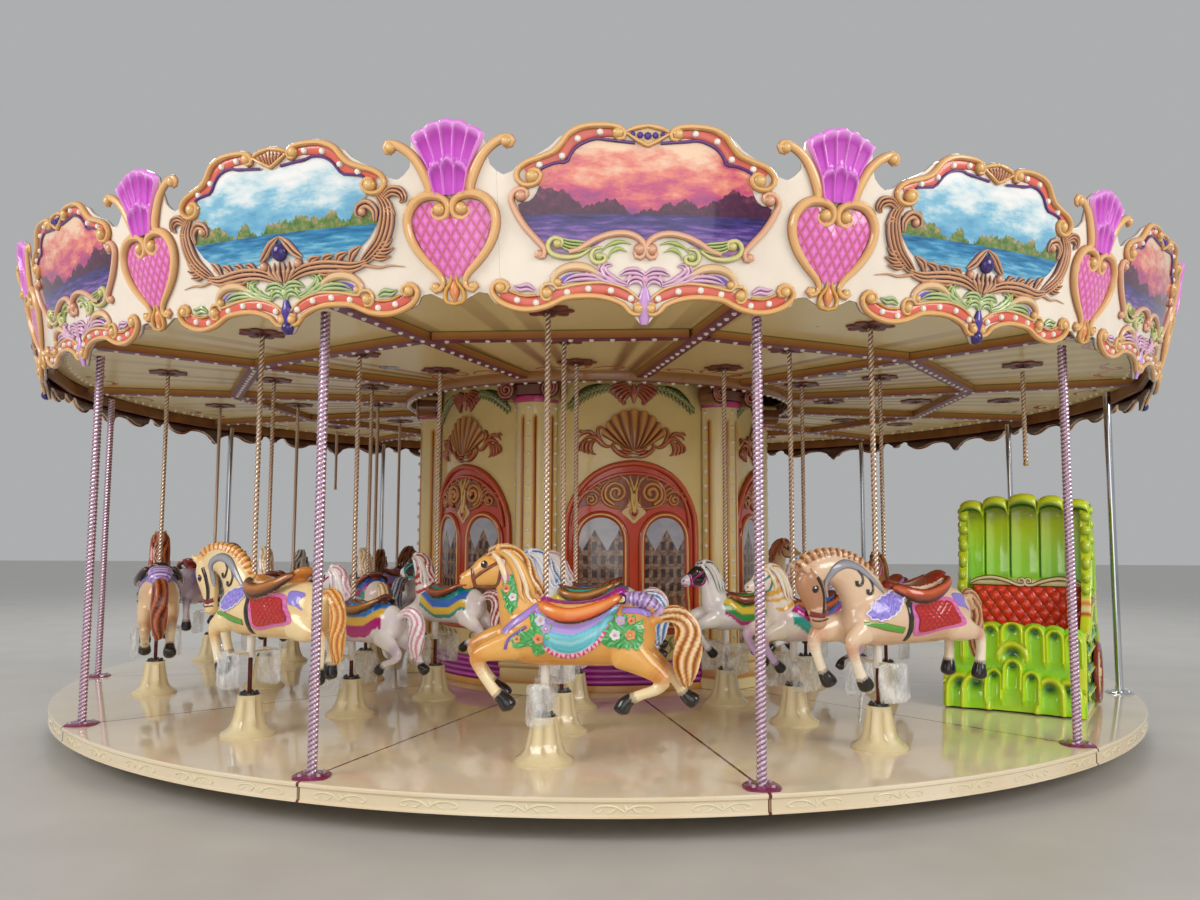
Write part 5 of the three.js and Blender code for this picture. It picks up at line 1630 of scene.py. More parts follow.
near_fore = [(0.13, 0.075, 0.13, 0.06, 0.1), (0.24, 0.08, 0.1, 0.056, 0.075),
             (0.335, 0.085, 0.075, 0.046, 0.052), (0.375, 0.085, 0.045, 0.042, 0.044),
             (0.35, 0.085, -0.02, 0.033, 0.034), (0.3, 0.083, -0.095, 0.03, 0.031),
             (0.255, 0.082, -0.15, 0.033, 0.034), (0.225, 0.08, -0.175, 0.043, 0.043),
             (0.19, 0.08, -0.215, 0.048, 0.052), (0.172, 0.08, -0.245, 0.044, 0.046)]
far_fore = [(x + 0.05 * (x > 0.14), -y, z + 0.035, wide, deep) for x, y, z, wide, deep in near_fore]
near_hind = [(-0.42, 0.075, 0.12, 0.078, 0.13), (-0.53, 0.085, 0.045, 0.062, 0.085),
             (-0.62, 0.085, -0.02, 0.045, 0.055), (-0.67, 0.085, -0.065, 0.038, 0.042),
             (-0.63, 0.085, -0.112, 0.031, 0.032), (-0.55, 0.084, -0.14, 0.029, 0.03),
             (-0.49, 0.083, -0.165, 0.034, 0.034), (-0.455, 0.082, -0.19, 0.043, 0.043),
             (-0.432, 0.08, -0.235, 0.048, 0.05), (-0.428, 0.08, -0.26, 0.044, 0.046)]
far_hind = [(-0.45, -0.075, 0.12, 0.075, 0.12), (-0.56, -0.08, 0.05, 0.06, 0.08),
            (-0.66, -0.08, -0.02, 0.045, 0.05), (-0.725, -0.08, -0.07, 0.036, 0.04),
            (-0.75, -0.08, -0.11, 0.031, 0.032), (-0.775, -0.08, -0.15, 0.034, 0.035),
            (-0.8, -0.08, -0.178, 0.043, 0.044), (-0.84, -0.08, -0.205, 0.048, 0.05),
            (-0.86, -0.08, -0.222, 0.044, 0.046)]
roll_near, roll_far = both_sides(
    [
        (0.02, 0.07, 0.352, 0.03, 0.03), (-0.03, 0.125, 0.315, 0.026, 0.042),
        (-0.11, 0.155, 0.288, 0.024, 0.048), (-0.2, 0.156, 0.29, 0.024, 0.048),
        (-0.3, 0.145, 0.322, 0.024, 0.042), (-0.38, 0.12, 0.362, 0.022, 0.032),
        (-0.43, 0.08, 0.4, 0.02, 0.024),
    ]
)
ear_near, ear_far = both_sides(
    [
        (0.265, 0.03, 0.6, 0.018, 0.024), (0.268, 0.038, 0.65, 0.013, 0.018),
        (0.262, 0.04, 0.695, 0.005, 0.005),
    ]
)
galloping = {
    "torso": [
        (-0.62, 0, 0.22, 0.04, 0.05), (-0.6, 0, 0.215, 0.078, 0.098),
        (-0.53, 0, 0.195, 0.125, 0.15), (-0.43, 0, 0.18, 0.146, 0.172),
        (-0.32, 0, 0.17, 0.145, 0.172), (-0.2, 0, 0.165, 0.143, 0.165),
        (-0.08, 0, 0.165, 0.146, 0.168), (0.04, 0, 0.17, 0.144, 0.172),
        (0.13, 0, 0.178, 0.128, 0.165), (0.205, 0, 0.19, 0.1, 0.135), (0.25, 0, 0.2, 0.06, 0.085),
    ],
    "neck": [
        (0.1, 0, 0.2, 0.095, 0.15), (0.135, 0, 0.3, 0.086, 0.135), (0.165, 0, 0.39, 0.072, 0.112),
        (0.2, 0, 0.47, 0.06, 0.096), (0.235, 0, 0.54, 0.05, 0.078), (0.26, 0, 0.58, 0.04, 0.055),
    ],
    "head": [
        (0.255, 0, 0.585, 0.042, 0.05), (0.292, 0, 0.54, 0.056, 0.094),
        (0.345, 0, 0.517, 0.053, 0.088), (0.395, 0, 0.492, 0.042, 0.066),
        (0.435, 0, 0.475, 0.036, 0.054), (0.468, 0, 0.462, 0.038, 0.05),
        (0.497, 0, 0.452, 0.03, 0.038),
    ],
    "fore_near": near_fore, "fore_far": far_fore, "hind_near": near_hind, "hind_far": far_hind,
    "ear_near": ear_near, "ear_far": ear_far,
    "mane": [
        (0.33, 0, 0.615, 0.026, 0.026), (0.275, 0, 0.64, 0.045, 0.034),
        (0.2, 0, 0.625, 0.056, 0.044), (0.14, 0, 0.57, 0.058, 0.05),
        (0.098, 0, 0.49, 0.06, 0.052), (0.06, 0, 0.42, 0.055, 0.048),
        (0.03, 0, 0.365, 0.035, 0.03),
    ],
    "tail": [
        (-0.6, 0, 0.245, 0.03, 0.03), (-0.68, 0, 0.288, 0.042, 0.042),
        (-0.755, 0, 0.275, 0.052, 0.056), (-0.8, 0, 0.21, 0.056, 0.07),
        (-0.8, 0, 0.1, 0.056, 0.08), (-0.79, 0, 0.0, 0.05, 0.072),
        (-0.785, 0, -0.07, 0.036, 0.045), (-0.79, 0, -0.12, 0.02, 0.02),
    ],
    "seat": [
        (0.03, 0, 0.362, 0.04, 0.028), (-0.05, 0, 0.338, 0.085, 0.03),
        (-0.15, 0, 0.326, 0.1, 0.03), (-0.25, 0, 0.335, 0.1, 0.03), (-0.33, 0, 0.36, 0.088, 0.03),
        (-0.4, 0, 0.4, 0.075, 0.028), (-0.455, 0, 0.43, 0.05, 0.02),
    ],
    "roll_near": roll_near, "roll_far": roll_far,
    "bustle": [
        (-0.45, 0, 0.37, 0.06, 0.035), (-0.53, 0, 0.375, 0.085, 0.042),
        (-0.595, 0, 0.345, 0.085, 0.042), (-0.64, 0, 0.295, 0.06, 0.035),
    ],
}
fore = [
    (0.14, 0.075, 0.12, 0.06, 0.1), (0.2, 0.08, 0.085, 0.054, 0.072),
    (0.25, 0.085, 0.06, 0.046, 0.05), (0.268, 0.085, 0.02, 0.038, 0.04),
    (0.24, 0.085, -0.07, 0.03, 0.031), (0.205, 0.084, -0.15, 0.034, 0.034),
    (0.185, 0.082, -0.185, 0.043, 0.043), (0.155, 0.08, -0.225, 0.05, 0.052),
    (0.145, 0.08, -0.248, 0.046, 0.048),
]
hind = [
    (-0.5, 0.078, 0.14, 0.08, 0.13), (-0.61, 0.085, 0.09, 0.064, 0.085),
    (-0.7, 0.085, 0.065, 0.046, 0.052), (-0.752, 0.085, 0.045, 0.038, 0.04),
    (-0.762, 0.085, -0.04, 0.03, 0.032), (-0.752, 0.084, -0.12, 0.034, 0.034),
    (-0.746, 0.083, -0.16, 0.043, 0.043), (-0.742, 0.082, -0.21, 0.05, 0.052),
    (-0.74, 0.08, -0.24, 0.046, 0.048),
]
roll_near, roll_far = both_sides(
    [(x - 0.08, y, z + 0.012, wide, deep) for x, y, z, wide, deep in roll_near]
)
ear_near, ear_far = both_sides(
    [
        (0.54, 0.04, 0.46, 0.02, 0.026), (0.575, 0.052, 0.485, 0.016, 0.02),
        (0.605, 0.055, 0.5, 0.006, 0.006),
    ]
)
arched = {
    "torso": [
        (-0.72, 0, 0.235, 0.04, 0.05), (-0.695, 0, 0.225, 0.08, 0.1),
        (-0.62, 0, 0.2, 0.125, 0.155), (-0.5, 0, 0.185, 0.146, 0.175),
        (-0.36, 0, 0.175, 0.145, 0.172), (-0.22, 0, 0.168, 0.143, 0.166),
        (-0.08, 0, 0.168, 0.146, 0.168), (0.04, 0, 0.175, 0.144, 0.174),
        (0.13, 0, 0.185, 0.128, 0.165), (0.2, 0, 0.2, 0.1, 0.13), (0.25, 0, 0.215, 0.06, 0.08),
    ],
    "neck": [
        (0.06, 0, 0.2, 0.1, 0.17), (0.13, 0, 0.33, 0.088, 0.15), (0.22, 0, 0.415, 0.074, 0.115),
        (0.33, 0, 0.462, 0.064, 0.088), (0.43, 0, 0.46, 0.056, 0.072),
        (0.5, 0, 0.45, 0.05, 0.055),
    ],
    "head": [
        (0.555, 0, 0.465, 0.04, 0.045), (0.522, 0, 0.41, 0.055, 0.085),
        (0.482, 0, 0.335, 0.055, 0.09), (0.458, 0, 0.26, 0.045, 0.072),
        (0.445, 0, 0.195, 0.038, 0.058), (0.436, 0, 0.145, 0.039, 0.052),
        (0.428, 0, 0.11, 0.03, 0.036),
    ],
    "fore_near": fore,
    "fore_far": [
        (x + 0.14 * (x > 0.1) * (z < 0.1), -y, z + 0.01, wide, deep)
        for x, y, z, wide, deep in fore
    ],
    "hind_near": hind,
    "hind_far": [
        (x + 0.09 * (z < 0.08), -y, z + 0.01, wide, deep) for x, y, z, wide, deep in hind
    ],
    "ear_near": ear_near, "ear_far": ear_far,
    "mane": [
        (0.6, 0, 0.45, 0.02, 0.02), (0.56, 0, 0.505, 0.026, 0.028), (0.48, 0, 0.54, 0.028, 0.034),
        (0.35, 0, 0.555, 0.03, 0.036), (0.19, 0, 0.525, 0.032, 0.038),
        (0.08, 0, 0.455, 0.034, 0.04), (0.0, 0, 0.37, 0.03, 0.03),
    ],
    "tail": [
        (-0.7, 0, 0.28, 0.03, 0.03), (-0.76, 0, 0.29, 0.04, 0.04),
        (-0.805, 0, 0.22, 0.045, 0.045), (-0.815, 0, 0.1, 0.045, 0.045),
        (-0.812, 0, -0.02, 0.04, 0.042), (-0.81, 0, -0.12, 0.02, 0.02),
    ],
    "seat": [(x - 0.08, y, z + 0.012, wide, deep) for x, y, z, wide, deep in galloping["seat"]],
    "roll_near": roll_near, "roll_far": roll_far,
}


def on_flank(form, flat, side):
    """Lays a flat grid (forward, up, height) on one flank: its distance out is read from the
    form's own side, between the four nearest cells of an 8 mm map."""
    place = (flat[..., :2] + MAP_CORNER) / MAP_CELL - 0.5
    low = np.clip(np.floor(place).astype(int), 0, np.subtract(MAP_SIZE, 2))
    part = np.clip(place - low, 0, 1)
    (a, b), (s, t) = np.moveaxis(low, -1, 0), np.moveaxis(part, -1, 0)
    flank = form["flank"]
    near, far = (flank[a, b + k] * (1 - s) + flank[a + 1, b + k] * s for k in (0, 1))
    laid = grid(flat[..., 0], side * (near * (1 - t) + far * t + flat[..., 2]), flat[..., 1])
    return laid[::-1] if side > 0 else laid


def flower(x, z, radius, petals, heart_colour):
    """A five-petalled flower: the rim's radius swings with the cosine of 2.5 turns."""
    turn = around(20)[:, None]
    share = np.array([1.0, 0.85, 0.5, 0.28, 0.2, 0.0])
    rim = radius * (0.78 + 0.22 * np.abs(np.cos(2.5 * turn))) * share
    high = np.array([0.005, 0.012, 0.011, 0.008, 0.014, 0.016])
    petal_paint = (0.75 + 0.25 * share)[:, None] * hue(petals)
    paint = np.where(share[:, None] < 0.26, hue(heart_colour), petal_paint)
    return grid(
        x + rim * np.cos(turn), z + rim * np.sin(turn), high
    ), np.broadcast_to(paint, (20, 6, 3))


def garland(outline, middle, leaves, flowers):
    """A moulded leaf cluster: a green bed, ribbed leaves round its edge and flowers on top."""
    bed = fill(outline, middle, 0.004, 0.002, 60, 7)
    wave = np.sin(bed[..., 0] * 190) * np.sin(bed[..., 1] * 210)
    bed[..., 2] += 0.003 * wave
    # The bed is painted lighter on its bumps and darker in its dips: a painted highlight and
    # painted shade.
    made = [(bed, tone("#2f8f4a", "#63c36a", 0.5 + 0.5 * wave))]
    ring = through(outline, leaves, closed=True)
    for tip in ring:
        out = tip - np.asarray(middle)
        bend = np.array([-out[1], out[0]]) * 0.12
        spine = [tip - 0.3 * out, tip - 0.08 * out + bend, tip + 0.1 * out]
        made.append(scroll(spine, (0.008, 0.022, 0.004), "#1f7a3c", "#6fd07a", 0.007, 0.004, 5))
    return made + [flower(*one) for one in flowers]


def blanket(outline, middle, shade, lift=0.004):
    """A moulded cloth on the flank, painted by a function of its flat place."""
    flat = fill(outline, middle, 0.0, lift, 96, 12)
    return flat, shade(flat[..., 0], flat[..., 1])


def blend_stops(value, stops):
    """A colour from stops (value, hex code), mixed evenly between them."""
    levels, codes = zip(*stops)
    return np.stack([np.interp(value, levels, one) for one in bands(*codes).T], -1)


def palomino_trim(blue="#3fc6dc", lilac="#b394e0", ruffle="#e8407c", leaf=True):
    """Trim of a galloping horse: draped cloth with a zigzag hem, breast strap and leaf clusters."""
    foot = [
        (-0.43, 0.34), (-0.345, 0.2), (-0.3, 0.135), (-0.23, 0.085), (-0.16, 0.062),
        (-0.08, 0.07), (-0.02, 0.105), (0.03, 0.2),
    ]
    top = [(-0.43, 0.38), (-0.3, 0.3), (-0.16, 0.25), (-0.05, 0.27), (0.03, 0.33)]

    def cloth(x, z):
        """Colours by the share of the way up from the hem, with ribs drawn as painted shade by a
        cosine of that share.
        """
        low, high = np.interp(x, *np.transpose(foot)), np.interp(x, *np.transpose(top))
        share = (z - low) / np.maximum(high - low, 0.03)
        rows = 0.85 + 0.15 * np.cos(share * 34)
        stops = [
            (0.0, ruffle), (0.06, "#ffffff"), (0.12, blue), (0.42, "#9fe6ee"), (0.6, blue),
            (0.66, lilac), (1.0, lilac),
        ]
        return blend_stops(share, stops) * np.where(share < 0.62, rows, 1.0)[..., None]

    outline = foot + [(0.03, 0.325), (-0.15, 0.32), (-0.36, 0.33)]
    made = [blanket(outline, (-0.17, 0.2), cloth)]
    hem = through(foot[1:-1], 45)
    hem[:, 1] += 0.006 * (-1) ** np.arange(45)
    flat = bead(hem, 0.022, 0.008, 90, 6, lift=0.004)
    stripe = np.where((np.arange(90) // 3 % 2 == 0)[:, None, None], hue(ruffle), hue("#f8c8d8"))
    made.append((flat, np.broadcast_to(stripe, flat.shape)))
    made.append(
        scroll(
            [(0.035, 0.335), (0.1, 0.285), (0.17, 0.235), (0.228, 0.185)], (0.036, 0.04, 0.036),
            "#5a2a9c", lilac, 0.008, 0.002, 8,
        )
    )
    made.append(
        scroll(
            [(0.205, 0.1), (0.19, 0.15), (0.14, 0.19), (0.09, 0.225)], 0.016, "#3f1c78",
            "#7a52b8", 0.007,
        )
    )
    made.append(
        scroll(
            [(-0.44, 0.315), (-0.52, 0.312), (-0.595, 0.29)], 0.034, "#5a2a9c", lilac, 0.008,
            0.002, 8,
        )
    )
    if leaf:
        shoulder = [
            (0.073, 0.283), (0.011, 0.29), (-0.045, 0.225), (-0.025, 0.14), (-0.007, 0.07),
            (0.05, 0.078), (0.064, 0.118), (0.155, 0.105), (0.165, 0.17), (0.118, 0.185),
            (0.064, 0.22),
        ]
        made += garland(
            shoulder, (0.03, 0.16), 11,
            [
                (0.012, 0.258, 0.034, "#e6e0f4", "#e8a040"),
                (-0.022, 0.215, 0.03, "#c9a6e6", "#f4e8a0"),
                (0.02, 0.158, 0.032, "#f4a06a", "#c8403c"),
                (0.142, 0.155, 0.024, "#f4b46a", "#c8403c"),
            ],
        )
        haunch = [
            (-0.39, 0.285), (-0.516, 0.285), (-0.55, 0.245), (-0.55, 0.14), (-0.507, 0.115),
            (-0.346, 0.125), (-0.338, 0.189), (-0.364, 0.243),
        ]
        made += garland(
            haunch, (-0.45, 0.2), 13,
            [
                (-0.431, 0.262, 0.03, "#d9b4e6", "#f4e8a0"),
                (-0.49, 0.262, 0.024, "#f4a06a", "#c8403c"),
                (-0.402, 0.185, 0.032, "#f2eef8", "#e8a040"),
                (-0.485, 0.185, 0.032, "#f4a06a", "#f8d060"),
            ],
        )
        throat = [
            (0.1625, 0.52), (0.14, 0.49), (0.145, 0.404), (0.149, 0.341), (0.185, 0.29),
            (0.215, 0.341), (0.245, 0.404), (0.235, 0.457), (0.207, 0.493),
        ]
        made += garland(
            throat, (0.19, 0.41), 11,
            [
                (0.222, 0.487, 0.028, "#e07ad0", "#fff0a0"),
                (0.215, 0.428, 0.028, "#f4a06a", "#c8403c"),
                (0.176, 0.38, 0.026, "#f2eef8", "#e8a040"),
            ],
        )
    return made


def beads(*places):
    """Low domes, each from its place, radius, height, points round, lift and colour."""
    return [
        (dome(x, z, radius, high, 3, steps, lift), np.broadcast_to(hue(code), (steps, 3, 3)))
        for x, z, radius, high, steps, lift, code in places
    ]


def head_trim(
    strap="#8a4424", edge="#4a1c10", eye="#1a0e08",
    hair=("#8a4418", "#d98a34", "#f4b860", "#fbe8c4"),
):
    """Locks of the mane, bridle, eye, nostril and lips of a galloping horse."""
    locks = [
        (
            [(0.3, 0.622), (0.262, 0.585), (0.238, 0.535), (0.222, 0.48), (0.226, 0.44)], hair[1],
            hair[3],
        ),
        (
            [
                (0.27, 0.635), (0.215, 0.6), (0.168, 0.53), (0.142, 0.455), (0.132, 0.4),
                (0.1, 0.35),
            ],
            hair[0], hair[2],
        ),
        (
            [
                (0.235, 0.64), (0.175, 0.595), (0.13, 0.515), (0.1, 0.44), (0.092, 0.39),
                (0.06, 0.35),
            ],
            hair[1], hair[3],
        ),
        (
            [
                (0.195, 0.635), (0.135, 0.57), (0.095, 0.49), (0.068, 0.425), (0.055, 0.385),
                (0.02, 0.36),
            ],
            hair[0], hair[2],
        ),
    ]
    made = [
        scroll(line, (0.02, 0.036, 0.04, 0.034, 0.008), low, high, 0.02, 0.002)
        for line, low, high in locks
    ]
    made += [
        scroll(
            [(0.418, 0.54), (0.412, 0.5), (0.405, 0.46), (0.4, 0.43)], 0.024, edge, strap, 0.005,
            0.001,
        ),
        scroll(
            [(0.41, 0.478), (0.36, 0.515), (0.3, 0.552), (0.243, 0.585)], 0.02, edge, strap,
            0.006, 0.001,
        ),
        scroll(
            [
                (0.405, 0.44), (0.35, 0.43), (0.3, 0.432), (0.27, 0.45), (0.255, 0.5),
                (0.246, 0.56),
            ],
            0.018, edge, strap, 0.006, 0.001,
        ),
    ]
    made.append(flower(0.243, 0.575, 0.02, "#f4dce6", "#d0607c"))
    made += beads(
        (0.346, 0.562, 0.023, 0.005, 14, 0.001, "#5a2c14"),
        (0.345, 0.563, 0.017, 0.006, 12, 0.004, eye),
        # The white dot on the eye is a painted glint.
        (0.351, 0.57, 0.006, 0.003, 8, 0.009, "#ffffff"),
        (0.483, 0.478, 0.009, 0.002, 8, 0.001, "#4a1c10"),
    )
    made.append(
        scroll([(0.498, 0.436), (0.475, 0.44), (0.448, 0.442)], 0.01, "#7a1010", "#c82820", 0.003)
    )
    return made


def arched_trim(cloth="#d4201c", border="#f07ac0", collar="#9a8ae6"):
    """Trim of an arched horse: scrolled neck band, wavy collar, breast band, girth and quilt."""
    made = [
        scroll(
            [
                (0.385, 0.3), (0.4, 0.38), (0.37, 0.455), (0.28, 0.495), (0.18, 0.47),
                (0.09, 0.4), (0.01, 0.325),
            ],
            (0.02, 0.05, 0.054, 0.05, 0.04, 0.02), "#17110f", "#a3a3ad", 0.008, 0.002, 9,
        )
    ]
    for curl in [
        [(0.2, 0.46), (0.17, 0.42), (0.18, 0.375), (0.21, 0.37), (0.215, 0.395)],
        [(0.12, 0.41), (0.1, 0.37), (0.11, 0.325), (0.14, 0.32), (0.142, 0.345)],
    ]:
        made.append(scroll(curl, (0.012, 0.016, 0.016, 0.022), "#0e0a0a", "#3a3230", 0.009))
    ruff = [
        (0.17, 0.195), (0.125, 0.26), (0.06, 0.3), (0.0, 0.315), (-0.07, 0.33), (-0.095, 0.28),
        (-0.05, 0.22), (0.03, 0.178), (0.1, 0.165),
    ]
    lilac = hue(collar)

    def ruffled(x, z):
        """The collar's folds, drawn as painted light and shade: brightness swings as a sine of the
        height, bent by one along x.
        """
        return lilac * (1 + 0.35 * np.sin(z * 160 + 8 * np.sin(x * 60)))[..., None]

    def ribbed(x, z):
        """The border's ribs, drawn as painted shade: its brightness swings as a sine along the
        horse.
        """
        return hue(border) * (0.85 + 0.15 * np.sin(x * 300))[..., None]

    def spotted(x, z):
        """The star's spots: brighter where the product of two sines is above a half."""
        return lilac * (0.8 + 0.5 * (np.sin(x * 330) * np.sin(z * 330) > 0.5))[..., None]

    def quilting(x, z):
        """Cushions between two slanting waves: the lower of their absolute sines."""
        return np.minimum(np.abs(np.sin((x + z) * 75)), np.abs(np.sin((x - z) * 75)))

    def tufts(x, z):
        """The quilt's paint: painted shade where either of its two waves has its trough, and
        lighter on the raised cushions.
        """
        return hue(cloth) * (0.45 + 0.65 * quilting(x, z))[..., None]

    made.append(blanket(ruff, (0.02, 0.24), ruffled))
    waves = through(ruff, 60, closed=True)
    waves += (waves - (0.02, 0.24)) * (0.05 * np.sin(np.arange(60) * 1.35))[:, None]
    flat = bead(waves, 0.009, 0.006, 120, 5, closed=True, lift=0.004)
    made.append((flat, np.broadcast_to(hue("#f2eef8"), flat.shape), "r"))
    made.append(
        scroll(
            [(0.2, 0.15), (0.12, 0.14), (0.02, 0.12), (-0.09, 0.1)], (0.02, 0.046, 0.04),
            "#b81c1c", "#4fae3c", 0.007, 0.002, 9,
        )
    )
    made.append(
        scroll(
            [(-0.13, 0.3), (-0.135, 0.2), (-0.14, 0.1), (-0.135, 0.03)], 0.04, "#0e0a0a",
            "#2c2220", 0.006,
        )
    )
    quilt = [
        (-0.14, 0.262), (-0.3, 0.285), (-0.48, 0.285), (-0.53, 0.21), (-0.575, 0.125),
        (-0.4, 0.09), (-0.19, 0.06), (-0.165, 0.16),
    ]
    middle = np.array((-0.34, 0.185))
    inner = [tuple(middle + (np.array(one) - middle) * 0.8) for one in quilt]
    made.append(blanket(quilt, tuple(middle), ribbed))
    flat, paint = blanket(inner, tuple(middle), tufts, 0.008)
    flat[..., 2] += 0.006 * quilting(flat[..., 0], flat[..., 1])
    made.append((flat, paint))
    star = [
        (-0.5, 0.3), (-0.56, 0.31), (-0.63, 0.29), (-0.6, 0.25), (-0.64, 0.2), (-0.58, 0.225),
        (-0.53, 0.235),
    ]
    made.append(blanket(star, (-0.57, 0.262), spotted))
    made.append(
        scroll(
            [(0.5, 0.175), (0.47, 0.165), (0.42, 0.17), (0.385, 0.175)], 0.011, "#3a1812",
            "#6a3428", 0.005, 0.001,
        )
    )
    made.append(
        scroll(
            [(0.385, 0.215), (0.43, 0.2), (0.47, 0.2), (0.52, 0.21)], 0.03, "#3a0e12", "#8a2c2c",
            0.007, 0.001,
        )
    )
    made.append(
        scroll(
            [(0.43, 0.185), (0.425, 0.28), (0.445, 0.36), (0.48, 0.42)], 0.026, "#120c0a",
            "#2c1f1c", 0.006, 0.001,
        )
    )
    made += beads(
        (0.5, 0.352, 0.024, 0.005, 14, 0.001, "#5a2c14"),
        (0.501, 0.352, 0.018, 0.006, 12, 0.004, "#120806"),
        # The white dot on the eye is a painted glint.
        (0.506, 0.36, 0.006, 0.003, 8, 0.009, "#ffffff"),
        (0.455, 0.135, 0.008, 0.002, 8, 0.001, "#4a1c10"),
    )
    return made


def coat_paint(form, coat):
    """Body colours: the coat darkens under the belly and in soft patches, airbrushed paint that is
    partly painted shade; legs pale towards black hooves; hair is striped along its strands,
    lighter on the raised ones, partly a painted highlight; rolls darken where they face down,
    painted shade; and the saddle has a dark rim."""
    points, share, part = form["points"], form["share"], form["part"]
    soft = np.clip((points[:, 2] + 0.05) / 0.3, 0, 1)
    tint = blend_stops(soft, [(0, coat["shade"]), (0.5, coat["coat"]), (1, coat["coat"])])
    # Soft patches of the shade colour over the coat: airbrushed paint, partly painted shade.
    haze = 0.5 + 0.5 * np.sin(points[:, 0] * 17 + 2) * np.sin(points[:, 2] * 21)
    tint = tint + (hue(coat["shade"]) - tint) * (0.45 * haze**2)[:, None]
    for leg in ("fore_near", "fore_far", "hind_near", "hind_far"):
        legs = blend_stops(
            share,
            [
                (0.0, coat["coat"]), (0.3, coat["coat"]), (0.42, coat["shade"]),
                (0.6, coat["socks"]), (0.79, coat["socks"]), (0.81, HOOF), (1, HOOF),
            ],
        )
        tint = np.where(part[leg][:, None], legs, tint)
    # Hair is lighter on its raised strands and darker between them: striped paint, partly a painted
    # highlight and painted shade.
    strand = 0.5 + 0.5 * form["strand"]
    hair = blend_stops(strand, list(zip((0.0, 0.4, 0.7, 1.0), coat["hair"])))
    tint = np.where((part["mane"] | part["tail"])[:, None], hair, tint)
    seat = blend_stops(
        np.abs(points[:, 1]), [(0, coat["seat"]), (0.07, coat["seat"]), (0.1, "#24100c")]
    )
    tint = np.where(part["seat"][:, None], seat, tint)
    # Each roll is painted near black where it faces down: painted shade under it.
    for roll in ("roll_near", "roll_far"):
        band = blend_stops(
            form["normal"][:, 2],
            [
                (-0.8, "#1c0c0a"), (-0.45, "#3a1410"), (-0.3, coat["roll"][1]),
                (0.3, coat["roll"][0]), (0.9, coat["roll"][1]),
            ],
        )
        tint = np.where(part[roll][:, None], band, tint)
    if "bustle" in part:
        # The bustle's ribs are drawn in colour alone, dark purple between them and pale on them:
        # painted shade and a painted highlight.
        ribs = 0.5 + 0.5 * np.sin(share * 60)
        tint = np.where(
            part["bustle"][:, None],
            blend_stops(ribs, [(0, "#6a4a9c"), (0.6, coat["bustle"]), (1, "#e9d4f4")]), tint,
        )
    if "face" in coat:
        tint = np.where((part["head"] & (share < 0.62))[:, None], hue(coat["face"]), tint)
    if "muzzle" in coat:
        mask = part["head"][:, None] * np.clip((share - 0.62) / 0.12, 0, 1)[:, None]
        tint = tint + (hue(coat["muzzle"]) - tint) * mask
    if "stripe" in coat:
        mask = part["neck"][:, None] * (np.sin(share * 34)[:, None] > 0)
        tint = np.where(mask, hue(coat["stripe"]), tint)
    if "cloth" in coat:
        x, z = points[:, 0], points[:, 2]
        foot = np.interp(x, [-0.45, -0.3, -0.1, 0.08], [0.14, 0.06, 0.05, 0.16])
        cover = part["torso"] & (x > -0.5) & (x < 0.1) & (z > foot)
        rows = blend_stops(
            (z - foot) / 0.2,
            list(
                zip(
                    (0.0, 0.16, 0.2, 0.5, 0.54, 0.85, 0.9),
                    [coat["cloth"][k] for k in (0, 0, 1, 1, 2, 2, 3)],
                )
            ),
        )
        tint = np.where(cover[:, None], rows, tint)
    return tint


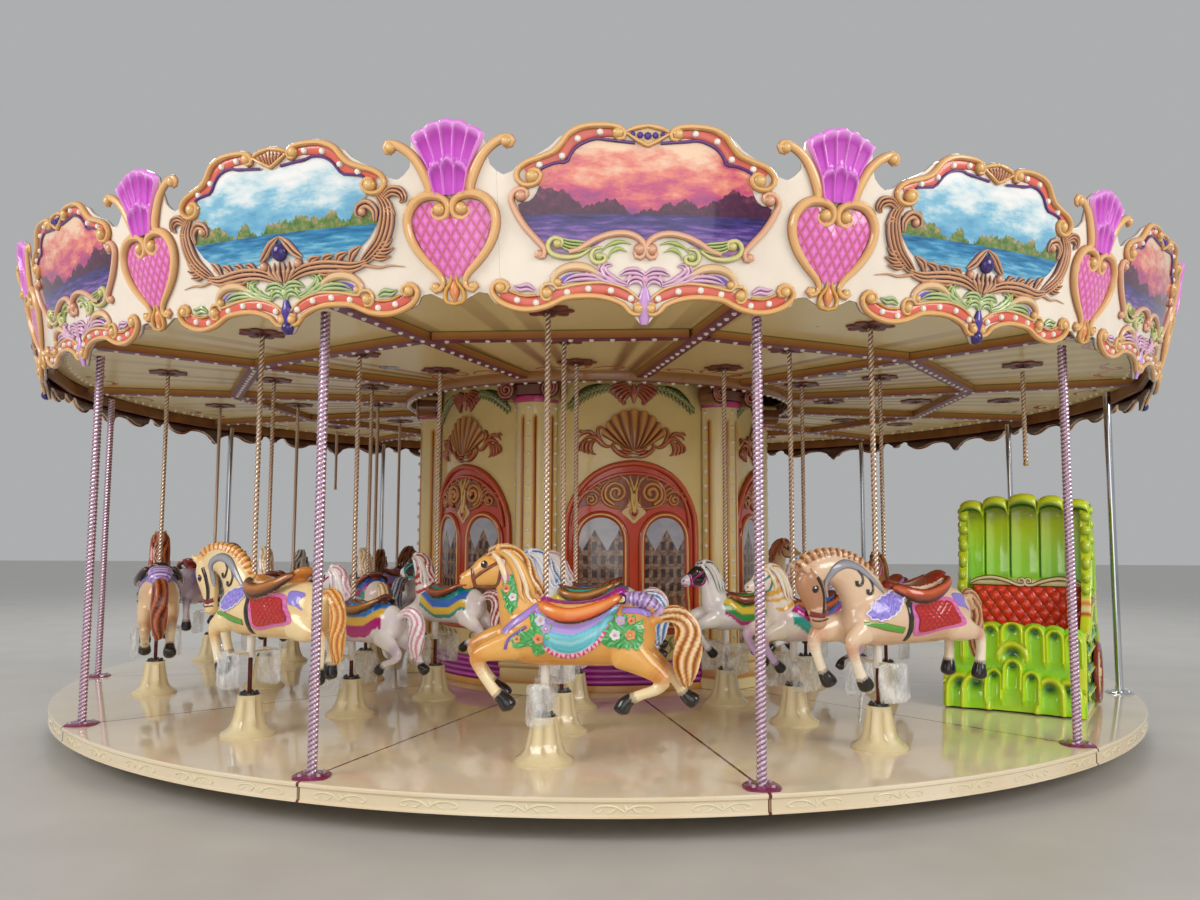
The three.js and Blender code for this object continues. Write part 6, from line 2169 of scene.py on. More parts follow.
coats = {
    "palomino": dict(
        coat="#f0b45e", shade="#d98a34", socks="#f7e3b4",
        hair=("#8a4418", "#d98a34", "#f4b860", "#fbe8c4"), seat="#b01a94",
        roll=("#f7a04a", "#e0562a"), bustle="#c9a6e6",
    ),
    "rose": dict(
        coat="#eecfae", shade="#d9a282", face="#b98560", muzzle="#c99a7a", socks="#f8ead2",
        hair=("#6a3a1c", "#b87a4c", "#d9a070", "#e6b98c"), seat="#8c2418",
        roll=("#d9602c", "#5a1410"), bustle="#a892e6",
    ),
    "cream": dict(
        coat="#f7dca6", shade="#e6b878", socks="#fbeccb",
        hair=("#b85a14", "#e8963c", "#f2b45e", "#f7cf8c"), seat="#d98a3c",
        roll=("#c87a34", "#3a1c10"), bustle="#9a8ae6",
    ),
    "teal": dict(
        coat="#e6c39a", shade="#c9966a", socks="#f4e0bc",
        hair=("#4a1408", "#8c3414", "#b8542a", "#c8744a"), seat="#2a1c1c",
        roll=("#5a4a4a", "#1c1212"), bustle="#a88ae0",
    ),
    "grey": dict(
        coat="#b9a8bc", shade="#8c7a94", socks="#e6dce6",
        hair=("#3c2c48", "#6a5478", "#9c86a8", "#c8b8d0"), seat="#8c2418",
        roll=("#c85a3c", "#3a1410"), bustle="#a88ae0",
    ),
    "snow": dict(
        coat="#f4f0ee", shade="#d0c0d4", socks="#f6eef6",
        hair=("#d07a9c", "#f4c4d4", "#ffffff", "#ffffff"), seat="#6a3018",
        roll=("#c88a3c", "#4a2010"), bustle="#d08ae0", muzzle="#f0c8c0",
        cloth=("#c21a8c", "#b81a7c", "#e8b83c", "#2f7fd0"),
    ),
    "gold_striped": dict(
        coat="#f6ecdc", shade="#d9b4c8", socks="#cfb4e0",
        hair=("#c87a2c", "#f0c05a", "#ffffff", "#fff4d0"), seat="#7a3418",
        roll=("#d0602c", "#4a1410"), bustle="#4fae9c", stripe="#e8b04a",
        cloth=("#1f9c8c", "#28b0a0", "#c21a8c", "#2f6fd0"),
    ),
    "masked": dict(
        coat="#f6f2f0", shade="#d6cede", socks="#f2ecf4",
        hair=("#1c1818", "#4a4444", "#f4f0f0", "#ffffff"), seat="#7a3c1c",
        roll=("#b8642c", "#3a1a10"), bustle="#d05ab0", face="#1c1616", muzzle="#e6dcf0",
        cloth=("#c21a8c", "#2f9c4a", "#f0cf3c", "#2f9c4a"),
    ),
    "red_striped": dict(
        coat="#f6f0ee", shade="#d8c4cc", socks="#f4eef2",
        hair=("#8c1414", "#c82a24", "#f4e6e0", "#ffffff"), seat="#7a3418",
        roll=("#c8642c", "#4a1a10"), bustle="#4f8ad0", face="#241c1c", muzzle="#f0ecf0",
        stripe="#c82a24", cloth=("#1f9c9c", "#f0c83c", "#2f6fd0", "#1f9c9c"),
    ),
    "chestnut": dict(
        coat="#9c5a34", shade="#6a3418", socks="#e6cfa6",
        hair=("#2c140a", "#5a2c14", "#7a4424", "#a86a3c"), seat="#8c2418",
        roll=("#d0602c", "#4a1410"), bustle="#a88ae0", muzzle="#ecd6ac",
        cloth=("#f07ac0", "#d4201c", "#9a8ae6", "#9a8ae6"),
    ),
    "azure": dict(
        coat="#f2f2f6", shade="#b8c4e0", socks="#f2eef8",
        hair=("#1f5ab8", "#4f9ae0", "#ffffff", "#ffffff"), seat="#7a2c18",
        roll=("#d08a3c", "#4a1c10"), bustle="#d05ab0", muzzle="#f4d0c4",
        cloth=("#c21a8c", "#2f7fd0", "#f0cf3c", "#28b0a0"),
    ),
}
DRESS = {
    "outer": {
        1: "palomino", 2: "rose", 6: "teal", 7: "palomino", 8: "cream", 10: "grey", 11: "teal",
        12: "cream",
    },
    "middle": {
        1: "azure", 2: "gold_striped", 3: "chestnut", 6: "snow", 7: "red_striped", 8: "azure",
        9: "chestnut", 10: "masked", 11: "gold_striped", 12: "snow",
    },
    "inner": {
        1: "snow", 2: "masked", 3: "azure", 6: "gold_striped", 7: "masked", 8: "snow", 9: "azure",
        10: "chestnut", 11: "gold_striped", 12: "red_striped",
    },
}
ARCHED_SECTORS = (2, 8, 10, 12)
film = Finish("film_wrap", Roughness=0.16, Coat_Weight=0.5)
creases = film.noise(film.place(), 16.0, 5.0, (1, 1, 0.5), 0.6)
film.set(
    Base_Color=film.mix(creases.soft(0.35, 0.65), "#dfe3e4", "#ffffff"),
    Alpha=creases.soft(0.38, 0.7) * 0.55 + 0.12,
    Normal=film.bump(creases, 0.03, 0.8),
)
brass = Finish("pole_brass", Metallic=0.55, Roughness=0.28, Coat_Weight=0.4)
worn = brass.noise(brass.place(), 40.0, 3.0).soft(0.5, 0.8) * 0.25
brass.set(Base_Color=brass.mix(worn, brass.tint(), "#b06a4a"))
forms = {
    "galloping": sculpt("galloping", galloping, 0.0112),
    "arched": sculpt("arched", arched, 0.0112),
}
small = {name: tubes for name, tubes in galloping.items() if name != "bustle"}
forms["small"] = sculpt("small", small, 0.0158)


def pole(length):
    """A twisted pole: a three-lobed section that turns once in 90 mm as it rises. The lobes are
    painted near white and the grooves brown: a painted highlight and painted shade on the brass.
    """
    rise = np.arange(0, length, 0.0088)[:, None]
    lobe = around(12)
    bulge = 0.5 + 0.5 * np.cos(3 * lobe)
    radius, angle = 0.0145 + 0.0035 * bulge, lobe + rise * (2 * np.pi / 0.09)
    points = grid(radius * np.cos(angle), radius * np.sin(angle), 0.05 + rise)
    return points, np.broadcast_to(tone("#8c4c26", "#fff0d8", bulge**0.9), points.shape)


def crumpled(angle, share):
    """Folds of film: the radius swings with three waves of the angle, two of which lean."""
    upright, leaning = 0.07 * np.cos(4 * angle), 0.05 * np.sin(7 * angle + 11 * share)
    return 1 + upright + leaning + 0.04 * np.sin(3 * angle - 17 * share)


def on_ride(points, spin, origin, scale=1.0):
    """From a horse's own frame to the ride's: scaled, turned about the pole and moved out."""
    return (points * scale) @ spin + origin


bar_y = np.array([-0.17, -0.168, -0.15, 0.15, 0.168, 0.17])[:, None]
bar_r = np.array([0.0, 0.012, 0.014, 0.014, 0.012, 0.0])[:, None]
turn = around(12)
bar = grid(bar_r * np.cos(turn), bar_y, -0.1 + 0.7 * bar_r * np.sin(turn))
sleeve = lathe(
    [
        (0.0165, 0.06), (0.02, 0.08), (0.026, 0.06), (0.026, -0.12), (0.024, -0.13),
        (0.0165, -0.13), (0.0165, 0.06),
    ],
    16,
)
bag_shape = [
    (0.0, -0.085), (0.05, -0.083), (0.074, -0.095), (0.078, -0.15), (0.08, -0.22), (0.079, -0.29),
    (0.066, -0.31), (0.0, -0.31),
]
bag = lathe(bag_shape, 26, flute=crumpled)[:, ::-1] * (1.35, 0.42, 1.0)
for row, number in HORSES:
    coat = coats[DRESS[row][number]]
    bent = row == "outer" and number in ARCHED_SECTORS
    form = forms["small" if row != "outer" else "arched" if bent else "galloping"]
    size = 1.0 if row == "outer" else SMALL
    if bent:
        trim = arched_trim()
    elif DRESS[row][number] == "palomino":
        trim = palomino_trim() + head_trim()
    elif row == "outer":
        trim = palomino_trim("#1f9c8c", "#a88ae0", "#2f9c4a", False) + head_trim(hair=coat["hair"])
    else:
        trim = head_trim(coat["cloth"][0], "#2a1420", hair=coat["hair"])
    (radius, angle), belly = row_place(row, number), BELLY[row][number]
    spin = np.array(Matrix.Rotation(angle + math.pi, 3, "Z")).T
    pose = (spin, at(radius, angle, DECK + belly))
    hide = sheet(on_ride(form["points"], *pose, size), coat_paint(form, coat))
    parts = [{**hide, "quads": form["quads"]}]
    for flat, paint, *closed in trim:
        for side in (1, -1):
            laid = on_ride(on_flank(form, flat, side), *pose, size)
            wrap = closed[0] if closed else closing(flat)
            parts.append(sheet(laid, paint[::-1] if side > 0 else paint, 0, wrap))
    stem, stem_paint = pole(PANEL + 0.03 + STROKE + 0.015 - belly)
    parts.append(sheet(on_ride(stem, *pose), stem_paint, 1, "c"))
    parts.append(sheet(on_ride(sleeve, *pose), "#e9e4da", 0, "r"))
    parts.append(sheet(on_ride(bar, *pose), "#efe6c8", 0, "c"))
    width = 0.6 if (row, number) == ("outer", 1) else 1.0
    for side in (-1, 1):
        hung = bag * (width, 1, 1) + (0.015, 0.15 * side, 0.0)
        parts.append(sheet(on_ride(hung, *pose), "#ffffff", 2, "r"))
    name = "%s_horse_%02d" % (row, number)
    slot = (
        "white_horse" if row != "outer" else "pale_horse" if number in ARCHED_SECTORS
        else "palomino_horse"
    )
    skin("dressed_" + name, parts, [gloss, brass, film], body=name, replaces=[name], slot=slot)

# Short poles: twisted brass like the others, hanging from the ceiling over the two bays that hold
# no outer horse. A round cap closes the lower end.

for number in BAYS:
    radius, angle = row_place("outer", number)
    stem, stem_paint = pole(0.72)
    hung = np.concatenate([stem[:1] * (0, 0, 1), stem]) + (0, 0, 1.79 - 0.05)
    hung_paint = np.concatenate([stem_paint[:1], stem_paint])
    place = at(radius, angle, DECK)
    knob = lathe(
        [(0.0, 0.0), (0.016, 0.003), (0.019, 0.014), (0.017, 0.026), (0.012, 0.03), (0.0, 0.031)],
        16, 1.786,
    )
    parts = [sheet(hung + place, hung_paint, 0, "c"), sheet(knob + place, "#c89a4c", 0, "r")]
    skin(
        "short_pole_%02d_twist" % number, parts, [brass], replaces=["short_pole_%02d" % number],
        slot="pole_brass",
    )


# Chariot: a glass-fibre tub moulded as a big lime leaf, with a tall fluted back that rolls over in
# five lobes, thick side wings with bobbles, and a front apron of petals. It is bolted to the deck.

# The dark green for hollows is painted shade, in the petals' pits and under the rolled lip.
LIME, LEAF_RIM, HOLLOW_SHADE = "#a2e81e", "#d8e82c", "#0a6428"
CHARIOT_TURN, CHARIOT_CIRCLE, INNER_STEPS = math.radians(58), 3.78, 34
chariot_spin = np.array(Matrix.Rotation(CHARIOT_TURN + math.pi, 3, "Z")).T
chariot_place = at(CHARIOT_CIRCLE, CHARIOT_TURN, DECK)


def in_chariot(points):
    """From the chariot's own frame (forward, outward, up from the deck) to the ride's."""
    return points @ chariot_spin + chariot_place


def petal(y, z, middle, top, half, foot, depth=0.034):
    """A petal on a face: an arch, straight below the centre of its curve, whose rim is a bell of
    the distance from its edge, and its hollow a bell round a point under its top."""
    heart = top - 1.15 * half
    reach = np.sqrt(((y - middle) / half) ** 2 + (np.maximum(z - heart, 0) / (top - heart)) ** 2)
    fade = np.clip((z - foot) / 0.07, 0, 1)
    inside = np.clip((1.12 - reach) / 0.1, 0, 1) * fade
    rim = np.exp(-(((reach - 0.86) / 0.23) ** 2)) * fade
    pit = np.exp(
        -(((y - middle) / (0.5 * half)) ** 2 + ((z - top + 0.62 * half) / (0.55 * half)) ** 2)
    )
    return inside, depth * (0.35 * inside + rim - 0.55 * pit * fade), rim, pit * fade


def lay_petals(y, z, petals, colour):
    """Petals over each other, later ones in front: their height and their paint on the grid."""
    raised = 0 * y
    for middle, top, half, foot in petals:
        inside, high, rim, pit = petal(y, z, middle, top, half, foot)
        raised = raised * (1 - inside) + (high + 0.006) * inside
        # Each petal is painted darker over its upper half and darkest in its pit: painted shade in
        # the hollow.
        body = tone(LIME, "#4fb814", np.clip((z - top + half) / half, 0, 1) * 0.6)
        body = tone(body, HOLLOW_SHADE, pit * 1.3)
        body = tone(body, LEAF_RIM, rim)
        colour = colour + (body - colour) * inside[..., None]
    return raised, colour


across = np.linspace(0.475, -0.475, 191)[:, None]
line = through(
    [
        (0.27, 0.1), (0.27, 0.35), (0.28, 0.5), (0.3, 0.565), (0.325, 0.59), (0.35, 0.58),
        (0.361, 0.54), (0.365, 0.45), (0.376, 0.34), (0.405, 0.24), (0.43, 0.14), (0.438, 0.06),
        (0.43, 0.012),
    ],
    130,
)
front_x, up = line[None, :, 0] + 0 * across, line[None, :, 1] + 0 * across
arches = [(0.0, 0.155, 0.078), (0.15, 0.13, 0.07), (0.28, 0.105, 0.064), (0.4, 0.08, 0.062)]
lobe_top = 0 * across
for middle, _, half in arches:
    for sign in (1, -1):
        lobe_top = np.maximum(
            lobe_top, np.clip(1 - ((across - sign * middle) / (half * 1.1)) ** 2, 0, 1) ** 0.5
        )
rise = (0.045 * lobe_top - 0.035 * (across / 0.48) ** 2) * np.clip((up - 0.3) / 0.25, 0, 1)
up = up + rise
flare = 0.02 * np.clip((0.3 - up) / 0.3, 0, 1) ** 1.5
row_1 = [(s * m, 0.495 + t, h, 0.3) for m, t, h in arches[::-1] for s in (1, -1)]
row_2 = [(0.0, 0.5, 0.115, 0.33)]
row_3 = [
    (0.455, 0.2, 0.075, -0.1), (-0.455, 0.2, 0.075, -0.1), (0.36, 0.255, 0.095, -0.1),
    (-0.36, 0.255, 0.095, -0.1), (0.245, 0.265, 0.1, -0.05), (-0.245, 0.265, 0.1, -0.05),
    (0.125, 0.3, 0.062, 0.03), (-0.125, 0.3, 0.062, 0.03), (0.0, 0.375, 0.066, 0.1),
]
step = np.arange(len(line))
facing = np.broadcast_to(step > INNER_STEPS, up.shape)
paint = tone("#bcec30", "#9ae41e", np.clip(up / 0.3, 0, 1))
raised, paint = lay_petals(across + 0 * up, up, row_1 + row_2 + row_3, paint)
raised = raised * facing
paint = np.where(facing[..., None], paint, hue("#7cbc20"))
push = np.clip((step - INNER_STEPS) / 12, 0, 1)
apron = grid(
    front_x + raised * push + flare - 0.012,
    across * (1 + 0.01 * np.clip((0.3 - up) / 0.3, 0, 1) ** 2), up,
)
tub = [sheet(in_chariot(apron), paint, 0)]

LOBES = np.array([-0.39, -0.205, 0.0, 0.205, 0.39])
across = np.linspace(-0.478, 0.478, 201)[:, None]
apart = np.abs(across - LOBES[None])
own = np.argmin(apart, 1)
half = np.array([0.09, 0.095, 0.11, 0.095, 0.09])[own]
off = np.clip(apart[np.arange(len(across)), own] / half, 0, 1)[:, None]
arch_over = np.sqrt(np.clip(1 - off**2, 0, 1))
crown_height = np.array([-0.03, 0.0, 0.018, 0.0, -0.03])[own][:, None]
line = through(
    [
        (-0.388, 0.1), (-0.389, 0.5), (-0.389, 0.88), (-0.405, 1.05), (-0.43, 1.25),
        (-0.452, 1.4), (-0.455, 1.45), (-0.44, 1.485), (-0.4, 1.482), (-0.35, 1.464),
        (-0.318, 1.485), (-0.318, 1.53), (-0.352, 1.562), (-0.42, 1.57), (-0.478, 1.54),
        (-0.52, 1.44), (-0.57, 1.2), (-0.63, 0.9), (-0.615, 0.5), (-0.6, 0.2), (-0.598, 0.012),
    ],
    230,
)
run = np.arange(len(line))[None]
back_x, up = line[None, :, 0] + 0 * across, line[None, :, 1] + 0 * across
top_part = np.clip((up - 1.4) / 0.1, 0, 1)
up = up + top_part * (crown_height + 0.05 * (arch_over - 0.7))
lip = int(np.argmax(line[:, 0] + (line[:, 1] > 1.4)))
in_roll = np.clip((run - lip + 9) / 5, 0, 1) * np.clip((lip + 14 - run) / 12, 0, 1)
back_x = back_x + in_roll * 0.035 * (arch_over - 0.75)
lip_edge = np.clip((run - lip + 8) / 4, 0, 1) * np.clip((lip + 5 - run) / 5, 0, 1)
up = up + lip_edge * 0.03 * (arch_over - 0.6)
edge_groove = np.exp(-(((1 - off) / 0.07) ** 2))
inner_face = np.clip((lip - 7 - run) / 3, 0, 1) * np.clip((up - 0.9) / 0.05, 0, 1)
outer_face = np.clip((run - lip - 24) / 6, 0, 1)
back_x = back_x + inner_face * (0.014 * off**2 - 0.02 * edge_groove)
back_x = back_x + outer_face * (0.02 * (off**2 - 0.5) * np.clip((up - 0.2) / 0.2, 0, 1))
paint = tone("#a0ea1e", "#cce21c", np.clip((up - 1.0) / 0.4, 0, 1) ** 1.3)
# Painted shade: olive at the top of the inner face under the rolled lip, dark green in the grooves
# along the lobes' edges, and darkest under the lip itself.
paint = tone(paint, "#8ca01c", np.clip((up - 1.38) / 0.08, 0, 1) * 0.7 * inner_face)
paint = tone(paint, "#1c6a14", edge_groove * (inner_face + 0.7 * outer_face) * 0.85)
under = (
    np.clip((run - lip + 8) / 3, 0, 1) * np.clip((lip + 1 - run) / 3, 0, 1)
    * np.clip((arch_over - 0.3) / 0.3, 0, 1)
)
paint = tone(paint, HOLLOW_SHADE, under * 1.1)
rolled = np.clip((run - lip + 1) / 3, 0, 1) * np.clip((lip + 26 - run) / 10, 0, 1)
paint = tone(paint, LEAF_RIM, rolled)
# Painted shade in the grooves of the rolled lip.
paint = tone(paint, "#8cb81c", rolled * edge_groove)
tub.append(sheet(in_chariot(grid(back_x, across, up)), paint))

wing_line = through(
    [
        (0.425, 0.012), (0.447, 0.14), (0.372, 0.36), (0.35, 0.56), (0.27, 0.575), (0.1, 0.56),
        (-0.03, 0.62), (-0.15, 0.76), (-0.25, 1.0), (-0.325, 1.3), (-0.335, 1.47), (-0.41, 1.52),
        (-0.5, 1.46), (-0.56, 1.2), (-0.62, 0.9), (-0.607, 0.5), (-0.59, 0.012), (-0.3, 0.01),
        (0.1, 0.01),
    ],
    150, closed=True,
)
across_wing = np.array(
    [
        (0, 0.47), (0.3, 0.47), (0.6, 0.47), (0.85, 0.47), (0.93, 0.474), (0.965, 0.48),
        (0.99, 0.474), (1.0, 0.46), (1.0, 0.44), (1.0, 0.425), (0.99, 0.414), (0.97, 0.411),
        (0.6, 0.411), (0, 0.411),
    ]
)
wing_heart = np.array([-0.2, 0.4])
wing = wing_heart + (wing_line[:, None] - wing_heart) * across_wing[None, :, :1]
wing = grid(wing[..., 0], across_wing[:, 1], wing[..., 1])
on_rim = ((across_wing[:, 0] > 0.9) * 1.0)[None] * np.ones((150, 1))
wing_paint = tone(hue("#6cb81c") + 0 * wing, LEAF_RIM, on_rim)
tall = wing_line[:, None, 1] + 0 * wing[..., 0]
front_edge = on_rim * (wing_line[:, None, 0] > -0.45)
for low, high, colour in (
    (0.775, 0.8, "#f4e27a"), (0.735, 0.775, "#e8842c"), (0.705, 0.735, "#f0e0a0"),
    (0.68, 0.705, "#c8301c"),
):
    wing_paint = tone(
        wing_paint, colour,
        front_edge * (tall > low) * (tall < high) * (wing_line[:, None, 0] < -0.02),
    )
mirror = np.array([1.0, -1.0, 1.0])
tub.append(sheet(in_chariot(wing), wing_paint, 0, "r"))
tub.append(sheet(in_chariot((wing * mirror)[::-1]), wing_paint[::-1], 0, "r"))


def on_wing(flat, side, base=0.47):
    """Puts flat ornament (x forward, y up, height outwards) on the outer face of a wing."""
    laid = grid(flat[..., 0], side * (base + flat[..., 2]), flat[..., 1])
    return in_chariot(laid[..., ::-1, :, :] if side > 0 else laid)


field = fill(
    [
        (0.34, 0.1), (0.3, 0.34), (0.26, 0.47), (0.08, 0.47), (-0.08, 0.56), (-0.22, 0.66),
        (-0.42, 0.68), (-0.53, 0.6), (-0.55, 0.3), (-0.52, 0.09), (-0.1, 0.07),
    ],
    (-0.15, 0.32), 0.0, 0.003, 90, 4,
)
carved = [(field, np.broadcast_to(hue("#0f7a34"), field.shape))]
for start, bend, tip, width in [
    ((-0.5, 0.14), (-0.2, 0.16), (0.28, 0.14), 0.07),
    ((-0.5, 0.2), (-0.15, 0.3), (0.26, 0.28), 0.085),
    ((-0.5, 0.26), (-0.2, 0.44), (0.2, 0.41), 0.085),
    ((-0.5, 0.34), (-0.32, 0.52), (0.0, 0.5), 0.08),
    ((-0.52, 0.42), (-0.42, 0.58), (-0.2, 0.6), 0.07),
]:
    for shift, broad, low, high in (
        (0.0, width, "#0c5a28", "#4ab42c"), (0.0, width * 0.3, "#3f9c24", "#c8dc28")
    ):
        high_point = 0.018 if broad == width else 0.026
        carved.append(
            scroll(
                [start, bend, tip], (0.02, broad, broad * 0.9, 0.012), low, high, high_point,
                0.003, 7,
            )
        )
for x, z, r in (
    (0.27, 0.14, 0.04), (0.27, 0.28, 0.045), (0.21, 0.41, 0.045), (0.01, 0.5, 0.04),
    (-0.2, 0.6, 0.036),
):
    carved.append(spiral(x, z, r, 1.3, 2.6, 0.03, "#3f9c24", "#c8dc28", 0.022, 0.004))
for points, width, low, high in [
    (
        [(-0.56, 0.72), (-0.3, 0.74), (-0.15, 0.66), (-0.02, 0.56), (0.1, 0.51), (0.26, 0.51)],
        0.03, "#8c9c14", "#e0ec4c",
    ),
    ([(-0.55, 0.8), (-0.4, 0.8), (-0.21, 0.8)], 0.024, "#c86a1c", "#f4b45c"),
    ([(-0.55, 0.77), (-0.4, 0.77), (-0.19, 0.77)], 0.02, "#b8281c", "#ec6a4c"),
    ([(-0.36, 1.42), (-0.37, 1.2), (-0.32, 0.95), (-0.28, 0.86)], 0.03, "#3f9c24", "#b8dc3c"),
    ([(-0.45, 1.42), (-0.47, 1.2), (-0.48, 0.95), (-0.47, 0.84)], 0.04, "#3f9c24", "#b8dc3c"),
    ([(-0.54, 1.3), (-0.575, 1.1), (-0.59, 0.95), (-0.585, 0.84)], 0.03, "#3f9c24", "#b8dc3c"),
]:
    carved.append(scroll(points, width, low, high, 0.016, 0.001))
for flat, colour in carved:
    for side in (1, -1):
        tub.append(
            sheet(on_wing(flat, side), colour[::-1] if side > 0 else colour, 0, closing(flat))
        )

ball = lathe(
    [
        (0.0, 1.0), (0.38, 0.92), (0.71, 0.71), (0.92, 0.38), (1.0, 0.0), (0.92, -0.38),
        (0.71, -0.71), (0.38, -0.92), (0.0, -1.0),
    ][::-1],
    14,
)
bobbles = np.array(
    [
        (-0.325, 0.447, 1.41, 0.043, 0.036), (-0.322, 0.447, 1.305, 0.043, 0.04),
        (-0.3, 0.447, 1.18, 0.04, 0.055), (-0.262, 0.447, 1.05, 0.034, 0.05),
        (-0.222, 0.447, 0.945, 0.033, 0.042), (-0.175, 0.447, 0.855, 0.033, 0.038),
        (-0.39, 0.474, 1.46, 0.03, 0.03), (-0.385, 0.474, 1.35, 0.03, 0.034),
        (-0.372, 0.474, 1.23, 0.03, 0.034), (-0.345, 0.474, 1.11, 0.028, 0.034),
    ]
)
balls = ball[None] * bobbles[:, None, None, (3, 3, 4)] + bobbles[:, None, None, :3]
# Each bobble is painted lighter on top and darker underneath: a painted highlight and painted
# shade.
bobble_light_and_shade = tone("#8cb41c", "#d8ec3c", (ball[..., 2] * 0.5 + 0.6))
tub.append(sheet(in_chariot(balls), bobble_light_and_shade, 0, "r"))
tub.append(sheet(in_chariot((balls * mirror)[:, ::-1]), bobble_light_and_shade[::-1], 0, "r"))

cream_line = [
    (0.405, 0.888), (0.34, 0.917), (0.24, 0.93), (0.13, 0.905), (0.06, 0.876), (0.012, 0.873),
    (-0.002, 0.9), (0.018, 0.926), (0.045, 0.914), (0.04, 0.893), (0.026, 0.895),
]
for mirror_y in (False, True):
    for width, high, low, crown in (
        (0.04, 0.012, "#6a3a14", "#8c5a24"), (0.027, 0.022, "#b89a54", "#fdf4d0")
    ):
        flat, colour = scroll(
            cream_line, (width * 0.7, width, width, width * 0.8, width * 0.6), low, crown, high,
            0.0,
        )
        if mirror_y:
            flat, colour = flipped(flat), colour[::-1]
        tub.append(
            sheet(in_chariot(grid(-0.345 + flat[..., 2], flat[..., 0], flat[..., 1])), colour)
        )
ledge = np.array(
    [
        (-0.395, 0.872), (-0.347, 0.872), (-0.342, 0.88), (-0.342, 0.9), (-0.347, 0.91),
        (-0.395, 0.925),
    ]
)


def loaf(profile, low, high):
    """A closed section (x, z) carried across from one y to another, with its ends drawn in."""
    section = np.asarray(profile, float)
    heart = section.mean(0)
    y = np.array([low, low, low + 0.004, high - 0.004, high, high])
    scale = np.array([0.0, 0.96, 1.0, 1.0, 0.96, 0.0])
    flat = heart + (section[None] - heart) * scale[:, None, None]
    return grid(flat[..., 0], y[:, None], flat[..., 1])


tub.append(sheet(in_chariot(loaf(ledge, -0.409, 0.409)[:, ::-1]), "#f0e0a8", 0, "c"))
floor_slab = loaf(
    [(-0.38, 0.012), (0.27, 0.012), (0.275, 0.05), (0.27, 0.09), (-0.38, 0.09), (-0.385, 0.05)],
    -0.411, 0.411,
)
tub.append(sheet(in_chariot(floor_slab), "#8a7a4a", 0, "c"))
skin("chariot_leaf_shell", tub, [gloss], replaces=["chariot_shell"], slot="lime_paint")


# Chariot bench and wheel: a painted seat with a rolled front edge, and a spoked wheel in relief
# with a dark red rim and a cream hub, screwed to the outer side.

seat_line = [
    (-0.388, 0.1), (0.0, 0.1), (0.012, 0.11), (0.012, 0.3), (0.004, 0.34), (0.008, 0.37),
    (0.024, 0.39), (0.026, 0.41), (0.012, 0.426), (-0.02, 0.43), (-0.34, 0.422), (-0.38, 0.428),
    (-0.388, 0.42),
]
bench_paint = bands(*["#e6d49a"] * 4, *["#c98a3c"] * 2, *["#d8341c"] * 7)
bench = loaf(seat_line, -0.409, 0.409)
skin(
    "chariot_seat", [sheet(in_chariot(bench), bench_paint, 0, "c")], [gloss],
    replaces=["chariot_bench"], slot="bench_paint",
)
turn = around(96)[:, None]
reach = np.array(
    [
        0.0, 0.0, 0.028, 0.036, 0.045, 0.06, 0.1, 0.155, 0.168, 0.18, 0.215, 0.228, 0.23, 0.228,
        0.2, 0.0,
    ]
)[None]
thick = np.array(
    [
        0.038, 0.04, 0.038, 0.03, 0.022, 0.012, 0.012, 0.012, 0.02, 0.03, 0.034, 0.026, 0.015,
        0.003, 0.002, 0.002,
    ]
)[None]
spoke = np.exp(
    -((((turn * 6 / np.pi + 0.5) % 1 - 0.5) * reach / 0.016) ** 4)
) * (reach > 0.045) * (reach < 0.165)
wheel = grid(
    -0.3 + reach * np.cos(turn), 0.481 + thick + 0.012 * spoke * (reach < 0.17),
    0.24 + reach * np.sin(turn),
)
tread = (reach > 0.165) * 1.0 + 0 * turn
wheel_paint = tone(tone("#5a120c", "#e8cf8c", spoke + (reach < 0.05)), "#8c1c14", tread)
wheel_paint = tone(wheel_paint, "#c8a04c", np.exp(-(((reach - 0.198) / 0.008) ** 2)) + 0 * turn)
skin(
    "chariot_spoked_wheel", [sheet(in_chariot(wheel), wheel_paint, 0, "r")], [gloss],
    replaces=["chariot_wheel"], slot="red_paint",
)


# Chariot backrest: a foam pad in glossy red vinyl, tied down in diamonds with a button at each
# crossing. The pad is blown up as cloth first, and then the tufts are drawn in.

PAD_BACK, PAD_FRONT, PAD_HALF, PAD_MIDDLE, PAD_TALL = -0.386, -0.335, 0.4, 0.652, 0.215


def pad_grid(across, tall):
    """The pad's front and back faces (x, y, z): the thickness falls to nothing at the edge as the
    root of one less a high power of the distance from the middle."""
    y, z = np.meshgrid(np.linspace(-1, 1, across), np.linspace(-1, 1, tall), indexing="ij")
    fall = np.sqrt(np.clip(1 - np.maximum(np.abs(y) ** 14, np.abs(z) ** 9), 0, 1))
    y, z = y * PAD_HALF, PAD_MIDDLE + z * PAD_TALL
    rear = PAD_BACK + 0.012 * (1 - fall)
    return grid(rear + (PAD_FRONT - PAD_BACK) * fall, y, z), grid(rear, y, z)


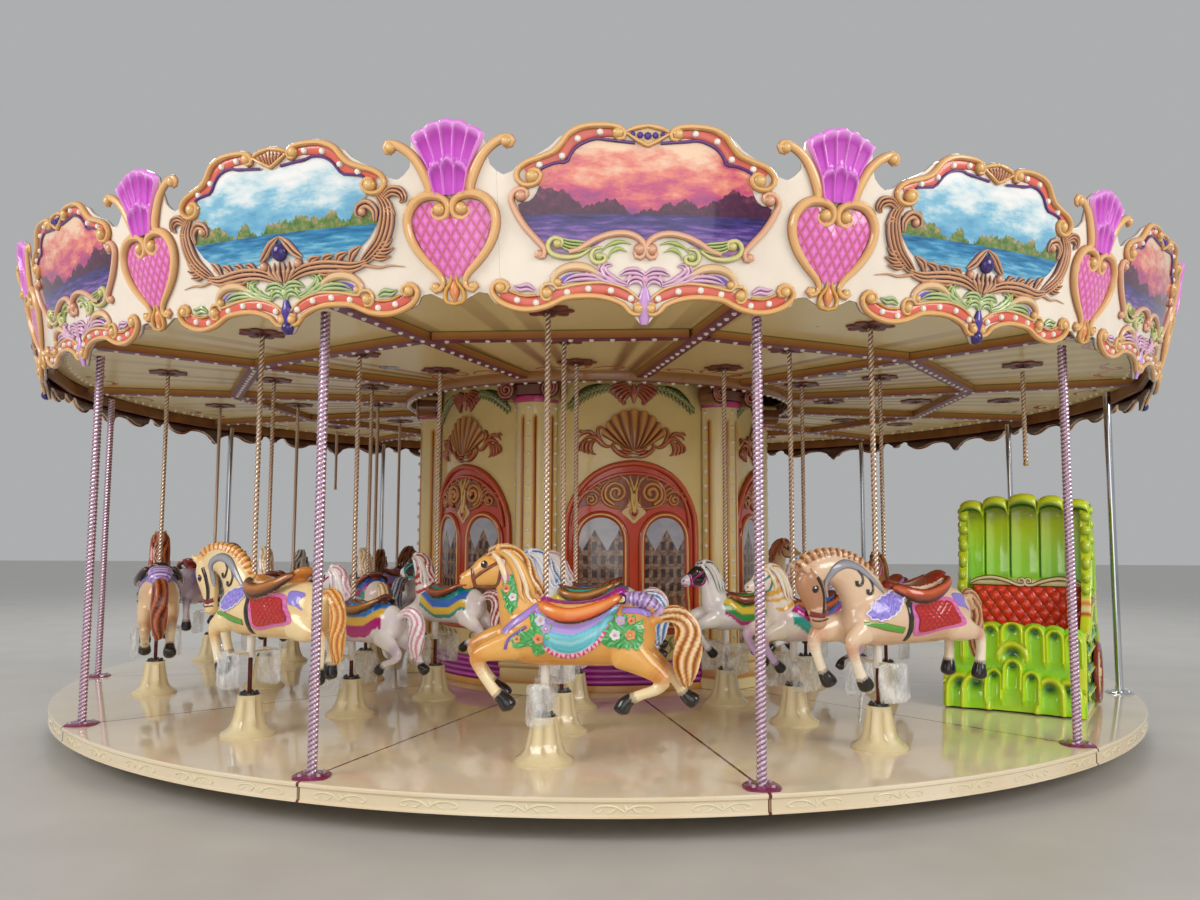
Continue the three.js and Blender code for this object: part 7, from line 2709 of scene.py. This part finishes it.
front, rear = pad_grid(141, 75)
loose, backing = pad_grid(47, 25)
trial = skin("pad_trial", [sheet(loose, "#ffffff"), sheet(backing[::-1], "#ffffff")], [])
start = np.zeros(3 * len(trial.data.vertices))
trial.data.vertices.foreach_get("co", start)
blow = trial.modifiers.new("blow", "CLOTH")
blow.settings.use_pressure = True
blow.settings.uniform_pressure_force = 4
blow.settings.effector_weights.gravity = 0
for frame_number in range(1, 21):
    bpy.context.scene.frame_set(frame_number)
swollen = trial.evaluated_get(bpy.context.evaluated_depsgraph_get()).to_mesh()
moved = np.zeros(start.size)
swollen.vertices.foreach_get("co", moved)
start, moved = start.reshape(-1, 3), (moved - start).reshape(-1, 3)
face = start[:, 0] > PAD_BACK + 0.02
apart = front[:, :, None, 1:] - start[None, None, face, 1:]
share = np.exp(-(apart**2).sum(-1) / (2 * 0.02**2))
swell = (share * moved[None, None, face, 0]).sum(-1) / (share.sum(-1) + 1e-9)
front[..., 0] += np.clip(swell, 0, 0.012) * (front[..., 0] > PAD_BACK + 0.02)
bpy.context.scene.frame_set(1)
bpy.data.objects.remove(trial)
first = front[..., 1] / 0.09 + (front[..., 2] - PAD_MIDDLE) / 0.13
second = front[..., 1] / 0.09 - (front[..., 2] - PAD_MIDDLE) / 0.13
puff = np.abs(np.sin(np.pi * first) * np.sin(np.pi * second)) ** 0.55
inland = (
    np.clip((PAD_HALF - np.abs(front[..., 1])) / 0.02, 0, 1)
    * np.clip((PAD_TALL - np.abs(front[..., 2] - PAD_MIDDLE)) / 0.02, 0, 1)
)
front[..., 0] += (0.018 * puff - 0.012) * inland
# The puffs are painted bright orange-red and the tufted creases dark red: a painted highlight and
# painted shade.
vinyl_paint = tone("#94160c", "#fc4426", 0.3 + 0.9 * puff)
pad = [sheet(in_chariot(front), vinyl_paint), sheet(in_chariot(rear[::-1]), "#a8140c")]
across, tall = np.meshgrid(np.arange(-9, 10), np.arange(-6, 7), indexing="ij")
spots = np.stack([0.045 * across, 0.065 * tall], -1)[(across + tall) % 2 == 0]
spots = spots[(np.abs(spots[:, 0]) < PAD_HALF - 0.02) & (np.abs(spots[:, 1]) < PAD_TALL - 0.02)]
button = dome(0, 0, 0.008, 0.006, 4, 10)
button = grid(PAD_FRONT - 0.006 + button[..., 2], button[..., 0], PAD_MIDDLE + button[..., 1])
spots = grid(0, spots[:, 0], spots[:, 1])[:, None, None]
pad.append(sheet(in_chariot(button + spots), "#f0c8a0", 0, "r"))
vinyl = airbrushed("red_vinyl", 0.1, 0.1, 0.05)
cushion = skin(
    "chariot_backrest_pad", pad, [vinyl], replaces=["chariot_backrest"], slot="red_quilt"
)
